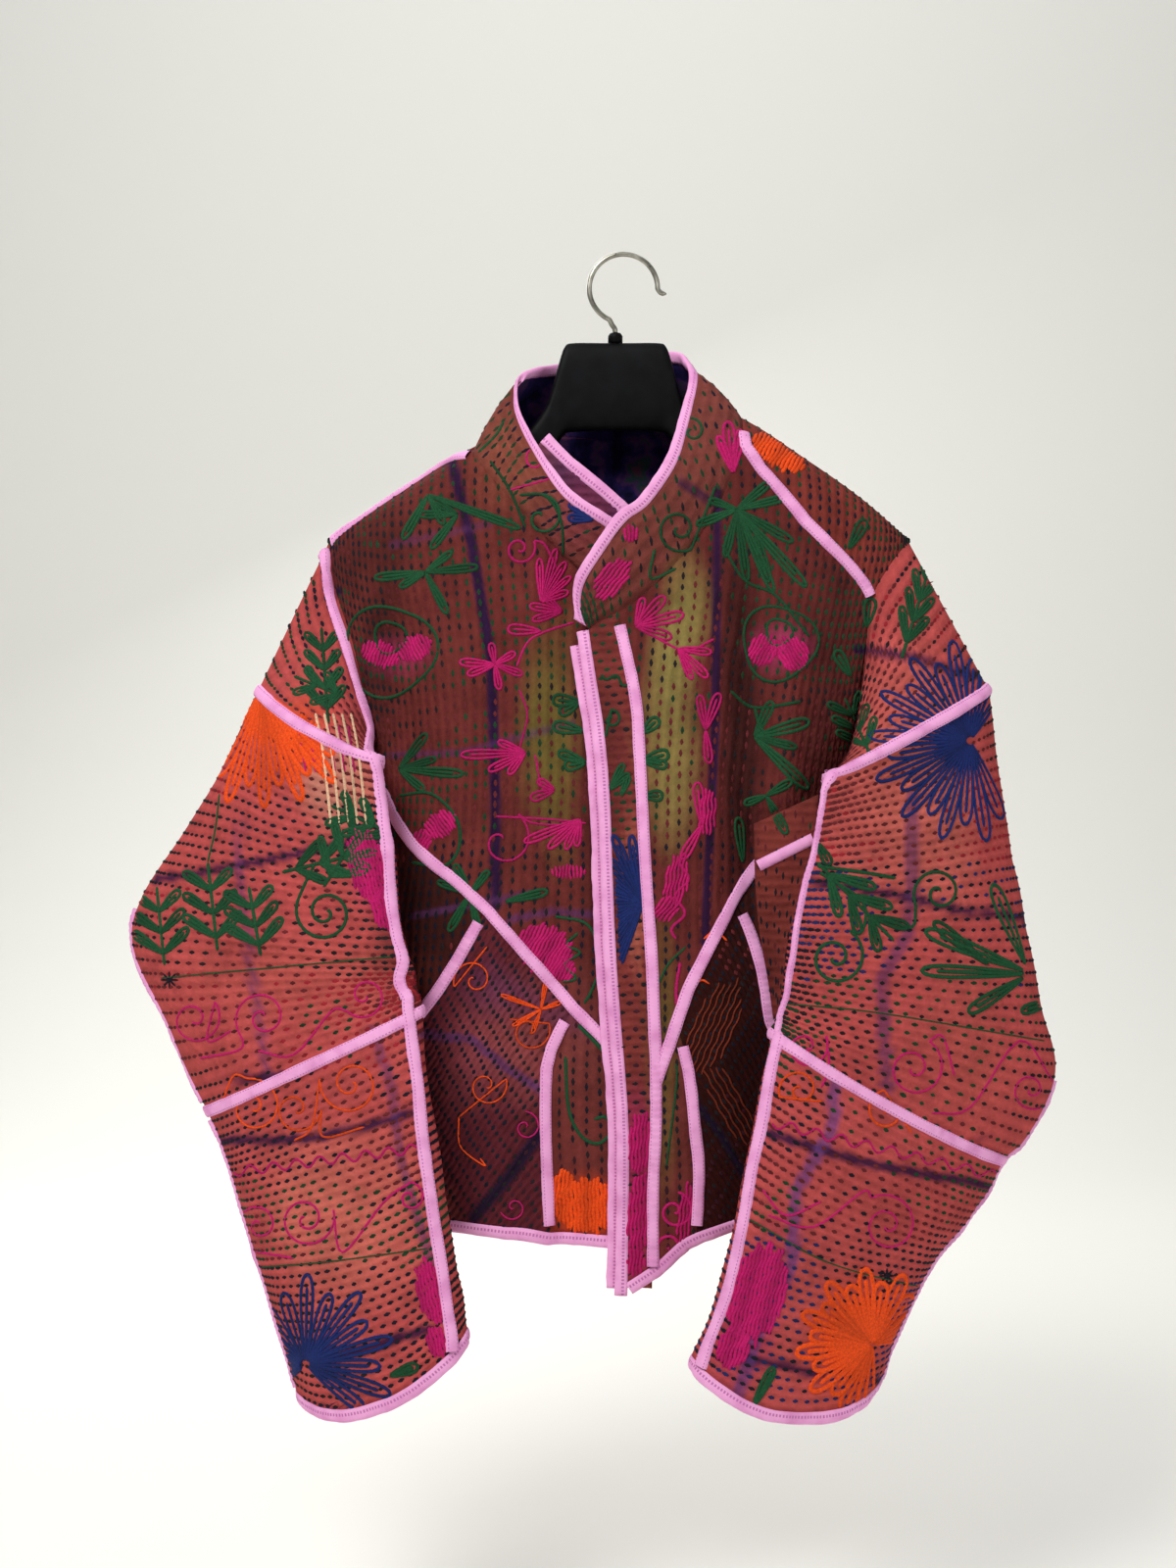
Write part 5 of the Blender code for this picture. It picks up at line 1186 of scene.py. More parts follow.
@dataclass
class Embroidery:
    """Needlework over one side of the jacket: lines by colour and width in mm, laid on a canvas."""

    name: str
    canvas: Canvas
    lines: list[tuple[Ink, float, Array]] = field(default_factory=list)

    def work(self, ink: Ink, width: float, *groups: list[Array] | Array) -> None:
        """Adds lines in one colour."""
        for group in groups:
            self.lines += [
                (ink, width, line) for line in ([group] if isinstance(group, np.ndarray) else group)
            ]

    def inks(self, *inks: Ink) -> list[Callable]:
        """Ways to add lines in each of some colours."""
        return [partial(self.work, ink) for ink in inks]

    def build(self, slot: str) -> bpy.types.Object:
        """Lays every line and makes them one piece."""
        grids, dyes = [], []
        for number, (ink, width, line) in enumerate(self.lines):
            shade = 0.8 + 0.35 * abs(math.sin(number * 2.7))
            tone = np.array(linear(ink.value)) * (shade, shade, shade, 1)
            for grid in self.canvas.strand(line, width * MM, 0.0011 if width > 2 else 0.0008, 0.0042):
                grids.append(grid)
                dyes.append(np.broadcast_to(tone, (*grid.shape[:2], 4)))
        return dress(ribbons(self.name, grids, [grid[..., [0, 2]] for grid in grids], dyes), slot, THREAD)

    def right_sleeve(self) -> None:
        """The wearer's right sleeve, as seen from the front."""
        green, magenta, orange, navy, black, pale = self.inks(Ink.GREEN, Ink.MAGENTA, Ink.ORANGE, Ink.NAVY,
            Ink.BLACK, Ink.PALE)
        green(3, sprig((335, 738), (328, 640), 4, 34, 40), sprig((352, 712), (300, 690), 2, 30, 40))
        orange(4.2, fan(268, 706, 2, 118, 205, 318, 13, 15))
        orange(3.6, filled(300, 748, 26, 20, 10, 4))
        pale(2.6,
            [curve([(322 + 9 * n, 728), (330 + 9 * n, 770), (338 + 9 * n, 842)], 14) for n in range(5)])
        magenta(2, [curve([(305 + 10 * n, 740), (312 + 10 * n, 788)], 8) for n in range(6)])
        green(3.4, sprig((330, 905), (378, 832), 3, 44, 48), sprig((390, 846), (338, 822), 2, 36, 40),
            sprig((288, 890), (380, 868), 3, 40, 36))
        green(3, spiral(332, 931, 31, -1.9, 150, (312, 900), (322, 880)))
        magenta(3, filled(376, 886, 19, 42, -14), filled(392, 928, 12, 24, -10))
        for foot, tip in (((168, 985), (160, 905)), ((222, 970), (212, 880)), ((266, 975), (254, 905))):
            green(3.4, sprig(foot, tip, 3, 42, 50, 11))
        green(2, curve([(212, 880), (220, 845), (224, 810)], 16))
        green(1.3, curve([(164, 998), (250, 990), (400, 976)], 40))
        black(2, star(173, 1000, 9))
        magenta(1.8, spiral(198, 1040, 28, 1.6, 40, (212, 1062), (236, 1052)),
            spiral(268, 1038, 28, 1.6, 200, (246, 1070), (204, 1080)),
            spiral(372, 1016, 24, -1.5, 220, (338, 1032), (300, 1076), (262, 1072)))
        orange(1.8, spiral(258, 1130, 30, 1.7, 100, (238, 1098), (226, 1128)),
            spiral(358, 1106, 32, -1.8, 170, (318, 1150), (300, 1164)),
            spiral(302, 1132, 26, 1.4, 0, (330, 1160), (372, 1150)))
        magenta(2, wave((238, 1196), (426, 1172), 8, 5),
            spiral(312, 1244, 30, 1.9, 20, (350, 1278), (392, 1226), (420, 1206)),
            spiral(264, 1250, 24, 1.6, 230, (258, 1276), (300, 1284)), spiral(418, 1222, 16, 1.4, 90))
        green(1.3, curve([(254, 1294), (330, 1288), (436, 1274)], 40))
        navy(3.2, fan(312, 1392, 4, 92, -38, 216, 15, 17))
        magenta(3, filled(441, 1320, 15, 36, -14), filled(446, 1370, 10, 18, -14))
        green(3.2, leaf(398, 1404, 30, 20, 14), leaf(404, 1402, 18, 20, 5))

    def right_front(self) -> None:
        """The wearer's right front, as seen."""
        green, magenta, orange = self.inks(Ink.GREEN, Ink.MAGENTA, Ink.ORANGE)
        green(3, petals((437, 505), (-20, 100, 9), (-62, 34, 9), (-120, 52, 10)),
            petals((467, 525), (232, 44, 9), (180, 40, 9), (150, 30, 8)),
            petals((434, 584), (6, 54, 10), (-62, 48, 9), (186, 52, 10), (38, 34, 8), (-150, 30, 8)),
            petals((407, 785), (-4, 66, 11), (52, 46, 10), (16, 40, 8), (-40, 34, 9)))
        green(2.8, petals((480, 912), (52, 30, 8), (-120, 44, 9), (-78, 40, 8), (118, 34, 9), (160, 36, 8)))
        green(3, petals((592, 716), (176, 28, 16), (-150, 24, 14)), petals((596, 746), (170, 32, 16)),
            petals((598, 778), (190, 22, 15), (160, 30, 12)), petals((516, 920), (14, 44, 10)))
        green(2.6, curve([(530, 505), (556, 506), (572, 530), (575, 567)]),
            curve([(500, 470), (520, 500), (536, 538)]))
        green(3, curve([(407, 812), (440, 810), (466, 836), (468, 866), (452, 884), (420, 880)]))
        green(2.6, curve([(566, 935), (600, 944), (613, 980), (604, 1010), (596, 1024)]))
        green(2.4, curve([(590, 952), (578, 964), (592, 972), (576, 984), (588, 998), (574, 1002)], 30))
        green(3.4, curve([(590, 1046), (604, 1060), (621, 1078)]))
        green(3,
            curve([(577, 1078), (580, 1130), (592, 1158), (610, 1167), (624, 1154), (618, 1140),
            (606, 1142)], 40))
        green(3, lips(398, 664, 46))
        magenta(3, filled(388, 668, 20, 14, 20, 3.4), filled(424, 662, 18, 14, -24, 3.4),
            filled(450, 842, 18, 14, -34, 3.4), filled(430, 858, 10, 12, 30, 3.4),
            filled(556, 970, 30, 26, 30, 3.4), filled(572, 988, 16, 14, 30, 3.4))
        magenta(2.2, filled(580, 890, 18, 8, 0, 3.6))
        magenta(2.4, spiral(530, 560, 17, 1.6, 30, (556, 556), (568, 580)))
        magenta(2.2, petals((552, 614), (74, 56, 9), (58, 48, 9), (92, 44, 9), (40, 40, 8), (20, 30, 9)),
            petals((574, 624), (170, 34, 10), (196, 32, 9), (140, 30, 9)), petals((552, 644), (176, 34, 14)),
            petals(
                (505, 678), (176, 36, 11), (200, 30, 10), (30, 24, 9), (-80, 26, 9), (-20, 30, 9),
                (100, 22, 9),
            ),
            petals((536, 768), (182, 66, 12), (206, 42, 10), (232, 28, 9), (158, 30, 9)))
        magenta(2, curve([(527, 680), (538, 656), (555, 645), (586, 635)]),
            curve([(506, 833), (560, 836), (598, 840)]))
        magenta(1.8, curve([(530, 704), (538, 730), (530, 764)]),
            curve([(546, 770), (552, 800), (562, 812)]))
        magenta(2.2, petals((592, 836), (202, 62, 11), (222, 44, 10), (244, 34, 9), (262, 28, 9)))
        magenta(2, spiral(512, 858, 32, 1.1, 60, (545, 840), (588, 842)))
        magenta(2.2, petals((566, 806), (200, 26, 12), (150, 20, 10)))
        orange(1.4, petals((552, 1030), (160, 44, 5), (210, 34, 5), (20, 22, 5), (80, 30, 5), (250, 26, 5)))
        for x, y, start, tail in (
            (540, 1052, 20, (520, 1040)), (496, 1108, 20, (468, 1140)), (484, 1000, 200, (497, 966)),
        ):
            orange(1.4, spiral(x, y, 22, 1.4, start, tail))
        orange(1.4, curve([(468, 1140), (470, 1170), (495, 1190), (490, 1182)]))
        magenta(1.4, spiral(536, 1150, 16, 1.4, 90), spiral(524, 1232, 14, -1.3, 200))
        orange(3.4, filled(600, 1232, 34, 30, 0, 3.8), filled(574, 1212, 10, 20, 10, 3.8))

    def left_front(self) -> None:
        """The collar, the placket and the wearer's left front, as seen."""
        green, magenta, orange, navy, rust = self.inks(Ink.GREEN, Ink.MAGENTA, Ink.ORANGE, Ink.NAVY,
            Ink.RUST)
        green(2.6, spiral(693, 540, 24, 1.6, 300, (724, 512), (730, 496)),
            spiral(706, 440, 17, 1.4, 200, (694, 470)), curve([(668, 560), (664, 590), (690, 580)]),
            spiral(552, 528, 24, 1.2, 90), curve([(488, 462), (506, 444), (514, 430)]))
        magenta(2.8, filled(624, 592, 14, 26, 40, 3.8), filled(644, 545, 8, 10, 0, 3.8))
        magenta(1.8, spiral(548, 470, 22, -1.3, 300, (520, 500)))
        navy(3, petals((606, 530), (176, 26, 10), (148, 30, 8)))
        magenta(2.4, petals((649, 639), (14, 50, 14), (46, 42, 14), (-18, 38, 13), (76, 30, 10)))
        magenta(2.2, petals((692, 662), (-6, 34, 10), (-44, 42, 11), (-66, 34, 8)),
            curve([(668, 650), (700, 664), (729, 652)]))
        orange(3.4, filled(794, 462, 30, 16, 32, 3.8))
        magenta(3, petals((748, 482), (96, 52, 16), (80, 44, 12), (112, 40, 10)))
        green(3,
            petals((752, 520), (-48, 106, 12), (-66, 92, 11), (-30, 66, 11), (-82, 74, 10), (-104, 50, 9)),
            petals((752, 520), (40, 44, 10), (14, 50, 9), (-160, 44, 10), (160, 30, 8)))
        green(2.8, petals((770, 538), (-76, 58, 12)),
            curve([(737, 556), (760, 592), (792, 608), (826, 650)]))
        green(2.8, lips(795, 656, 38))
        magenta(3, filled(778, 664, 14, 18, 30, 3.4), filled(810, 668, 15, 20, -30, 3.4),
            filled(794, 662, 8, 10, 0, 3.4))
        green(3.2, petals((770, 752), (16, 58, 15), (-44, 76, 14), (64, 40, 12), (-14, 44, 9)))
        green(3, curve([(745, 705), (770, 722), (817, 716)]), curve([(770, 722), (776, 742), (792, 760)]))
        green(2.8, petals((782, 812), (-62, 44, 11), (200, 24, 9), (30, 30, 10)),
            petals((758, 880), (96, 46, 12)))
        magenta(2.2, petals((720, 745), (70, 40, 12), (100, 36, 11), (-84, 34, 11)),
            petals((716, 842), (96, 44, 13), (240, 40, 12)))
        magenta(2.4, filled(690, 900, 12, 30, 10, 3.6), filled(680, 928, 11, 16, 40, 3.6),
            filled(722, 830, 9, 26, 4, 3.6))
        magenta(2.6, wave((700, 870), (690, 958), 2.5, 6), curve([(694, 982), (690, 1010), (692, 1042)]))
        green(3, petals((655, 748), (40, 22, 15)), petals((655, 776), (14, 28, 16), (-12, 26, 12)),
            petals((656, 812), (0, 20, 14)))
        green(2.6, wave((614, 688), (642, 698), 1.5, 4), spiral(624, 734, 10, 1.3, 90, (618, 752)),
            petals((622, 806), (40, 26, 8), (62, 30, 8)), petals((634, 812), (70, 22, 8)))
        for lean, length in (
            (100, 70), (114, 76), (128, 60), (146, 56), (164, 50), (182, 50), (200, 56), (214, 66),
            (228, 84), (238, 104), (248, 124),
        ):
            for line in petals((656, 921), (lean, length, 11)):
                navy(3, kept(line, 0.075, 851, 622, 653))
        magenta(2.8, filled(653, 1168, 12, 34, 4, 3.6), filled(652, 1240, 12, 44, 4, 3.6),
            filled(646, 1288, 12, 16, 4, 3.6))
        magenta(2.6, spiral(688, 1236, 20, 1.6, 80), spiral(684, 1272, 14, 1.2, 200))
        magenta(2.4, filled(700, 1240, 8, 34, 8, 3.6))
        green(2, curve([(690, 1085), (690, 1110), (680, 1190)]),
            curve([(672, 1004), (682, 984), (700, 966)]))
        rust(1.6, filled(728, 1050, 22, 54, 24, 5.4), filled(748, 1130, 16, 50, -30, 6))
        orange(1.8, curve([(706, 1006), (716, 1000), (724, 1004)]),
            curve([(718, 958), (730, 950), (742, 960)]))

    def left_sleeve(self) -> None:
        """The wearer's left sleeve, as seen from the front."""
        green, magenta, orange, navy, black = self.inks(Ink.GREEN, Ink.MAGENTA, Ink.ORANGE, Ink.NAVY,
            Ink.BLACK)
        green(3.2, sprig((920, 672), (952, 566), 4, 40, 24, 9), leaf(884, 640, 30, 80, 16),
            leaf(866, 560, 34, 60, 14), leaf(868, 690, 30, 120, 14))
        green(3, sprig((888, 770), (862, 712), 3, 36, 40))
        navy(3.2, fan(990, 756, 4, 104, 62, 292, 19, 17))
        green(3, leaf(834, 860, 26, -60, 12), spiral(958, 911, 27, 1.6, 210, (930, 946), (900, 936)),
            spiral(852, 977, 31, 1.8, 60, (880, 950), (880, 920), (836, 890)))
        green(3.6, leaf(1046, 984, 88, 112, 18), leaf(1044, 990, 108, 158, 18),
            leaf(1044, 994, 104, 178, 16), leaf(1044, 998, 66, 212, 15), leaf(1008, 984, 70, 142, 14),
            leaf(1076, 1020, 36, 200, 12))
        green(3.4, sprig((834, 880), (912, 960), 3, 52, 30, 12))
        green(3.2, curve([(834, 884), (880, 890), (914, 896)], 12))
        green(1.3, curve([(800, 1024), (900, 1034), (1066, 1062)], 40))
        magenta(1.8, spiral(822, 1068, 24, 1.5, 30, (846, 1088), (838, 1110)),
            spiral(932, 1090, 32, 1.8, 60, (962, 1058), (974, 1098)),
            spiral(1052, 1112, 24, 1.7, 20, (1040, 1062), (990, 1130), (950, 1136)))
        orange(2, spiral(816, 1112, 22, 1.5, 200, (840, 1124)),
            spiral(906, 1134, 22, -1.5, 100, (930, 1156)))
        magenta(1.8, wave((788, 1146), (1018, 1200), 9, 5),
            spiral(905, 1250, 32, 1.9, 120, (880, 1216), (830, 1252), (784, 1240)),
            curve([(778, 1214), (802, 1240), (838, 1226)], 20))
        green(1.3, curve([(764, 1244), (850, 1290), (960, 1318)], 40))
        black(2, star(905, 1302, 8))
        magenta(3, filled(772, 1322, 29, 54, 16, 3.6), filled(748, 1376, 16, 24, 20, 3.6))
        orange(4.2, fan(890, 1372, 3, 78, 20, 262, 17, 20))
        green(3.2, leaf(768, 1436, 46, 62, 12), leaf(776, 1424, 28, 62, 5))

    def back(self) -> None:
        """The drawings of the back, like those of the front."""
        green, magenta, orange, navy = self.inks(Ink.GREEN, Ink.MAGENTA, Ink.ORANGE, Ink.NAVY)
        green(3.4, sprig((470, 620), (520, 500), 4, 50, 42, 12),
            sprig((760, 600), (700, 500), 4, 50, 42, 12))
        navy(3.2, fan(632, 640, 5, 96, 20, 250, 15, 17))
        orange(4, fan(500, 1170, 4, 92, -10, 200, 15, 18))
        navy(3.2, fan(778, 1150, 5, 88, 60, 300, 15, 17))
        orange(3.4, filled(760, 700, 30, 22, 20, 3.8))
        for x, y, size, lean in (
            (520, 800, 40, 10), (720, 860, 38, -14), (620, 1100, 38, 8), (790, 560, 30, 20),
        ):
            green(3.2, lips(x, y, size))
            magenta(3, filled(x, y + size * 0.05, size * 0.72, size * 0.3, lean))
        for foot, tip in (
            ((600, 820), (660, 720)), ((480, 980), (540, 890)), ((690, 1040), (760, 950)),
            ((820, 900), (800, 780)),
        ):
            green(3.4, sprig(foot, tip, 3, 46, 42, 12))
        for x, y, start in (
            (450, 730, 20), (560, 700, 200), (650, 960, 90), (560, 1010, 300), (840, 1010, 150),
            (450, 1080, 60),
        ):
            (green if start % 3 else magenta)(2.4, spiral(x, y, 30, 1.7, start, (x + 34, y + 22)))
        for x, y, start in ((540, 930, 40), (700, 760, 220), (820, 1060, 100), (600, 1210, 10)):
            orange(1.8, spiral(x, y, 26, -1.6, start, (x - 30, y + 20)))
        for x, y, wide, tall, lean in (
            (420, 860, 18, 36, 10), (840, 720, 16, 34, -14), (690, 1200, 26, 18, 6),
        ):
            magenta(3, filled(x, y, wide, tall, lean))
        for start, end in (((410, 690), (860, 700)), ((410, 1120), (850, 1130))):
            magenta(1.8, wave(start, end, 14, 5))
        for x, sign in ((300, 1), (960, -1)):
            green(3.2, sprig((x, 760), (x + 16 * sign, 640), 4, 44, 36, 11))
            orange(4, fan(x - 20 * sign, 860, 4, 74, 200, 340, 9, 16))
            green(3, spiral(x + 40 * sign, 900, 28, 1.7 * sign, 100, (x, 940)))
            green(3.2, sprig((x - 60 * sign, 1010), (x - 70 * sign, 930), 3, 38, 46, 11))
            magenta(2, wave((x - 70, 1050), (x + 70, 1050), 6, 5),
                spiral(x + 30 * sign, 1100, 28, 1.7 * sign, 30, (x - 20 * sign, 1130)))
            orange(1.8, spiral(x - 10 * sign, 1180, 26, -1.6 * sign, 60, (x + 30 * sign, 1200)))
            magenta(3, filled(x + 50 * sign, 1260, 18, 40, 12 * sign))
            navy(3.2, fan(x + 44 * sign, 1390, 4, 80, 10, 190, 13, 16))


def threads(name: str, slot: str, grids: list[Array], dyes: list[Array]) -> None:
    """Makes one piece of raised threads."""
    dress(ribbons(name, grids, [grid[..., [0, 2]] for grid in grids], dyes), slot, THREAD)


@dataclass
class RunningStitches:
    """Short raised stitches in rows. Each zone gives how low it reaches in the picture, then its colours."""

    zones: tuple
    length: float
    width: float
    height: float = 0.0007

    def tones(self, seen_y: Array, chance: Array) -> Array:
        """A linear colour for each stitch, from its height and a number from 0 to 1."""
        colours, high = np.zeros((len(seen_y), 4)), -math.inf
        for low, *tones in self.zones:
            here = (seen_y >= high) & (seen_y < low)
            choice = np.minimum((chance * len(tones)).astype(int), len(tones) - 1)
            colours[here] = np.array([linear(tone) for tone in tones])[choice[here]]
            high = low
        return colours

    def along(
        self, surface: Surface, u: Array, v: Array, step: tuple, facing: Callable,
    ) -> tuple[list, list]:
        """Raises one stitch at each place of a surface.

        Args:
            surface: The cloth.
            u: First coordinate of each.
            v: Second coordinate of each.
            step: A small move along the row, in u and v.
            facing: Gives outward directions at places.

        Returns:
            Grids of points, three by three, and their colours.
        """
        point = surface.point(u, v)
        return self.raised(point, facing(u, v), unit(surface.point(u + step[0], v + step[1]) - point))

    def raised(self, point: Array, facing: Array, ahead: Array) -> tuple[list, list]:
        """Raises one stitch at each point.

        Args:
            point: Their middles.
            facing: Outward directions.
            ahead: Directions along them.

        Returns:
            Grids of points, three by three, and their colours.
        """
        side = unit(np.cross(facing, ahead))
        chance = np.modf(np.abs(np.sin(np.arange(len(point)) * 12.9898 + 3.1) * 43758.5453))[0]
        size = (0.8 + 0.4 * np.roll(chance, 7))[:, None]
        rows = []
        for end, middle, rise in ((-0.5, 0.55, 0.2), (0.0, 1.0, 1.0), (0.5, 0.55, 0.2)):
            start = point + ahead * end * self.length * size
            lifts = (-0.5, -0.3), (0.0, rise), (0.5, -0.3)
            row = [
                start + side * over * self.width * middle + facing * lift * self.height
                for over, lift in lifts
            ]
            rows.append(np.stack(row, axis=1))
        broad = np.clip(
            0.5 + 0.5 * ripple(point[:, 0], point[:, 2], 0.05, 31) + 0.35 * (chance - 0.5), 0, 0.999,
        )
        seen_y = picture_points(point)[:, 1] + 8 * ripple(point[:, 0], point[:, 2], 0.02, 33)
        colours = self.tones(seen_y, broad)
        colours[:, :3] *= (0.75 + 0.5 * np.roll(chance, 3))[:, None]
        dyes = np.broadcast_to(colours[:, None, None], (len(point), 3, 3, 4))
        return list(np.stack(rows, axis=1)), list(dyes)


def inside(outline: Array, points: Array) -> Array:
    """Which points lie within a closed outline."""
    within = np.zeros(len(points), bool)
    for start, end in zip(outline, np.roll(outline, -1, axis=0)):
        crosses = (start[1] > points[:, 1]) != (end[1] > points[:, 1])
        with np.errstate(divide="ignore", invalid="ignore"):
            at = (end[0] - start[0]) * (points[:, 1] - start[1]) / (end[1] - start[1]) + start[0]
        within ^= crosses & (points[:, 0] < at)
    return within


def settled(grid: Array, turns: int = 400) -> Array:
    """A grid of places with its lines evened out so that none cross, its edges kept."""
    grid = grid * (BODY_REACH, 1)
    for _ in range(turns // 2):
        grid[1:-1, 1:-1] = (grid[:-2, 1:-1] + grid[2:, 1:-1] + grid[1:-1, :-2] + grid[1:-1, 2:]) / 4
    for _ in range(turns):
        over, down = (grid[1:-1, 2:] - grid[1:-1, :-2]) / 2, (grid[2:, 1:-1] - grid[:-2, 1:-1]) / 2
        a, b, c = (np.sum(each, axis=-1, keepdims=True) for each in (down**2, over * down, over**2))
        twist = (grid[2:, 2:] - grid[2:, :-2] - grid[:-2, 2:] + grid[:-2, :-2]) / 2
        inner = a * (grid[1:-1, 2:] + grid[1:-1, :-2]) + c * (grid[2:, 1:-1] + grid[:-2, 1:-1]) - b * twist
        grid[1:-1, 1:-1] = inner / (2 * (a + c) + 1e-12)
    return grid / (BODY_REACH, 1)


def patch(top: Array, bottom: Array, left: Array, right: Array, step: float = 0.0033) -> Array:
    """A fine grid of places inside four edges.

    Args:
        top: Upper edge, with as many points as the lower one.
        bottom: Lower edge.
        left: First side edge, with as many points as the other.
        right: Other side edge.
        step: Distance between grid lines, in metres.

    Returns:
        Rows by columns of places.
    """
    wide, tall = (
        int(max(run_of(edge * BODY_FLAT)[-1] for edge in pair) / step) + 2 for pair in (
            (top, bottom), (left, right),
        )
    )
    top, bottom, left, right = finer(top, wide), finer(bottom, wide), finer(left, tall), finer(right, tall)
    across, down = (
        run / run[-1] for run in (
            sum(run_of(edge * (BODY_REACH, 1)) for edge in pair) for pair in ((top, bottom), (left, right))
        )
    )
    across, down = across[None, :, None], down[:, None, None]
    ruled = mixed(top[None], bottom[None], down) + mixed(left[:, None], right[:, None], across)
    return ruled - mixed(mixed(top[0], top[-1], across), mixed(bottom[0], bottom[-1], across), down)


@dataclass(frozen=True)
class RowPlan:
    """How rows of stitches lie on a cloth: stitch pitch and row spacing in metres, lean in degrees."""

    pitch: float
    spacing: float
    lean: float = 0.0
    girth: float = 0.0

    def wander(self, flat: Array) -> Array:
        """How far the rows stray at flat places, in metres."""
        across = 0.06 * np.cos(2 * math.pi * flat[..., 0] / self.girth) if self.girth else flat[..., 0]
        return 0.0016 * ripple(across, flat[..., 1], 0.04, 52) + 0.0004 * ripple(
            across, flat[..., 1], 0.009, 53,
        )

    def count(self, flat: Array) -> Array:
        """Stitches along the rows and rows across, at flat places in metres."""
        along, across = np.moveaxis(flat @ turned(self.lean), -1, 0)
        return columns_of(along / self.pitch, (across - self.wander(flat)) / self.spacing)

    def stitches(self, low: Array, high: Array) -> Array:
        """Flat places of the stitches between two corners of a box, a few of them worn away."""
        corners = np.array([(low[0], low[1]), (low[0], high[1]), (high[0], low[1]), (high[0], high[1])])
        ends = (corners @ turned(self.lean) / (self.pitch, self.spacing)).T
        i, j = np.meshgrid(*(np.arange(math.floor(each.min()), each.max() + 1) for each in ends))
        i = i + 0.5 * (j % 2) + 0.12 * ripple(i, j, 2.3, 51)
        flat = columns_of(i * self.pitch, j * self.spacing) @ turned(-self.lean)
        flat = (flat + columns_of(0.0, self.wander(flat)) @ turned(-self.lean)).reshape(-1, 2)
        flat = flat[((flat >= low) & (flat <= high)).all(-1)]
        return flat[np.abs(np.sin(flat[:, 0] * 991 + flat[:, 1] * 577)) > 0.04]


BODY_ROWS = RowPlan(0.0078, 0.0064, 90)
POCKET_ROWS = {"pocket_right": RowPlan(0.0060, 0.0050, 52), "pocket_left": RowPlan(0.0060, 0.0050, 128)}
PLACKET_ROWS = RowPlan(0.0070, 0.0062)
SLEEVE_ROWS = RowPlan(0.0066, 0.0063, 0, 0.38)
COLLAR_ROWS = RowPlan(0.0084, 0.0068)


@dataclass
class Wardrobe:
    """What every sub-assembly shares: surfaces, and finished cloth for drawing on."""

    body: BodySurface = field(default_factory=BodySurface)
    covered: BodySurface = field(default_factory=lambda: BodySurface(1.0))
    collar: CollarSurface = field(default_factory=CollarSurface)
    points: list[tuple] = field(default_factory=list)
    faces: list[list] = field(default_factory=list)

    def front(self, side: Side) -> BodySurface:
        """The surface of one front."""
        return self.covered if side is Side.RIGHT else self.body

    def cloth(self) -> BVHTree:
        """All the cloth that can be drawn on."""
        return BVHTree.FromPolygons(self.points, self.faces)

    def sheet(
        self, node: str, slot: str, points: Array, normals: Array, flat: Array, rows: RowPlan, dye: Array,
        thick: float = CLOTH, closed: bool = False, drawn_on: bool = True, rests_on: tuple | list = (),
    ) -> None:
        """Makes one cut of quilt with its lining, in place of the solid of that name.

        Args:
            node: The solid.
            slot: Its slot; not used.
            points: Grid of the outer face.
            normals: Outward directions there.
            flat: Flat places, in metres.
            rows: How its running stitches lie.
            dye: Colours.
            thick: Its thickness.
            closed: Joins the last column to the first.
            drawn_on: Whether embroidery may lie on it.
            rests_on: Pieces that carry it; not used.
        """
        piece = ribbons(f"{node}_quilt", [points], [rows.count(flat)], [dye], normals)
        if closed:
            reworked(piece.data, sewn_shut)
        shell = piece.modifiers.new("layers", "SOLIDIFY")
        shell.thickness, shell.offset, shell.material_offset = thick, -1, 1
        dress(piece, slot, QUILT, node)
        piece.data.materials.append(LINING)
        wide, long, area = cut_size(points, flat)
        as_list(rests_on)
        log.info("%s is cut %.0f by %.0f mm, %.4f square metres", node, wide / MM, long / MM, area)
        if drawn_on:
            number = np.arange(points[..., 0].size).reshape(points.shape[:2]) + len(self.points)
            quads = columns_of(number[:-1, :-1], number[:-1, 1:], number[1:, 1:], number[1:, :-1])
            self.faces += quads.reshape(-1, 4).tolist()
            self.points += map(tuple, points.reshape(-1, 3))


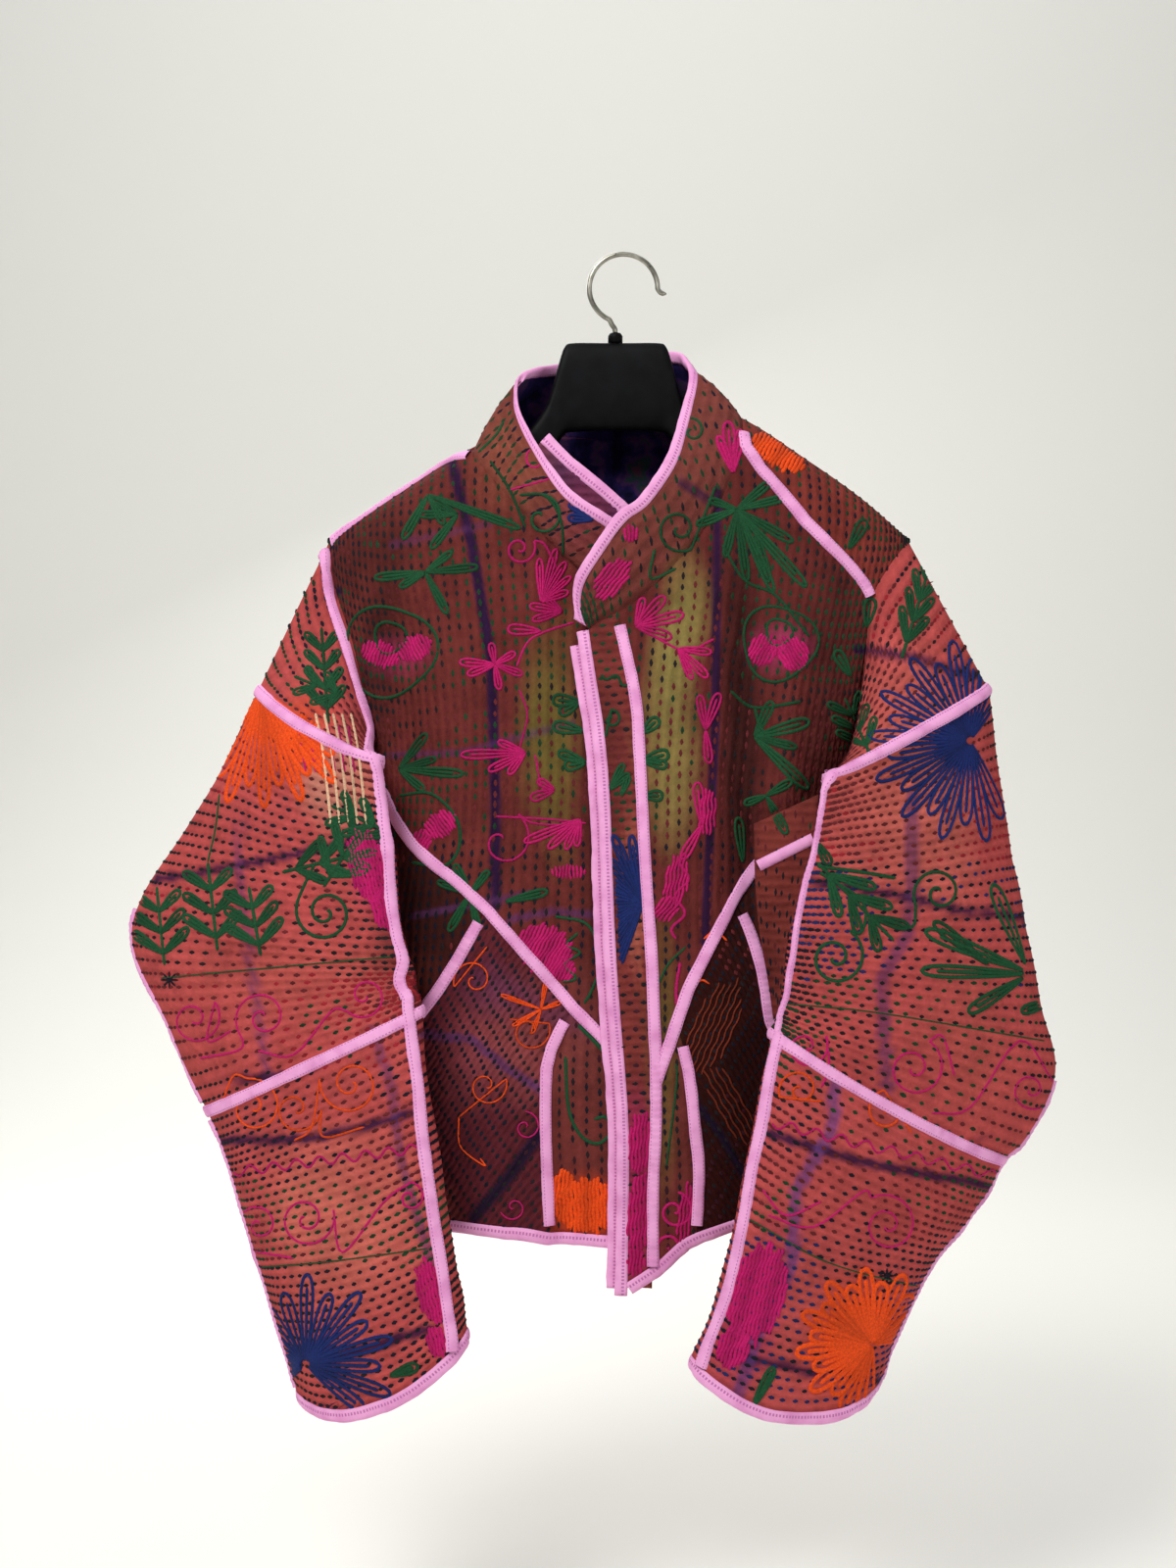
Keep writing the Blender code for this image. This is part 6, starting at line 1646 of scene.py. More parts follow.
@dataclass
class Tapes:
    """Pink bias tape, over seams or round edges. Sections give shares across and of the height."""

    width: float = STRIP_WIDTH
    thick: float = STRIP_THICK
    reach: float = BINDING_WIDTH
    step: float = 0.0022
    flat_section: tuple = (
        (-0.5, -0.4), (-0.47, 0.45), (-0.38, 0.8), (-0.2, 0.96), (0.0, 1.0),
        (0.2, 0.96), (0.38, 0.8), (0.47, 0.45), (0.5, -0.4),
    )
    fold_section: tuple = ((0.12, 0.50), (0.4, 0.52), (0.7, 0.46), (0.9, 0.32), (1, 0.1))
    fold_start: tuple = (-0.0008, 0.40)

    def pulls(self, along: Array, seed: float) -> tuple[Array, Array]:
        """Shares of width and of height along a tape, uneven from its stitches."""
        flat = np.zeros_like(along)
        wide = 1 + 0.05 * ripple(along, flat, 0.02, seed) + 0.03 * ripple(along, flat, 0.006, seed + 1)
        return wide, 1 + 0.22 * ripple(along, flat, 0.009, seed + 2) + 0.12 * np.sin(
            along * 2 * math.pi / 0.0048
        )

    def finish_piece(self, piece: bpy.types.Object, node: str) -> None:
        """Dresses a tape in place of its solid."""
        dress(piece, "pink_binding", TAPE, node)

    def laid(
        self, node: str, surface: Surface, path: Array, width: float = 0.0, lift: float = 0.0,
        slim: tuple = (),
    ) -> None:
        """Lays a tape over a seam.

        Args:
            node: The solid that it stands for.
            surface: The cloth under it.
            path: Places of its middle line.
            width: Its width, or 0 for the usual one.
            lift: Further height over the cloth.
            slim: Where its folded stretch starts and ends along v, if it has one.
        """
        width = width or self.width
        fine = curve(path, int(run_of(surface.point(*path.T))[-1] / self.step) + 3)
        point, facing = surface.at(fine)
        side = unit(np.cross(facing, unit(np.gradient(point, axis=0))))
        along = run_of(point)
        wide, tall = self.pulls(along, len(node) * 1.7)
        if slim:
            wide = wide * (
                1 - 0.5 * np.clip(np.minimum(fine[:, 1] - slim[0], slim[1] - fine[:, 1]) / 0.25, 0, 1)
            )
        u_side, v_side = (move / (2 * SMALL) for move in surface.ahead(*fine.T))
        uu, vv, uv = (u_side**2).sum(-1), (v_side**2).sum(-1), (u_side * v_side).sum(-1)
        whole = np.maximum(uu * vv - uv * uv, 1e-18)
        columns = []
        for share, rise in self.flat_section:
            move = side * share * width * wide[:, None]
            mu, mv = (u_side * move).sum(-1), (v_side * move).sum(-1)
            place = surface.point(
                fine[:, 0] + (vv * mu - uv * mv) / whole, fine[:, 1] + (uu * mv - uv * mu) / whole,
            )
            far = np.linalg.norm(place - point, axis=1) > width
            place[far] = (point + move)[far]
            height = np.where(rise > 0, rise * tall * self.thick + lift, rise * self.thick)
            columns.append(place + facing * (height + 0.0004)[:, None])
        grid = np.stack(columns, axis=1)
        flat = columns_of(np.array(self.flat_section)[:, 0] + 0.5, along[:, None])
        piece = ribbons(f"{node}_tape", [grid], [flat], None, np.broadcast_to(facing[:, None], grid.shape))
        self.finish_piece(piece, node)

    def bound(
        self, node: str, edge: Array, normals: Array, towards: Array | tuple, closed: bool = False,
        thick: float = BINDING_THICK, exact: bool = False,
    ) -> None:
        """Folds a tape round an edge.

        Args:
            node: The solid that it stands for.
            edge: Points of the edge, on its outer face.
            normals: Outward directions of the cloth there.
            towards: Which way the tape leaves the edge, roughly unless exact.
            closed: Whether the edge meets itself.
            thick: Its thickness in all.
            exact: Whether towards is just the way.
        """
        if closed:
            edge, normals = np.concatenate([edge, edge[:1]]), np.concatenate([normals, normals[:1]])
        line = curve(edge, int(run_of(edge)[-1] / self.step) + 3)
        facing = unit(finer(normals, len(line)))
        if closed:
            line, facing = line[:-1], facing[:-1]
        towards = np.asarray(towards, float)
        if towards.ndim == 2:
            towards = finer(towards, len(line))
        if exact:
            away = unit(towards)
        else:
            rolled = np.roll(line, -1, axis=0) - np.roll(line, 1, axis=0)
            ahead = rolled if closed else np.gradient(line, axis=0)
            away = unit(np.cross(unit(ahead), facing))
            away = away * np.sign((away * towards).sum(-1, keepdims=True))
        along = run_of(line)
        wide, tall = self.pulls(along, len(node) * 2.3)
        middle = line - facing * CLOTH / 2
        half = [self.fold_start, *((share * self.reach, rise) for share, rise in self.fold_section)]
        rings = [
            middle + away * (out * wide)[:, None] + facing * (rise * thick * tall)[:, None]
            for out, rise in [*half, *((out, -rise) for out, rise in half[::-1])]
        ]
        self.finish_piece(closed_sweep(f"{node}_tape", np.stack(rings, axis=1), along, closed), node)


@dataclass
class Fronts:
    """Both fronts, their pockets and placket, and the tapes that bind and join them."""

    shop: Wardrobe
    tapes: Tapes
    dyer: Dyer
    seams: dict = field(default_factory=dict)
    outlines: dict = field(default_factory=dict)
    around_steps: int = 9
    side_steps: dict = field(default_factory=lambda: {Side.RIGHT: 8, Side.LEFT: 5})
    side_end: int = 6
    pocket_end: int = 10
    half_binding: float = BINDING_WIDTH / 2 / MM
    guard_reach: float = 24
    guard_depth: float = 0.0041
    guard_thick: float = 0.0014

    def side_seam(self, side: Side) -> tuple[Array, Array]:
        """Places of the side seam on the front, above and below the foot of the pocket seam."""
        right, body = side is Side.RIGHT, self.shop.front(side)
        edge = -1 if right else 1
        outer, hem = (body.at_front(line)[-1, 1] for line in (
            (POCKET_OUTER_RIGHT, HEM_RIGHT) if right else (POCKET_OUTER_LEFT, HEM_LEFT)
        ))
        above = between([edge, body.armhole(side, [1.0])[0, 1]], [edge, outer], self.side_steps[side])
        return above, between([edge, outer], [edge, hem + BINDING_WIDTH / 2], 3)

    def panel(self, node: str, edges: tuple, ground: str) -> None:
        """Makes one panel of a front between its top, bottom, left and right edges; its ground is partly
        painted shade.
        """
        grid = patch(*edges)
        points, normals = (self.shop.covered if "right" in node else self.shop.body).at(grid)
        rows = PLACKET_ROWS if node == "placket" else POCKET_ROWS.get(node, BODY_ROWS)
        slot = "pocket_quilt" if node in POCKET_ROWS else "front_quilt"
        self.shop.sheet(
            node, slot, points, normals, grid * BODY_FLAT, rows, self.dyer.colours(points, ground),
        )
        top, bottom, left, right = edges
        self.outlines[node] = np.concatenate([top, right, bottom[::-1], left[::-1]])

    def lower(
        self, side: Side, diagonal: Array, outer: Array, inner: Array, hem: Array, knots: tuple,
        opening: Array,
    ) -> tuple[Array, Array]:
        """Makes the three panels below the diagonal seam.

        Args:
            side: The side.
            diagonal: Places of the diagonal seam, outside first.
            outer: The pocket's outer seam.
            inner: Its inner seam.
            hem: The hem, opening first.
            knots: Where the pocket's and the other panel's hem start and end.
            opening: The opening edge below the seam.

        Returns:
            The hem line and the opening edge.
        """
        name, first, second = side.value, self.side_end, self.pocket_end
        seam, seam_low = self.side_seam(side)
        seam[0] = diagonal[0]
        outer = curve(outer, first + 2)
        outer[0], outer[-1] = diagonal[first], seam[-1]
        beside = between(diagonal[first], outer[1], self.side_steps[side])
        # The side panels' ground is darker still, as painted shade under the sleeves.
        self.panel(f"front_{name}_side", (diagonal[: first + 1], outer[:0:-1], seam, beside), "#451C18")
        left = joined(outer, seam_low)
        right = curve(inner, len(left))
        right[0] = diagonal[second]
        pocket_hem = by_row(hem, np.linspace(*knots[:2], second - first + 1))
        pocket_hem[0], pocket_hem[-1] = left[-1], right[-1]
        # The left pocket's near-black ground is painted shadow of the left sleeve over it.
        ground = "#5C222A" if side is Side.RIGHT else "#34100E"
        self.panel(f"pocket_{name}", (diagonal[first : second + 1], pocket_hem, left, right), ground)
        foot = by_row(hem, np.linspace(*knots[1:], len(diagonal) - second))
        foot[0] = right[-1]
        opening = curve(opening, len(left))
        opening[0], opening[-1] = diagonal[-1], foot[-1]
        self.panel(f"front_{name}_lower", (diagonal[second:], foot, right, opening), "#6E302C")
        for key, line in ("welt", diagonal), ("outer", outer), ("inner", right):
            self.seams[f"pocket_{name}_{key}"] = line
        return joined(pocket_hem, foot), opening

    def build(self) -> None:
        """Makes both fronts, and lays the tapes over their seams."""
        self.build_right()
        self.build_left()
        for node, first, last in (
            ("shoulder_right", 0.15, 7.2), ("shoulder_left", 0.4, 7.6), ("pocket_right_welt", 0.9, 14.9),
            ("pocket_right_outer", 0.5, 6.6), ("pocket_right_inner", 0.7, 8.7),
            ("pocket_left_welt", 4.2, 13.9), ("pocket_left_outer", 0.5, 6.6),
            ("pocket_left_inner", 1.0, 8.7),
            ("placket_seam", 0.15, len(self.seams["placket_seam"]) - 1.05),
        ):
            line, surface = self.seams[node], self.shop.covered if "right" in node else self.shop.body
            last = min(last, len(line) - 1)
            self.tapes.laid(f"{node}_strip", surface, finer(line, int((last - first) * 3) + 2, first, last))

    def build_right(self) -> None:
        """The right front, which the left one covers along the opening."""
        body = self.shop.covered
        neck_edge = self.shop.collar.neck(20, 13, 8)
        side_edge = body.relieved(Side.RIGHT, np.linspace(0, 1, self.around_steps + 1), 0.35)
        side_edge[0, 1] = FRONT_OF_RIDGE
        top = joined(neck_edge, between(neck_edge[-1] * (1, 0) + (0, FRONT_OF_RIDGE), side_edge[0], 9))
        knots = np.concatenate(
            [np.linspace(0, 5, 7), np.linspace(5, 7.2, 5)[1:], np.linspace(7.2, 9, 6)[1:]]
        )
        diagonal = by_row(body.at_front(DIAGONAL_RIGHT), knots)
        diagonal[0] = side_edge[-1]
        opening = between(top[0], diagonal[-1], self.around_steps + 1)
        self.panel("front_right_upper", (top, diagonal[::-1], opening, side_edge), "#6A2C28")
        self.seams["shoulder_right"] = top[len(neck_edge) - 1 :] - (0, 0.0062)
        hem = body.at_front(np.array(HEM_RIGHT) + (0, self.half_binding))
        outer, inner = body.at_front(POCKET_OUTER_RIGHT), body.at_front(POCKET_INNER_RIGHT)
        low_opening = np.stack([diagonal[-1], hem[0]])
        hem_line, _ = self.lower(Side.RIGHT, diagonal, outer, inner, hem, (6, 2, 0), low_opening)
        self.bind_hem("hem_front_right_binding", hem_line, body)

    def build_left(self) -> None:
        """The left front, on top, with its placket."""
        body, neck = self.shop.body, self.shop.collar.neck
        neck_edge = neck(2, 8, 7)
        armhole = body.relieved(Side.LEFT, np.linspace(1 / 3, 1, 7), 0.35)
        shoulder = body.at_front(SHOULDER_SEAM_LEFT)
        shoulder[0], shoulder[-1] = neck_edge[-1], armhole[0]
        shoulder = curve(shoulder, 9)
        top = joined(neck_edge, shoulder)
        knots = np.concatenate(
            [np.linspace(0, 4, 7), np.linspace(4, 6.7, 5)[1:], np.linspace(6.7, 8, 5)[1:]]
        )
        diagonal = by_row(body.at_front(DIAGONAL_LEFT), knots)
        diagonal[0] = armhole[-1]
        seam = body.at_front(PLACKET_SEAM[:7] + [DIAGONAL_LEFT[-1]])
        seam[0], seam[-1] = top[0], diagonal[-1]
        opening = curve(seam, len(armhole))
        self.panel("front_left_upper", (top, diagonal[::-1], opening, armhole), "#642926")
        hem = body.at_front(np.array(HEM_LEFT) + (0, self.half_binding))
        outer, inner = body.at_front(POCKET_OUTER_LEFT), body.at_front(POCKET_INNER_LEFT)
        low_seam = body.at_front([DIAGONAL_LEFT[-1]] + PLACKET_SEAM[7:])
        hem_line, low_opening = self.lower(Side.LEFT, diagonal, outer, inner, hem, (5, 2, 0.92), low_seam)
        seam = joined(opening, low_opening)
        self.seams["placket_seam"], self.seams["shoulder_left"] = seam, shoulder
        edge = body.at_front(np.array(PLACKET_EDGE) + (self.half_binding, 0))
        edge[0] = neck(0, 1, 2)[0]
        bottom = by_row(hem, np.linspace(0.12, 0.92, 3))
        bottom[-1], edge[-1] = hem_line[-1], bottom[0]
        line = curve(edge, len(seam))
        self.panel("placket", (neck(0, 2, 3), bottom, line, seam), "#7C3430")
        line[0] += (line[1] - line[0]) * 0.12
        last = body.point(*line[-1]) - body.point(*line[-2])
        line[-1] += (line[-1] - line[-2]) * BINDING_WIDTH / np.linalg.norm(last)
        self.tapes.bound("placket_binding", *body.at(finer(line, 80)), (-1, 0, 0))
        self.bind_hem("hem_front_left_binding", joined(hem_line, bottom[::-1]), body)

    def bind_hem(self, node: str, places: Array, body: BodySurface) -> None:
        """Binds a stretch of hem."""
        self.tapes.bound(node, *body.at(finer(places, 90)), (0, 0, -1))

    def guard(self) -> None:
        """The bound guard behind the placket."""
        body = self.shop.body
        edge, beside = (
            curve(body.at_front(np.array(GUARD_EDGE) + (self.half_binding + more, 0)), 150) for more in (
                0, self.guard_reach,
            )
        )
        grid = mixed(edge[:, None], beside[:, None], np.linspace(0, 1, 9)[:, None])
        points, normals = body.at(grid)
        behind, thick = points - normals * self.guard_depth, self.guard_thick
        flat, dye = grid * BODY_FLAT * (1, -1), self.dyer.colours(behind, "#8C4A40")
        self.shop.sheet(
            "placket_guard", "front_quilt", behind, normals, flat, PLACKET_ROWS, dye, thick=thick,
            drawn_on=False,
        )
        outer = behind[:, 0] + normals[:, 0] * (CLOTH - thick) / 2
        self.tapes.bound("placket_guard_binding", outer, normals[:, 0], (-1, 0, 0), thick=0.0024)


@dataclass
class Back:
    """The back, cut in one with its yoke, and its bound hem."""

    shop: Wardrobe
    fronts: Fronts
    dyer: Dyer
    outline: Array | None = None
    step: float = 0.004

    def build(self) -> None:
        """Makes the back."""
        body, ridge = self.shop.body, (0, -FRONT_OF_RIDGE)
        neck_edge = self.shop.collar.neck(13, 8, 6)
        corner = body.relieved(Side.RIGHT, [0.0])[0] * (1, 0) + ridge
        top = joined(
            between(corner, neck_edge[0] * (1, 0) + ridge, 9), neck_edge, self.fronts.seams["shoulder_left"],
        )
        right, left = [], [body.relieved(Side.LEFT, np.linspace(1 / 3, 0, 4), 0.0)]
        for side, edges in ((Side.RIGHT, right), (Side.LEFT, left)):
            edge = body.relieved(side, np.linspace(2 - 1e-9, 1 + 1e-9, 10), 0.0)
            seam = joined(*self.fronts.side_seam(side)) * (1, -1)
            edge[-1] = seam[0]
            edges += [edge, seam]
        right, left = joined(*right), joined(*left)
        right[0] = top[0]
        right = finer(right, len(left))
        around = np.linspace(-1, 1, len(top))
        height = mixed(body.point(*right[-1])[2], body.point(*left[-1])[2], (1 + around) / 2)
        level = body.across(height, np.sin(around * math.pi / 2))
        bottom = columns_of(around, body.place(level, height, 1)[:, 1])
        bottom[0], bottom[-1] = right[-1], left[-1]
        grid = settled(patch(top, bottom, right, left, self.step))
        points, normals = body.at(grid)
        dye = self.dyer.colours(points, "#7D332C")
        flat = grid * BODY_FLAT
        self.shop.sheet(
            "back", "back_quilt", points, normals, flat, BODY_ROWS, dye, rests_on=["hanger_arms"],
        )
        self.fronts.bind_hem("hem_back_binding", bottom, body)
        self.outline = np.concatenate([top, left, bottom[::-1], right[::-1]])


@dataclass
class Collar:
    """The stand collar, bound along its top, and the short guard inside it."""

    shop: Wardrobe
    tapes: Tapes
    dyer: Dyer
    tall: float = 0.032
    guard_depths: tuple = (-0.0328, -0.0408)
    guard_drop: tuple = (-0.0145, 0.001, -0.0165)
    guard_thick: float = 0.0018

    def build(self) -> None:
        """Makes the collar and its guard."""
        surface, rows = self.shop.collar, np.linspace(0, 20, 190)
        seam, top = surface.point(rows, 0), surface.point(rows, 1)
        high = np.maximum(1 - BINDING_WIDTH / 2 / np.linalg.norm(top - seam, axis=1), 0.3)
        height = high * np.linspace(0, 1, 14)[:, None]
        points, normals = surface.at(columns_of(rows, height))
        flat = columns_of(run_of(top), height * self.tall)
        dye = self.dyer.colours(points, "#773B34")
        self.shop.sheet("collar", "front_quilt", points, normals, flat, COLLAR_ROWS, dye)
        self.tapes.bound("collar_binding", *surface.at(columns_of(rows, high)), unit(top - seam), exact=True)
        edge, depth = curve(COLLAR_GUARD_TOP, 30) * MM, np.linspace(*self.guard_depths, 30)
        x, z = at_depth(edge[:, 0], edge[:, 1], depth)
        outer = columns_of(x, depth, z)
        grid = mixed(outer, outer + self.guard_drop, np.linspace(0, 1, 8)[:, None, None])
        normal = unit(np.cross(np.gradient(outer, axis=0), self.guard_drop))
        normal = normal * np.sign(-normal[:, 1:2])
        normals, dye = np.broadcast_to(normal, grid.shape), self.dyer.colours(grid, "#4B2A58")
        self.shop.sheet(
            "collar_guard", "front_quilt", grid, normals, grid[..., [0, 2]], COLLAR_ROWS, dye,
            thick=self.guard_thick, drawn_on=False,
        )
        self.tapes.bound("collar_guard_binding", outer, normal, -np.array(self.guard_drop), thick=0.003)


@dataclass
class Sleeve:
    """One sleeve in its three cuts, with its bands, long tape, elbow tapes and bound cuff."""

    side: Side
    shop: Wardrobe
    tapes: Tapes
    dyer: Dyer
    around: int = 124
    step: float = 0.0034
    first_row: float = 0.004
    fold_lift: float = 0.0009
    elbow_width: float = 0.006

    def __post_init__(self) -> None:
        """Works out where its rows lie along it."""
        self.surface = SleeveSurface(self.side)
        self.cuff = len(self.surface.rings) - 0.1
        self.second = float(SECOND_BAND_RING[self.side.value])
        self.rows = np.linspace(0, self.cuff, 400)
        self.along = run_of((self.surface.point(0.35, self.rows) + self.surface.point(0.75, self.rows)) / 2)

    def strip_turn(self, row: Array) -> Array:
        """Where the long tape lies round the sleeve."""
        turns = {
            Side.RIGHT: [0.60, 0.72, 0.82, 0.88, 0.9, 0.88, 0.86, 0.83, 0.8],
            Side.LEFT: [0.60, 0.74, 0.84, 0.9, 0.92, 0.92, 0.92, 0.9, 0.88],
        }
        return smooth_table(row, [0.0, 0.35, 0.75, 1.2, 3, 5, 7, 9, 12], turns[self.side])

    def build(self) -> None:
        """Makes the sleeve."""
        name, last, second, surface = self.side.value, self.cuff, self.second, self.surface
        rests = [f"front_{name}_upper_quilt"]
        for part, start, end in (
            ("upper", self.first_row, 1.0), ("middle", 1.0, second), ("lower", second, last),
        ):
            low, high = np.interp([start, end], self.rows, self.along)
            rows = np.interp(
                np.linspace(low, high, int((high - low) / self.step) + 2), self.along, self.rows,
            )
            turn, row = np.meshgrid(np.linspace(0, 2, self.around + 1), rows)
            normals, folded = surface.dressing(turn, row)
            points = surface.point(turn, row) + folded * self.fold_lift
            points[:, -1], normals[:, -1] = points[:, 0], normals[:, 0]
            flat = columns_of(turn * SLEEVE_FLAT, np.interp(row, self.rows, self.along))
            node, dye = f"sleeve_{name}_{part}", self.dyer.colours(points, "#B64C4A")
            self.shop.sheet(
                node, "sleeve_quilt", points, normals, flat, SLEEVE_ROWS, dye, closed=True, rests_on=rests,
            )
            rests = [f"{node}_quilt"]
        turns = np.linspace(0, 2, 160, endpoint=False)
        edge, normals = surface.at(columns_of(turns, last))
        self.tapes.bound(
            f"cuff_{name}_binding", edge, normals, edge - surface.point(turns, last - 0.05), closed=True,
        )
        for number, ring in (("first", 1.0), ("second", second)):
            middle = float(self.strip_turn(ring))
            path = columns_of(np.linspace(middle + 0.02, middle + 1.98, 60), ring)
            self.tapes.laid(f"sleeve_{name}_{number}_band", surface, path)
        right = self.side is Side.RIGHT
        rows = np.linspace(0.15 if right else 0.95, last - 0.02, 60)
        path = columns_of(self.strip_turn(rows), rows)
        if right:
            path = np.concatenate(
                [columns_of(np.linspace(0.003, 0.57, 24), np.linspace(0.08, 0.12, 24)), path]
            )
        slim = () if right else (1.1, second)
        self.tapes.laid(f"sleeve_{name}_long_strip", surface, path, lift=0.0006, slim=slim)
        for part, start, end in (
            ("upper", ELBOW_RING[name], second - 0.12), ("lower", second + 0.12, last - 0.02),
        ):
            path = columns_of(0.0, np.linspace(start, end, 30))
            self.tapes.laid(f"elbow_{name}_{part}_strip", surface, path, width=self.elbow_width)


@dataclass
class UnderSleeve:
    """The cloth of the left sleeve's underside that shows beside the front, with its short band."""

    shop: Wardrobe
    tapes: Tapes
    dyer: Dyer
    depth: float = 0.069
    tilt: float = 0.0075
    band_row: int = 9
    band_length: float = 0.04
    band_section: tuple = ((-0.5, 0.0), (-0.4, 0.8), (0.0, 1.0), (0.4, 0.8), (0.5, 0.0))

    def build(self) -> None:
        """Makes the cloth, its stitches and its band."""
        inner, outer = (curve(line, 50)[:, None] * MM for line in (UNDER_SLEEVE_INNER, UNDER_SLEEVE_OUTER))
        share = np.linspace(0, 1, 18)
        seen = mixed(inner, outer, share[:, None])
        seen_x, seen_z = seen[..., 0], seen[..., 1]
        depth = -self.depth - self.tilt * share**2 - 0.0012 * ripple(seen_x, seen_z, 0.03, 41)
        x, z = at_depth(seen_x, seen_z, depth)
        grid = columns_of(x, depth, z)
        normal = unit(np.cross(np.gradient(grid, axis=1), np.gradient(grid, axis=0)))
        normal = normal * np.sign(-normal[..., 1:2])
        dye = self.dyer.colours(grid, "#7A342E")
        self.shop.sheet(
            "sleeve_left_under", "sleeve_quilt", grid, normal, grid[..., [0, 2]], SLEEVE_ROWS, dye,
        )
        down, over = np.meshgrid(np.arange(1, 49, 4.4), np.arange(1, 17, 2.4), indexing="ij")
        down = np.round(down + over * 0.7 - 6)
        within = (down > 0) & (down < 49)
        at = down[within].astype(int), np.round(over[within]).astype(int)
        stitches = RunningStitches(BODY_ZONES, 0.0048, 0.0026)
        threads(
            "stitches_left_underarm", "sleeve_quilt", *stitches.raised(
                grid[at], normal[at], unit(np.gradient(grid, axis=0)[at]),
            )
        )
        edge, facing = grid[self.band_row, 1:-1], normal[self.band_row, 1:-1]
        edge = edge + facing * 0.0002
        side = unit(np.cross(unit(np.gradient(edge, axis=0)), facing))
        band = np.stack([
            edge + side * over * BINDING_WIDTH + facing * (rise * STRIP_THICK - 0.0003)
            for over, rise in self.band_section
        ], axis=1)
        flat = columns_of(np.linspace(0, 1, 5), np.linspace(0, self.band_length, len(band))[:, None])
        outward = np.broadcast_to(facing[:, None], band.shape)
        piece = ribbons("sleeve_left_under_band_tape", [band], [flat], None, outward)
        self.tapes.finish_piece(piece, "sleeve_left_under_band")


@dataclass
class Hanger:
    """The wide moulded suit hanger with its wire hook and the boss that holds it."""

    sides: int = 40
    hook_sides: int = 20
    boss_sides: int = 28
    hook_turn: float = 246.0

    def round_of(self, sides: int) -> tuple[Array, Array]:
        """Cosines and sines of even steps round a ring."""
        angles = np.linspace(0, 2 * math.pi, sides, endpoint=False)
        return np.cos(angles), np.sin(angles)

    def build(self) -> None:
        """Makes the arms and plate, the hook and the boss."""
        rows = curve(HANGER_HALF, 46)
        x, top_z, height, half_depth = np.concatenate([rows[::-1] * (-1, 1, 1, 1), rows]).T[..., None] * MM
        cos, sin = self.round_of(self.sides)
        depth = np.sign(cos) * np.abs(cos) ** 0.62 * half_depth
        upward = np.sign(sin) * np.abs(sin) ** 0.5 * height / 2
        arms = columns_of(HANGER_MIDDLE + x, depth, top_z - height / 2 + upward)
        dress(closed_sweep("hanger_arms", arms), "black_plastic", PLASTIC, "hanger_body")

        turn = np.linspace(0.0, math.radians(self.hook_turn), 60)
        arc = HOOK_CENTRE + HOOK_RADIUS * columns_of(np.cos(turn), np.sin(turn))
        tip, stem = np.array(HOOK_TIP) * MM, np.array(HOOK_STEM) * MM
        line = spaced(
            np.concatenate([curve([*tip, arc[0]], 16)[:-1], arc, curve([arc[-1], *stem], 16)[1:]]), 110,
        )
        x, z = line.T[..., None]
        dx, dz = unit(np.gradient(line, axis=0)).T[..., None]
        wire = HOOK_WIRE * np.minimum(1, 0.3 + np.arange(len(line)) / 3)[:, None]
        cos, sin = self.round_of(self.hook_sides)
        hook = columns_of(x - dz * cos * wire, sin * wire, z + dx * cos * wire)
        dress(closed_sweep("wire_hook", hook), "zinc_wire", WIRE, "hanger_hook")

        height, radius = np.array([
            (BOSS_FOOT, 1.0), (BOSS_FOOT + 0.0046, 1.0), (BOSS_FOOT + 0.0052, 0.96),
            (BOSS_TOP - 0.0006, 0.84), (BOSS_TOP, 0.76),
        ]).T[..., None]
        cos, sin = self.round_of(self.boss_sides)
        boss = columns_of(HANGER_MIDDLE + cos * BOSS_RADIUS * radius, sin * BOSS_RADIUS * radius, height)
        dress(closed_sweep("hook_boss", boss), "black_plastic", PLASTIC, "hanger_boss")


@dataclass
class Studio:
    """Camera, lights (name, place, aim, size, power), and a pale floor that curves up to a backdrop."""

    lights: tuple = (
        ("key", (-0.9, -1.6, 1.3), (-0.02, 0, -0.42), 0.9, 44.0),
        ("fill", (1.6, -1.5, -0.1), (-0.02, 0, -0.45), 1.6, 9.0),
        ("back", (-0.7, 1.9, 1.0), (-0.02, 0, -0.42), 1.2, 34.0),
        ("wash", (0.0, 0.9, 1.9), (0, 2.9, -0.3), 2.4, 24.0),
    )
    sky: float = 0.26
    floor_end: float = 1.8
    bend: float = 0.8
    floor: float = -1.0

    def build(self) -> None:
        """Sets the camera where the picture was taken, and soft lights."""
        scene = bpy.context.scene
        camera, world = bpy.data.cameras.new("camera"), bpy.data.worlds.new("studio")
        camera.sensor_fit, camera.sensor_height, camera.lens = "VERTICAL", 24.0, 24 * 1.5 / 1.12
        camera.clip_end = 50
        scene.camera, scene.world = placed("camera", camera, VIEWPOINT, (math.pi / 2, 0, 0)), world
        world.use_nodes = True
        sky = world.node_tree.nodes["Background"]
        sky.inputs[0].default_value, sky.inputs[1].default_value = linear("#F2F3F5"), self.sky
        scene.view_settings.view_transform = "Standard"
        for name, place, aim, size, power in self.lights:
            light = bpy.data.lights.new(name, "AREA")
            light.size, light.energy = size, power
            placed(name, light, place, (Vector(aim) - Vector(place)).to_track_quat("-Z", "Y").to_euler())
        mesh = bpy.data.meshes.new("backdrop")
        reworked(mesh, self.backdrop)
        mesh.polygons.foreach_set("use_smooth", np.ones(len(mesh.polygons), bool))
        mesh.materials.append(PaperFinish().material())
        placed("backdrop", mesh)

    def backdrop(self, sheet: bmesh.types.BMesh) -> None:
        """The floor, its bend and the wall behind, as one sheet."""
        bmesh.ops.create_grid(sheet, x_segments=60, y_segments=90, size=6)
        for vertex in sheet.verts:
            x, y, _ = vertex.co
            turn = min(max((y - self.floor_end) / self.bend, 0.0), math.pi / 2)
            past = max(y - self.floor_end - self.bend * math.pi / 2, 0.0)
            along = min(y, self.floor_end) + self.bend * math.sin(turn)
            vertex.co = (x, along, self.floor + self.bend * (1 - math.cos(turn)) + past)
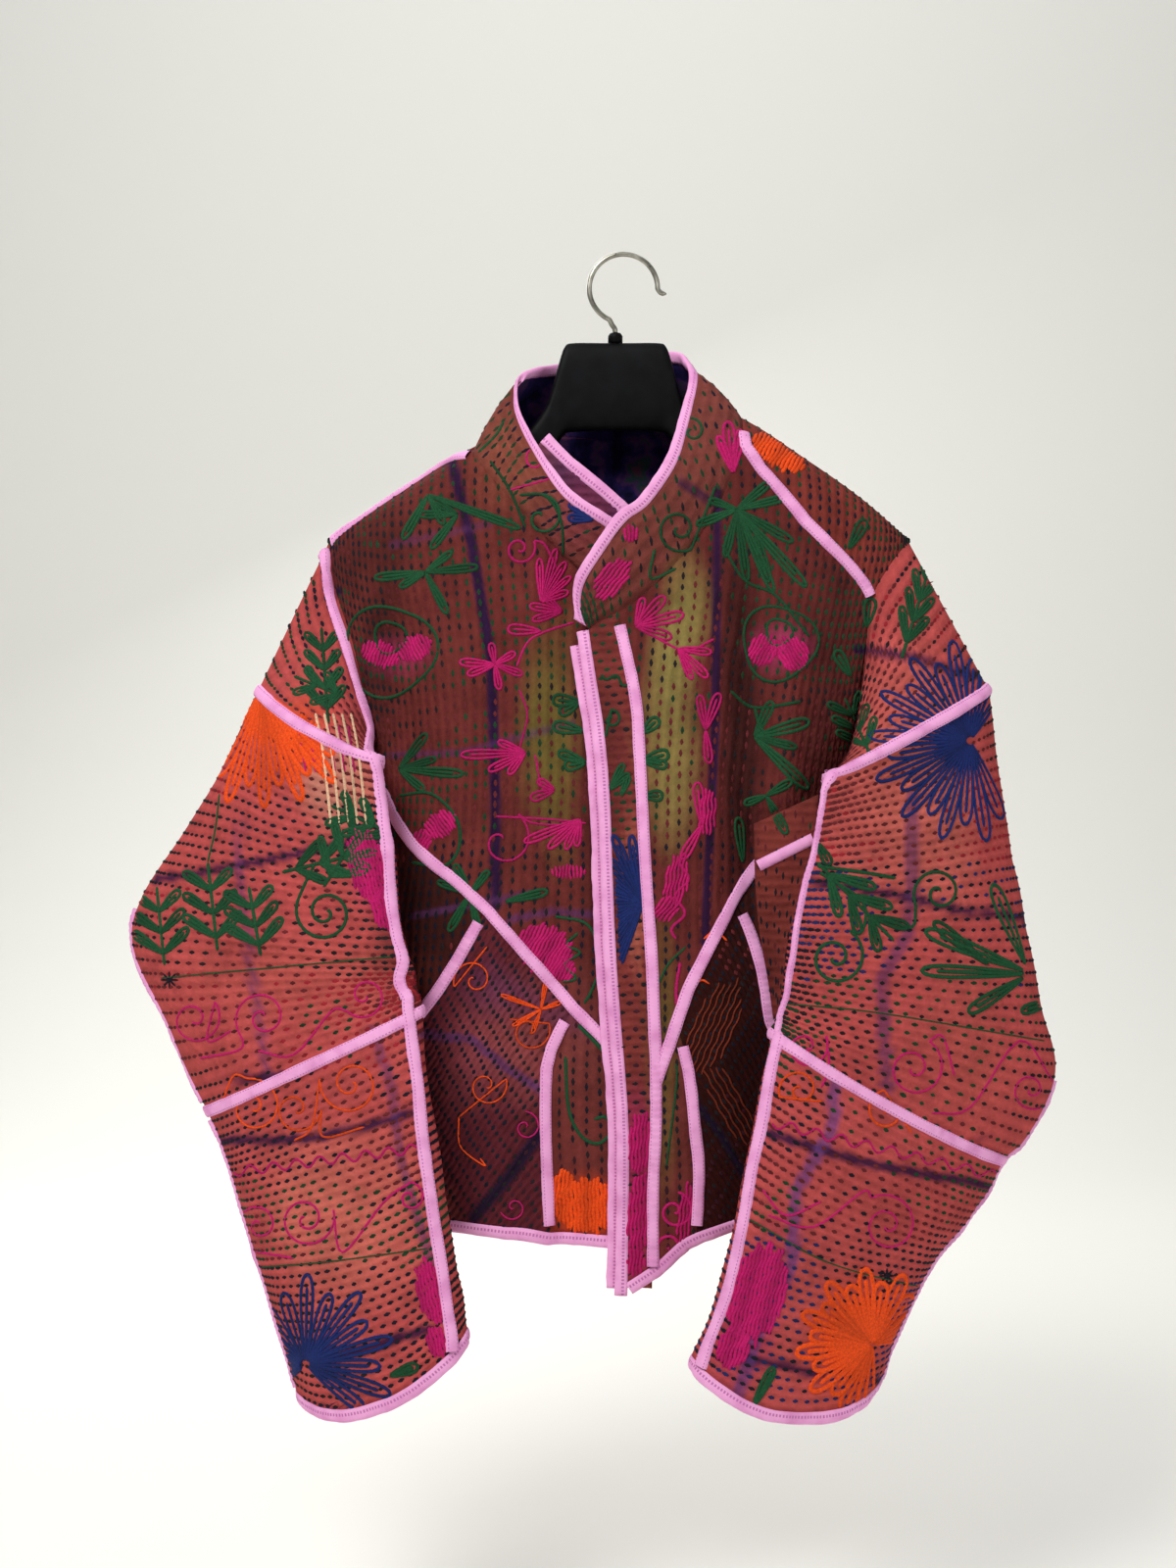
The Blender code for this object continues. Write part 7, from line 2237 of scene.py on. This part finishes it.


# Dark brown of the painted shade laid in folds, in recesses and under the sleeves.
PAINTED_SHADE = "#2A1413"
KHAKI = "#675C2A"
FADED = "#57305C"
PURPLE = "#1E1038"

# Blotches: x, y, half width, half height, lean, colour, strength. The darkest are painted shade and shadow.
# Stripes: width, colour, strength, then the places of their line.
FRONT_DYER = Dyer(
    blotches=[
        (561, 730, 28, 90, 0, KHAKI, 0.8), (570, 830, 20, 60, 0, KHAKI, 0.55),
        (694, 640, 22, 60, 10, "#8A7C44", 0.85), (684, 760, 26, 90, -2, "#8A7C44", 0.75),
        (676, 1090, 14, 120, 0, KHAKI, 0.6), (388, 660, 22, 110, 8, PAINTED_SHADE, 0.6),
        (372, 560, 22, 40, 20, PAINTED_SHADE, 0.45), (610, 880, 20, 230, 0, PAINTED_SHADE, 0.45),
        (530, 470, 40, 60, 20, "#8A4A38", 0.6), (756, 750, 18, 200, 0, PAINTED_SHADE, 0.75),
        (500, 1070, 50, 60, 30, "#9A484E", 0.6), (846, 700, 24, 120, 4, PAINTED_SHADE, 0.4),
        # The #2C0E0A blotch below is painted shadow of the left sleeve on the left pocket.
        (440, 920, 26, 60, -20, PAINTED_SHADE, 0.4), (740, 1070, 34, 130, 10, "#2C0E0A", 0.7),
        (400, 960, 20, 60, 0, PAINTED_SHADE, 0.6), (560, 1060, 60, 60, -30, "#8E4642", 0.4),
        (596, 1236, 36, 34, 0, "#C43E10", 0.9), (500, 1010, 34, 24, 20, FADED, 0.3),
        (556, 1030, 50, 14, 24, FADED, 0.3), (300, 730, 40, 26, 20, "#D24A1C", 0.55),
        (345, 800, 34, 46, 0, "#C9967C", 0.5), (282, 672, 26, 22, 0, "#B98C62", 0.5),
        (376, 886, 20, 46, -14, "#B0275E", 0.5), (892, 1370, 62, 60, 20, "#D0481A", 0.7),
        (770, 1330, 28, 64, 16, "#A8245C", 0.6), (340, 1240, 90, 70, 0, "#D88068", 0.35),
        (960, 800, 90, 120, 0, "#D9806A", 0.3), (1000, 1060, 60, 80, 0, "#A84E44", 0.4),
        (300, 1000, 120, 40, 0, "#C05C50", 0.3), (650, 1180, 14, 60, 0, "#A02456", 0.7),
        (646, 1280, 16, 26, 0, "#A02456", 0.7), (648, 910, 12, 70, 0, "#C9745C", 0.5),
        (796, 662, 30, 22, 0, "#B23A68", 0.5), (408, 668, 30, 20, 0, "#A83060", 0.4),
        (600, 520, 30, 40, 30, "#8C3A44", 0.5),
    ],
    stripes=[
        (11, PURPLE, 0.9, (461, 470), (481, 553), (501, 672), (505, 791), (506, 924)),
        (9, PURPLE, 0.85, (732, 500), (730, 738), (719, 964)),
        (9, PURPLE, 0.9, (156, 897), (260, 880), (398, 852)), (11, PURPLE, 0.9, (206, 1106), (290, 1098)),
        (10, PURPLE, 0.9, (229, 1168), (330, 1160), (422, 1136)),
        (10, PURPLE, 0.9, (332, 1388), (438, 1356)), (9, PURPLE, 0.9, (300, 618), (345, 604)),
        (10, PURPLE, 0.9, (875, 662), (940, 672), (992, 688)),
        (9, PURPLE, 0.9, (826, 899), (930, 916), (1044, 946)), (9, PURPLE, 0.9, (1000, 1162), (1050, 1160)),
        (10, PURPLE, 0.9, (782, 1156), (880, 1186), (1014, 1212)),
        (10, PURPLE, 0.9, (746, 1382), (839, 1403)),
        (9, FADED, 0.6, (239, 840), (252, 960), (272, 1092)),
        (10, FADED, 0.6, (380, 1050), (400, 1110), (408, 1180), (440, 1290)),
        (9, FADED, 0.6, (310, 600), (312, 660)),
        (13, FADED, 0.65, (932, 810), (928, 950), (898, 1003), (906, 1110)),
        (13, "#5C3A74", 0.7, (852, 1100), (850, 1150), (812, 1216), (808, 1290), (770, 1370), (750, 1430)),
        (7, FADED, 0.5, (398, 771), (470, 768), (584, 738)),
        (7, FADED, 0.4, (400, 556), (500, 534)), (7, FADED, 0.6, (420, 935), (540, 912)),
        (8, PURPLE, 0.7, (694, 492), (740, 520)),
        (13, "#17132C", 0.9, (551, 1156), (520, 1200), (484, 1242)),
        (9, FADED, 0.8, (425, 1055), (480, 1060), (520, 1092), (552, 1112)),
        (8, "#17132C", 0.8, (708, 1124), (735, 1157), (762, 1204)),
        (7, FADED, 0.7, (520, 938), (565, 930), (610, 934)),
    ],
)
BACK_DYER = Dyer(
    blotches=[
        (560, 760, 50, 150, 0, KHAKI, 0.5), (700, 980, 40, 140, 0, KHAKI, 0.45),
        (480, 1100, 60, 90, 0, "#8A4A38", 0.4), (790, 820, 50, 120, 0, "#A04A40", 0.4),
        (640, 560, 80, 60, 0, "#C87660", 0.4), (760, 706, 34, 26, 20, "#C43E10", 0.6),
        (420, 860, 22, 40, 10, "#A8245C", 0.5), (840, 720, 20, 38, -14, "#A8245C", 0.5),
    ],
    stripes=[
        (11, PURPLE, 0.9, (480, 470), (476, 800), (490, 1250)),
        (10, PURPLE, 0.9, (740, 470), (748, 800), (736, 1250)),
        (7, FADED, 0.6, (380, 740), (620, 748), (880, 736)),
        (9, PURPLE, 0.9, (390, 1010), (640, 1000), (860, 1014)), (9, PURPLE, 0.9, (160, 897), (420, 860)),
        (10, PURPLE, 0.9, (220, 1166), (430, 1140)), (9, PURPLE, 0.9, (840, 900), (1060, 940)),
        (10, PURPLE, 0.9, (780, 1156), (1014, 1212)), (10, FADED, 0.6, (250, 840), (280, 1100)),
        (12, FADED, 0.6, (940, 830), (930, 1100)), (10, PURPLE, 0.9, (330, 1380), (440, 1360)),
        (10, PURPLE, 0.9, (740, 1380), (900, 1410)), (9, FADED, 0.6, (600, 1110), (610, 1260)),
        (10, PURPLE, 0.9, (880, 665), (1000, 690)),
    ],
)

NIGHT, BLACKISH, MAROON, RED, NAVY, FOREST = "#141220", "#1E161A", "#5E1F22", "#8E1F28", "#1B2350", "#16371F"
SLEEVE_ZONES = {
    Side.RIGHT: (
        (720, BLACKISH, NIGHT, FOREST), (815, RED, MAROON, MAROON), (905, BLACKISH, NIGHT),
        (990, MAROON, BLACKISH, RED), (1090, MAROON, RED, FOREST), (1205, BLACKISH, NIGHT, MAROON),
        (1290, MAROON, FOREST, BLACKISH), (math.inf, NIGHT, BLACKISH),
    ),
    Side.LEFT: (
        (590, BLACKISH, NIGHT), (660, RED, MAROON), (780, BLACKISH, MAROON), (880, RED, MAROON),
        (1000, NAVY, NIGHT, BLACKISH), (1130, FOREST, BLACKISH, FOREST),
        (1260, FOREST, MAROON, NIGHT), (math.inf, NAVY, NIGHT),
    ),
}
BODY_ZONES = (
    (560, BLACKISH, FOREST, NIGHT), (700, FOREST, BLACKISH, MAROON),
    (860, BLACKISH, MAROON, FOREST), (1000, BLACKISH, NIGHT, MAROON),
    (math.inf, NIGHT, BLACKISH, "#3A1420"),
)


@dataclass
class Quilting:
    """All the running stitches of the jacket."""

    shop: Wardrobe
    fronts: Fronts
    back: Back
    sleeves: list[Sleeve]

    def body_stitches(self) -> None:
        """Upright rows on the fronts and back, slanting ones on the pockets."""
        for name, nodes, rows, slot in (
            (
                "right_front", ["front_right_upper", "front_right_lower", "front_right_side"], BODY_ROWS,
                "front_quilt",
            ),
            (
                "left_front", ["front_left_upper", "front_left_lower", "front_left_side"], BODY_ROWS,
                "front_quilt",
            ),
            ("placket", ["placket"], PLACKET_ROWS, "front_quilt"),
            ("right_pocket", ["pocket_right"], POCKET_ROWS["pocket_right"], "pocket_quilt"),
            ("left_pocket", ["pocket_left"], POCKET_ROWS["pocket_left"], "pocket_quilt"),
            ("back", ["back"], BODY_ROWS, "back_quilt"),
        ):
            surface, grids, dyes = self.shop.covered if "right" in name else self.shop.body, [], []
            stitches = RunningStitches(BODY_ZONES, rows.pitch * 0.6, 0.0035)
            step = np.array([0.002, 0]) @ turned(-rows.lean) / BODY_FLAT
            for node in nodes:
                outline = (self.back.outline if node == "back" else self.fronts.outlines[node]) * BODY_FLAT
                flat = rows.stitches(outline.min(0), outline.max(0))
                flat = flat[inside(outline, flat)]
                more = stitches.along(surface, *(flat / BODY_FLAT).T, step, surface.normal)
                grids += more[0]
                dyes += more[1]
            threads(f"stitches_{name}", slot, grids, dyes)

    def sleeve_stitches(self) -> None:
        """Rows round each sleeve."""
        for sleeve in self.sleeves:
            flat = SLEEVE_ROWS.stitches(np.array([0.0, 0.004]), np.array([0.3795, sleeve.along[-1] - 0.002]))
            u, v = flat[:, 0] / SLEEVE_FLAT, np.interp(flat[:, 1], sleeve.along, sleeve.rows)
            stitches = RunningStitches(SLEEVE_ZONES[sleeve.side], 0.0045, 0.0036)
            made = stitches.along(sleeve.surface, u, v, (0.01, 0.0), sleeve.surface.cloth_normal)
            threads(f"stitches_{sleeve.side.value}_sleeve", "sleeve_quilt", *made)

    def collar_stitches(self) -> None:
        """Slanting longer stitches on the collar."""
        collar = self.shop.collar
        rows, heights = np.meshgrid(np.arange(0.3, 19.8, 0.42), np.linspace(0.14, 0.78, 5))
        rows = rows + 0.2 * (np.arange(5) % 2)[:, None] + 0.05 * ripple(
            rows * 0.02, heights * 0.03, 0.01, 71,
        )
        stitches = RunningStitches(BODY_ZONES, 0.0056, 0.0031)
        made = stitches.along(collar, rows.ravel(), heights.ravel(), (0.12, 0.08), collar.normal)
        threads("stitches_collar", "front_quilt", *made)


QUILT, LINING, TAPE, THREAD, PLASTIC, WIRE = (
    finish().material() for finish in (
        QuiltFinish, LiningFinish, TapeFinish, ThreadFinish, PlasticFinish, WireFinish,
    )
)


def main() -> None:
    """Builds the jacket and its hanger."""
    logging.basicConfig(level=logging.INFO, format="%(message)s")
    Studio().build()
    shop, tapes = Wardrobe(), Tapes()
    Hanger().build()
    fronts = Fronts(shop, tapes, FRONT_DYER)
    fronts.build()
    fronts.guard()
    back = Back(shop, fronts, BACK_DYER)
    back.build()
    Collar(shop, tapes, FRONT_DYER).build()
    UnderSleeve(shop, tapes, FRONT_DYER).build()
    both = TwoSidedDyer(FRONT_DYER.blotches, FRONT_DYER.stripes, BACK_DYER)
    sleeves = [Sleeve(side, shop, tapes, both) for side in Side]
    for sleeve in sleeves:
        sleeve.build()
    cloth = shop.cloth()
    front = Embroidery("embroidery_front", Canvas(cloth, VIEWPOINT))
    for draw in (front.right_sleeve, front.right_front, front.left_front, front.left_sleeve):
        draw()
    front.build("front_quilt")
    behind = Embroidery("embroidery_back", Canvas(cloth, VIEWPOINT * (1, -1, 1)))
    behind.back()
    behind.build("back_quilt")
    quilting = Quilting(shop, fronts, back, sleeves)
    quilting.body_stitches()
    quilting.sleeve_stitches()
    quilting.collar_stitches()


if __name__ == "__main__":
    main()
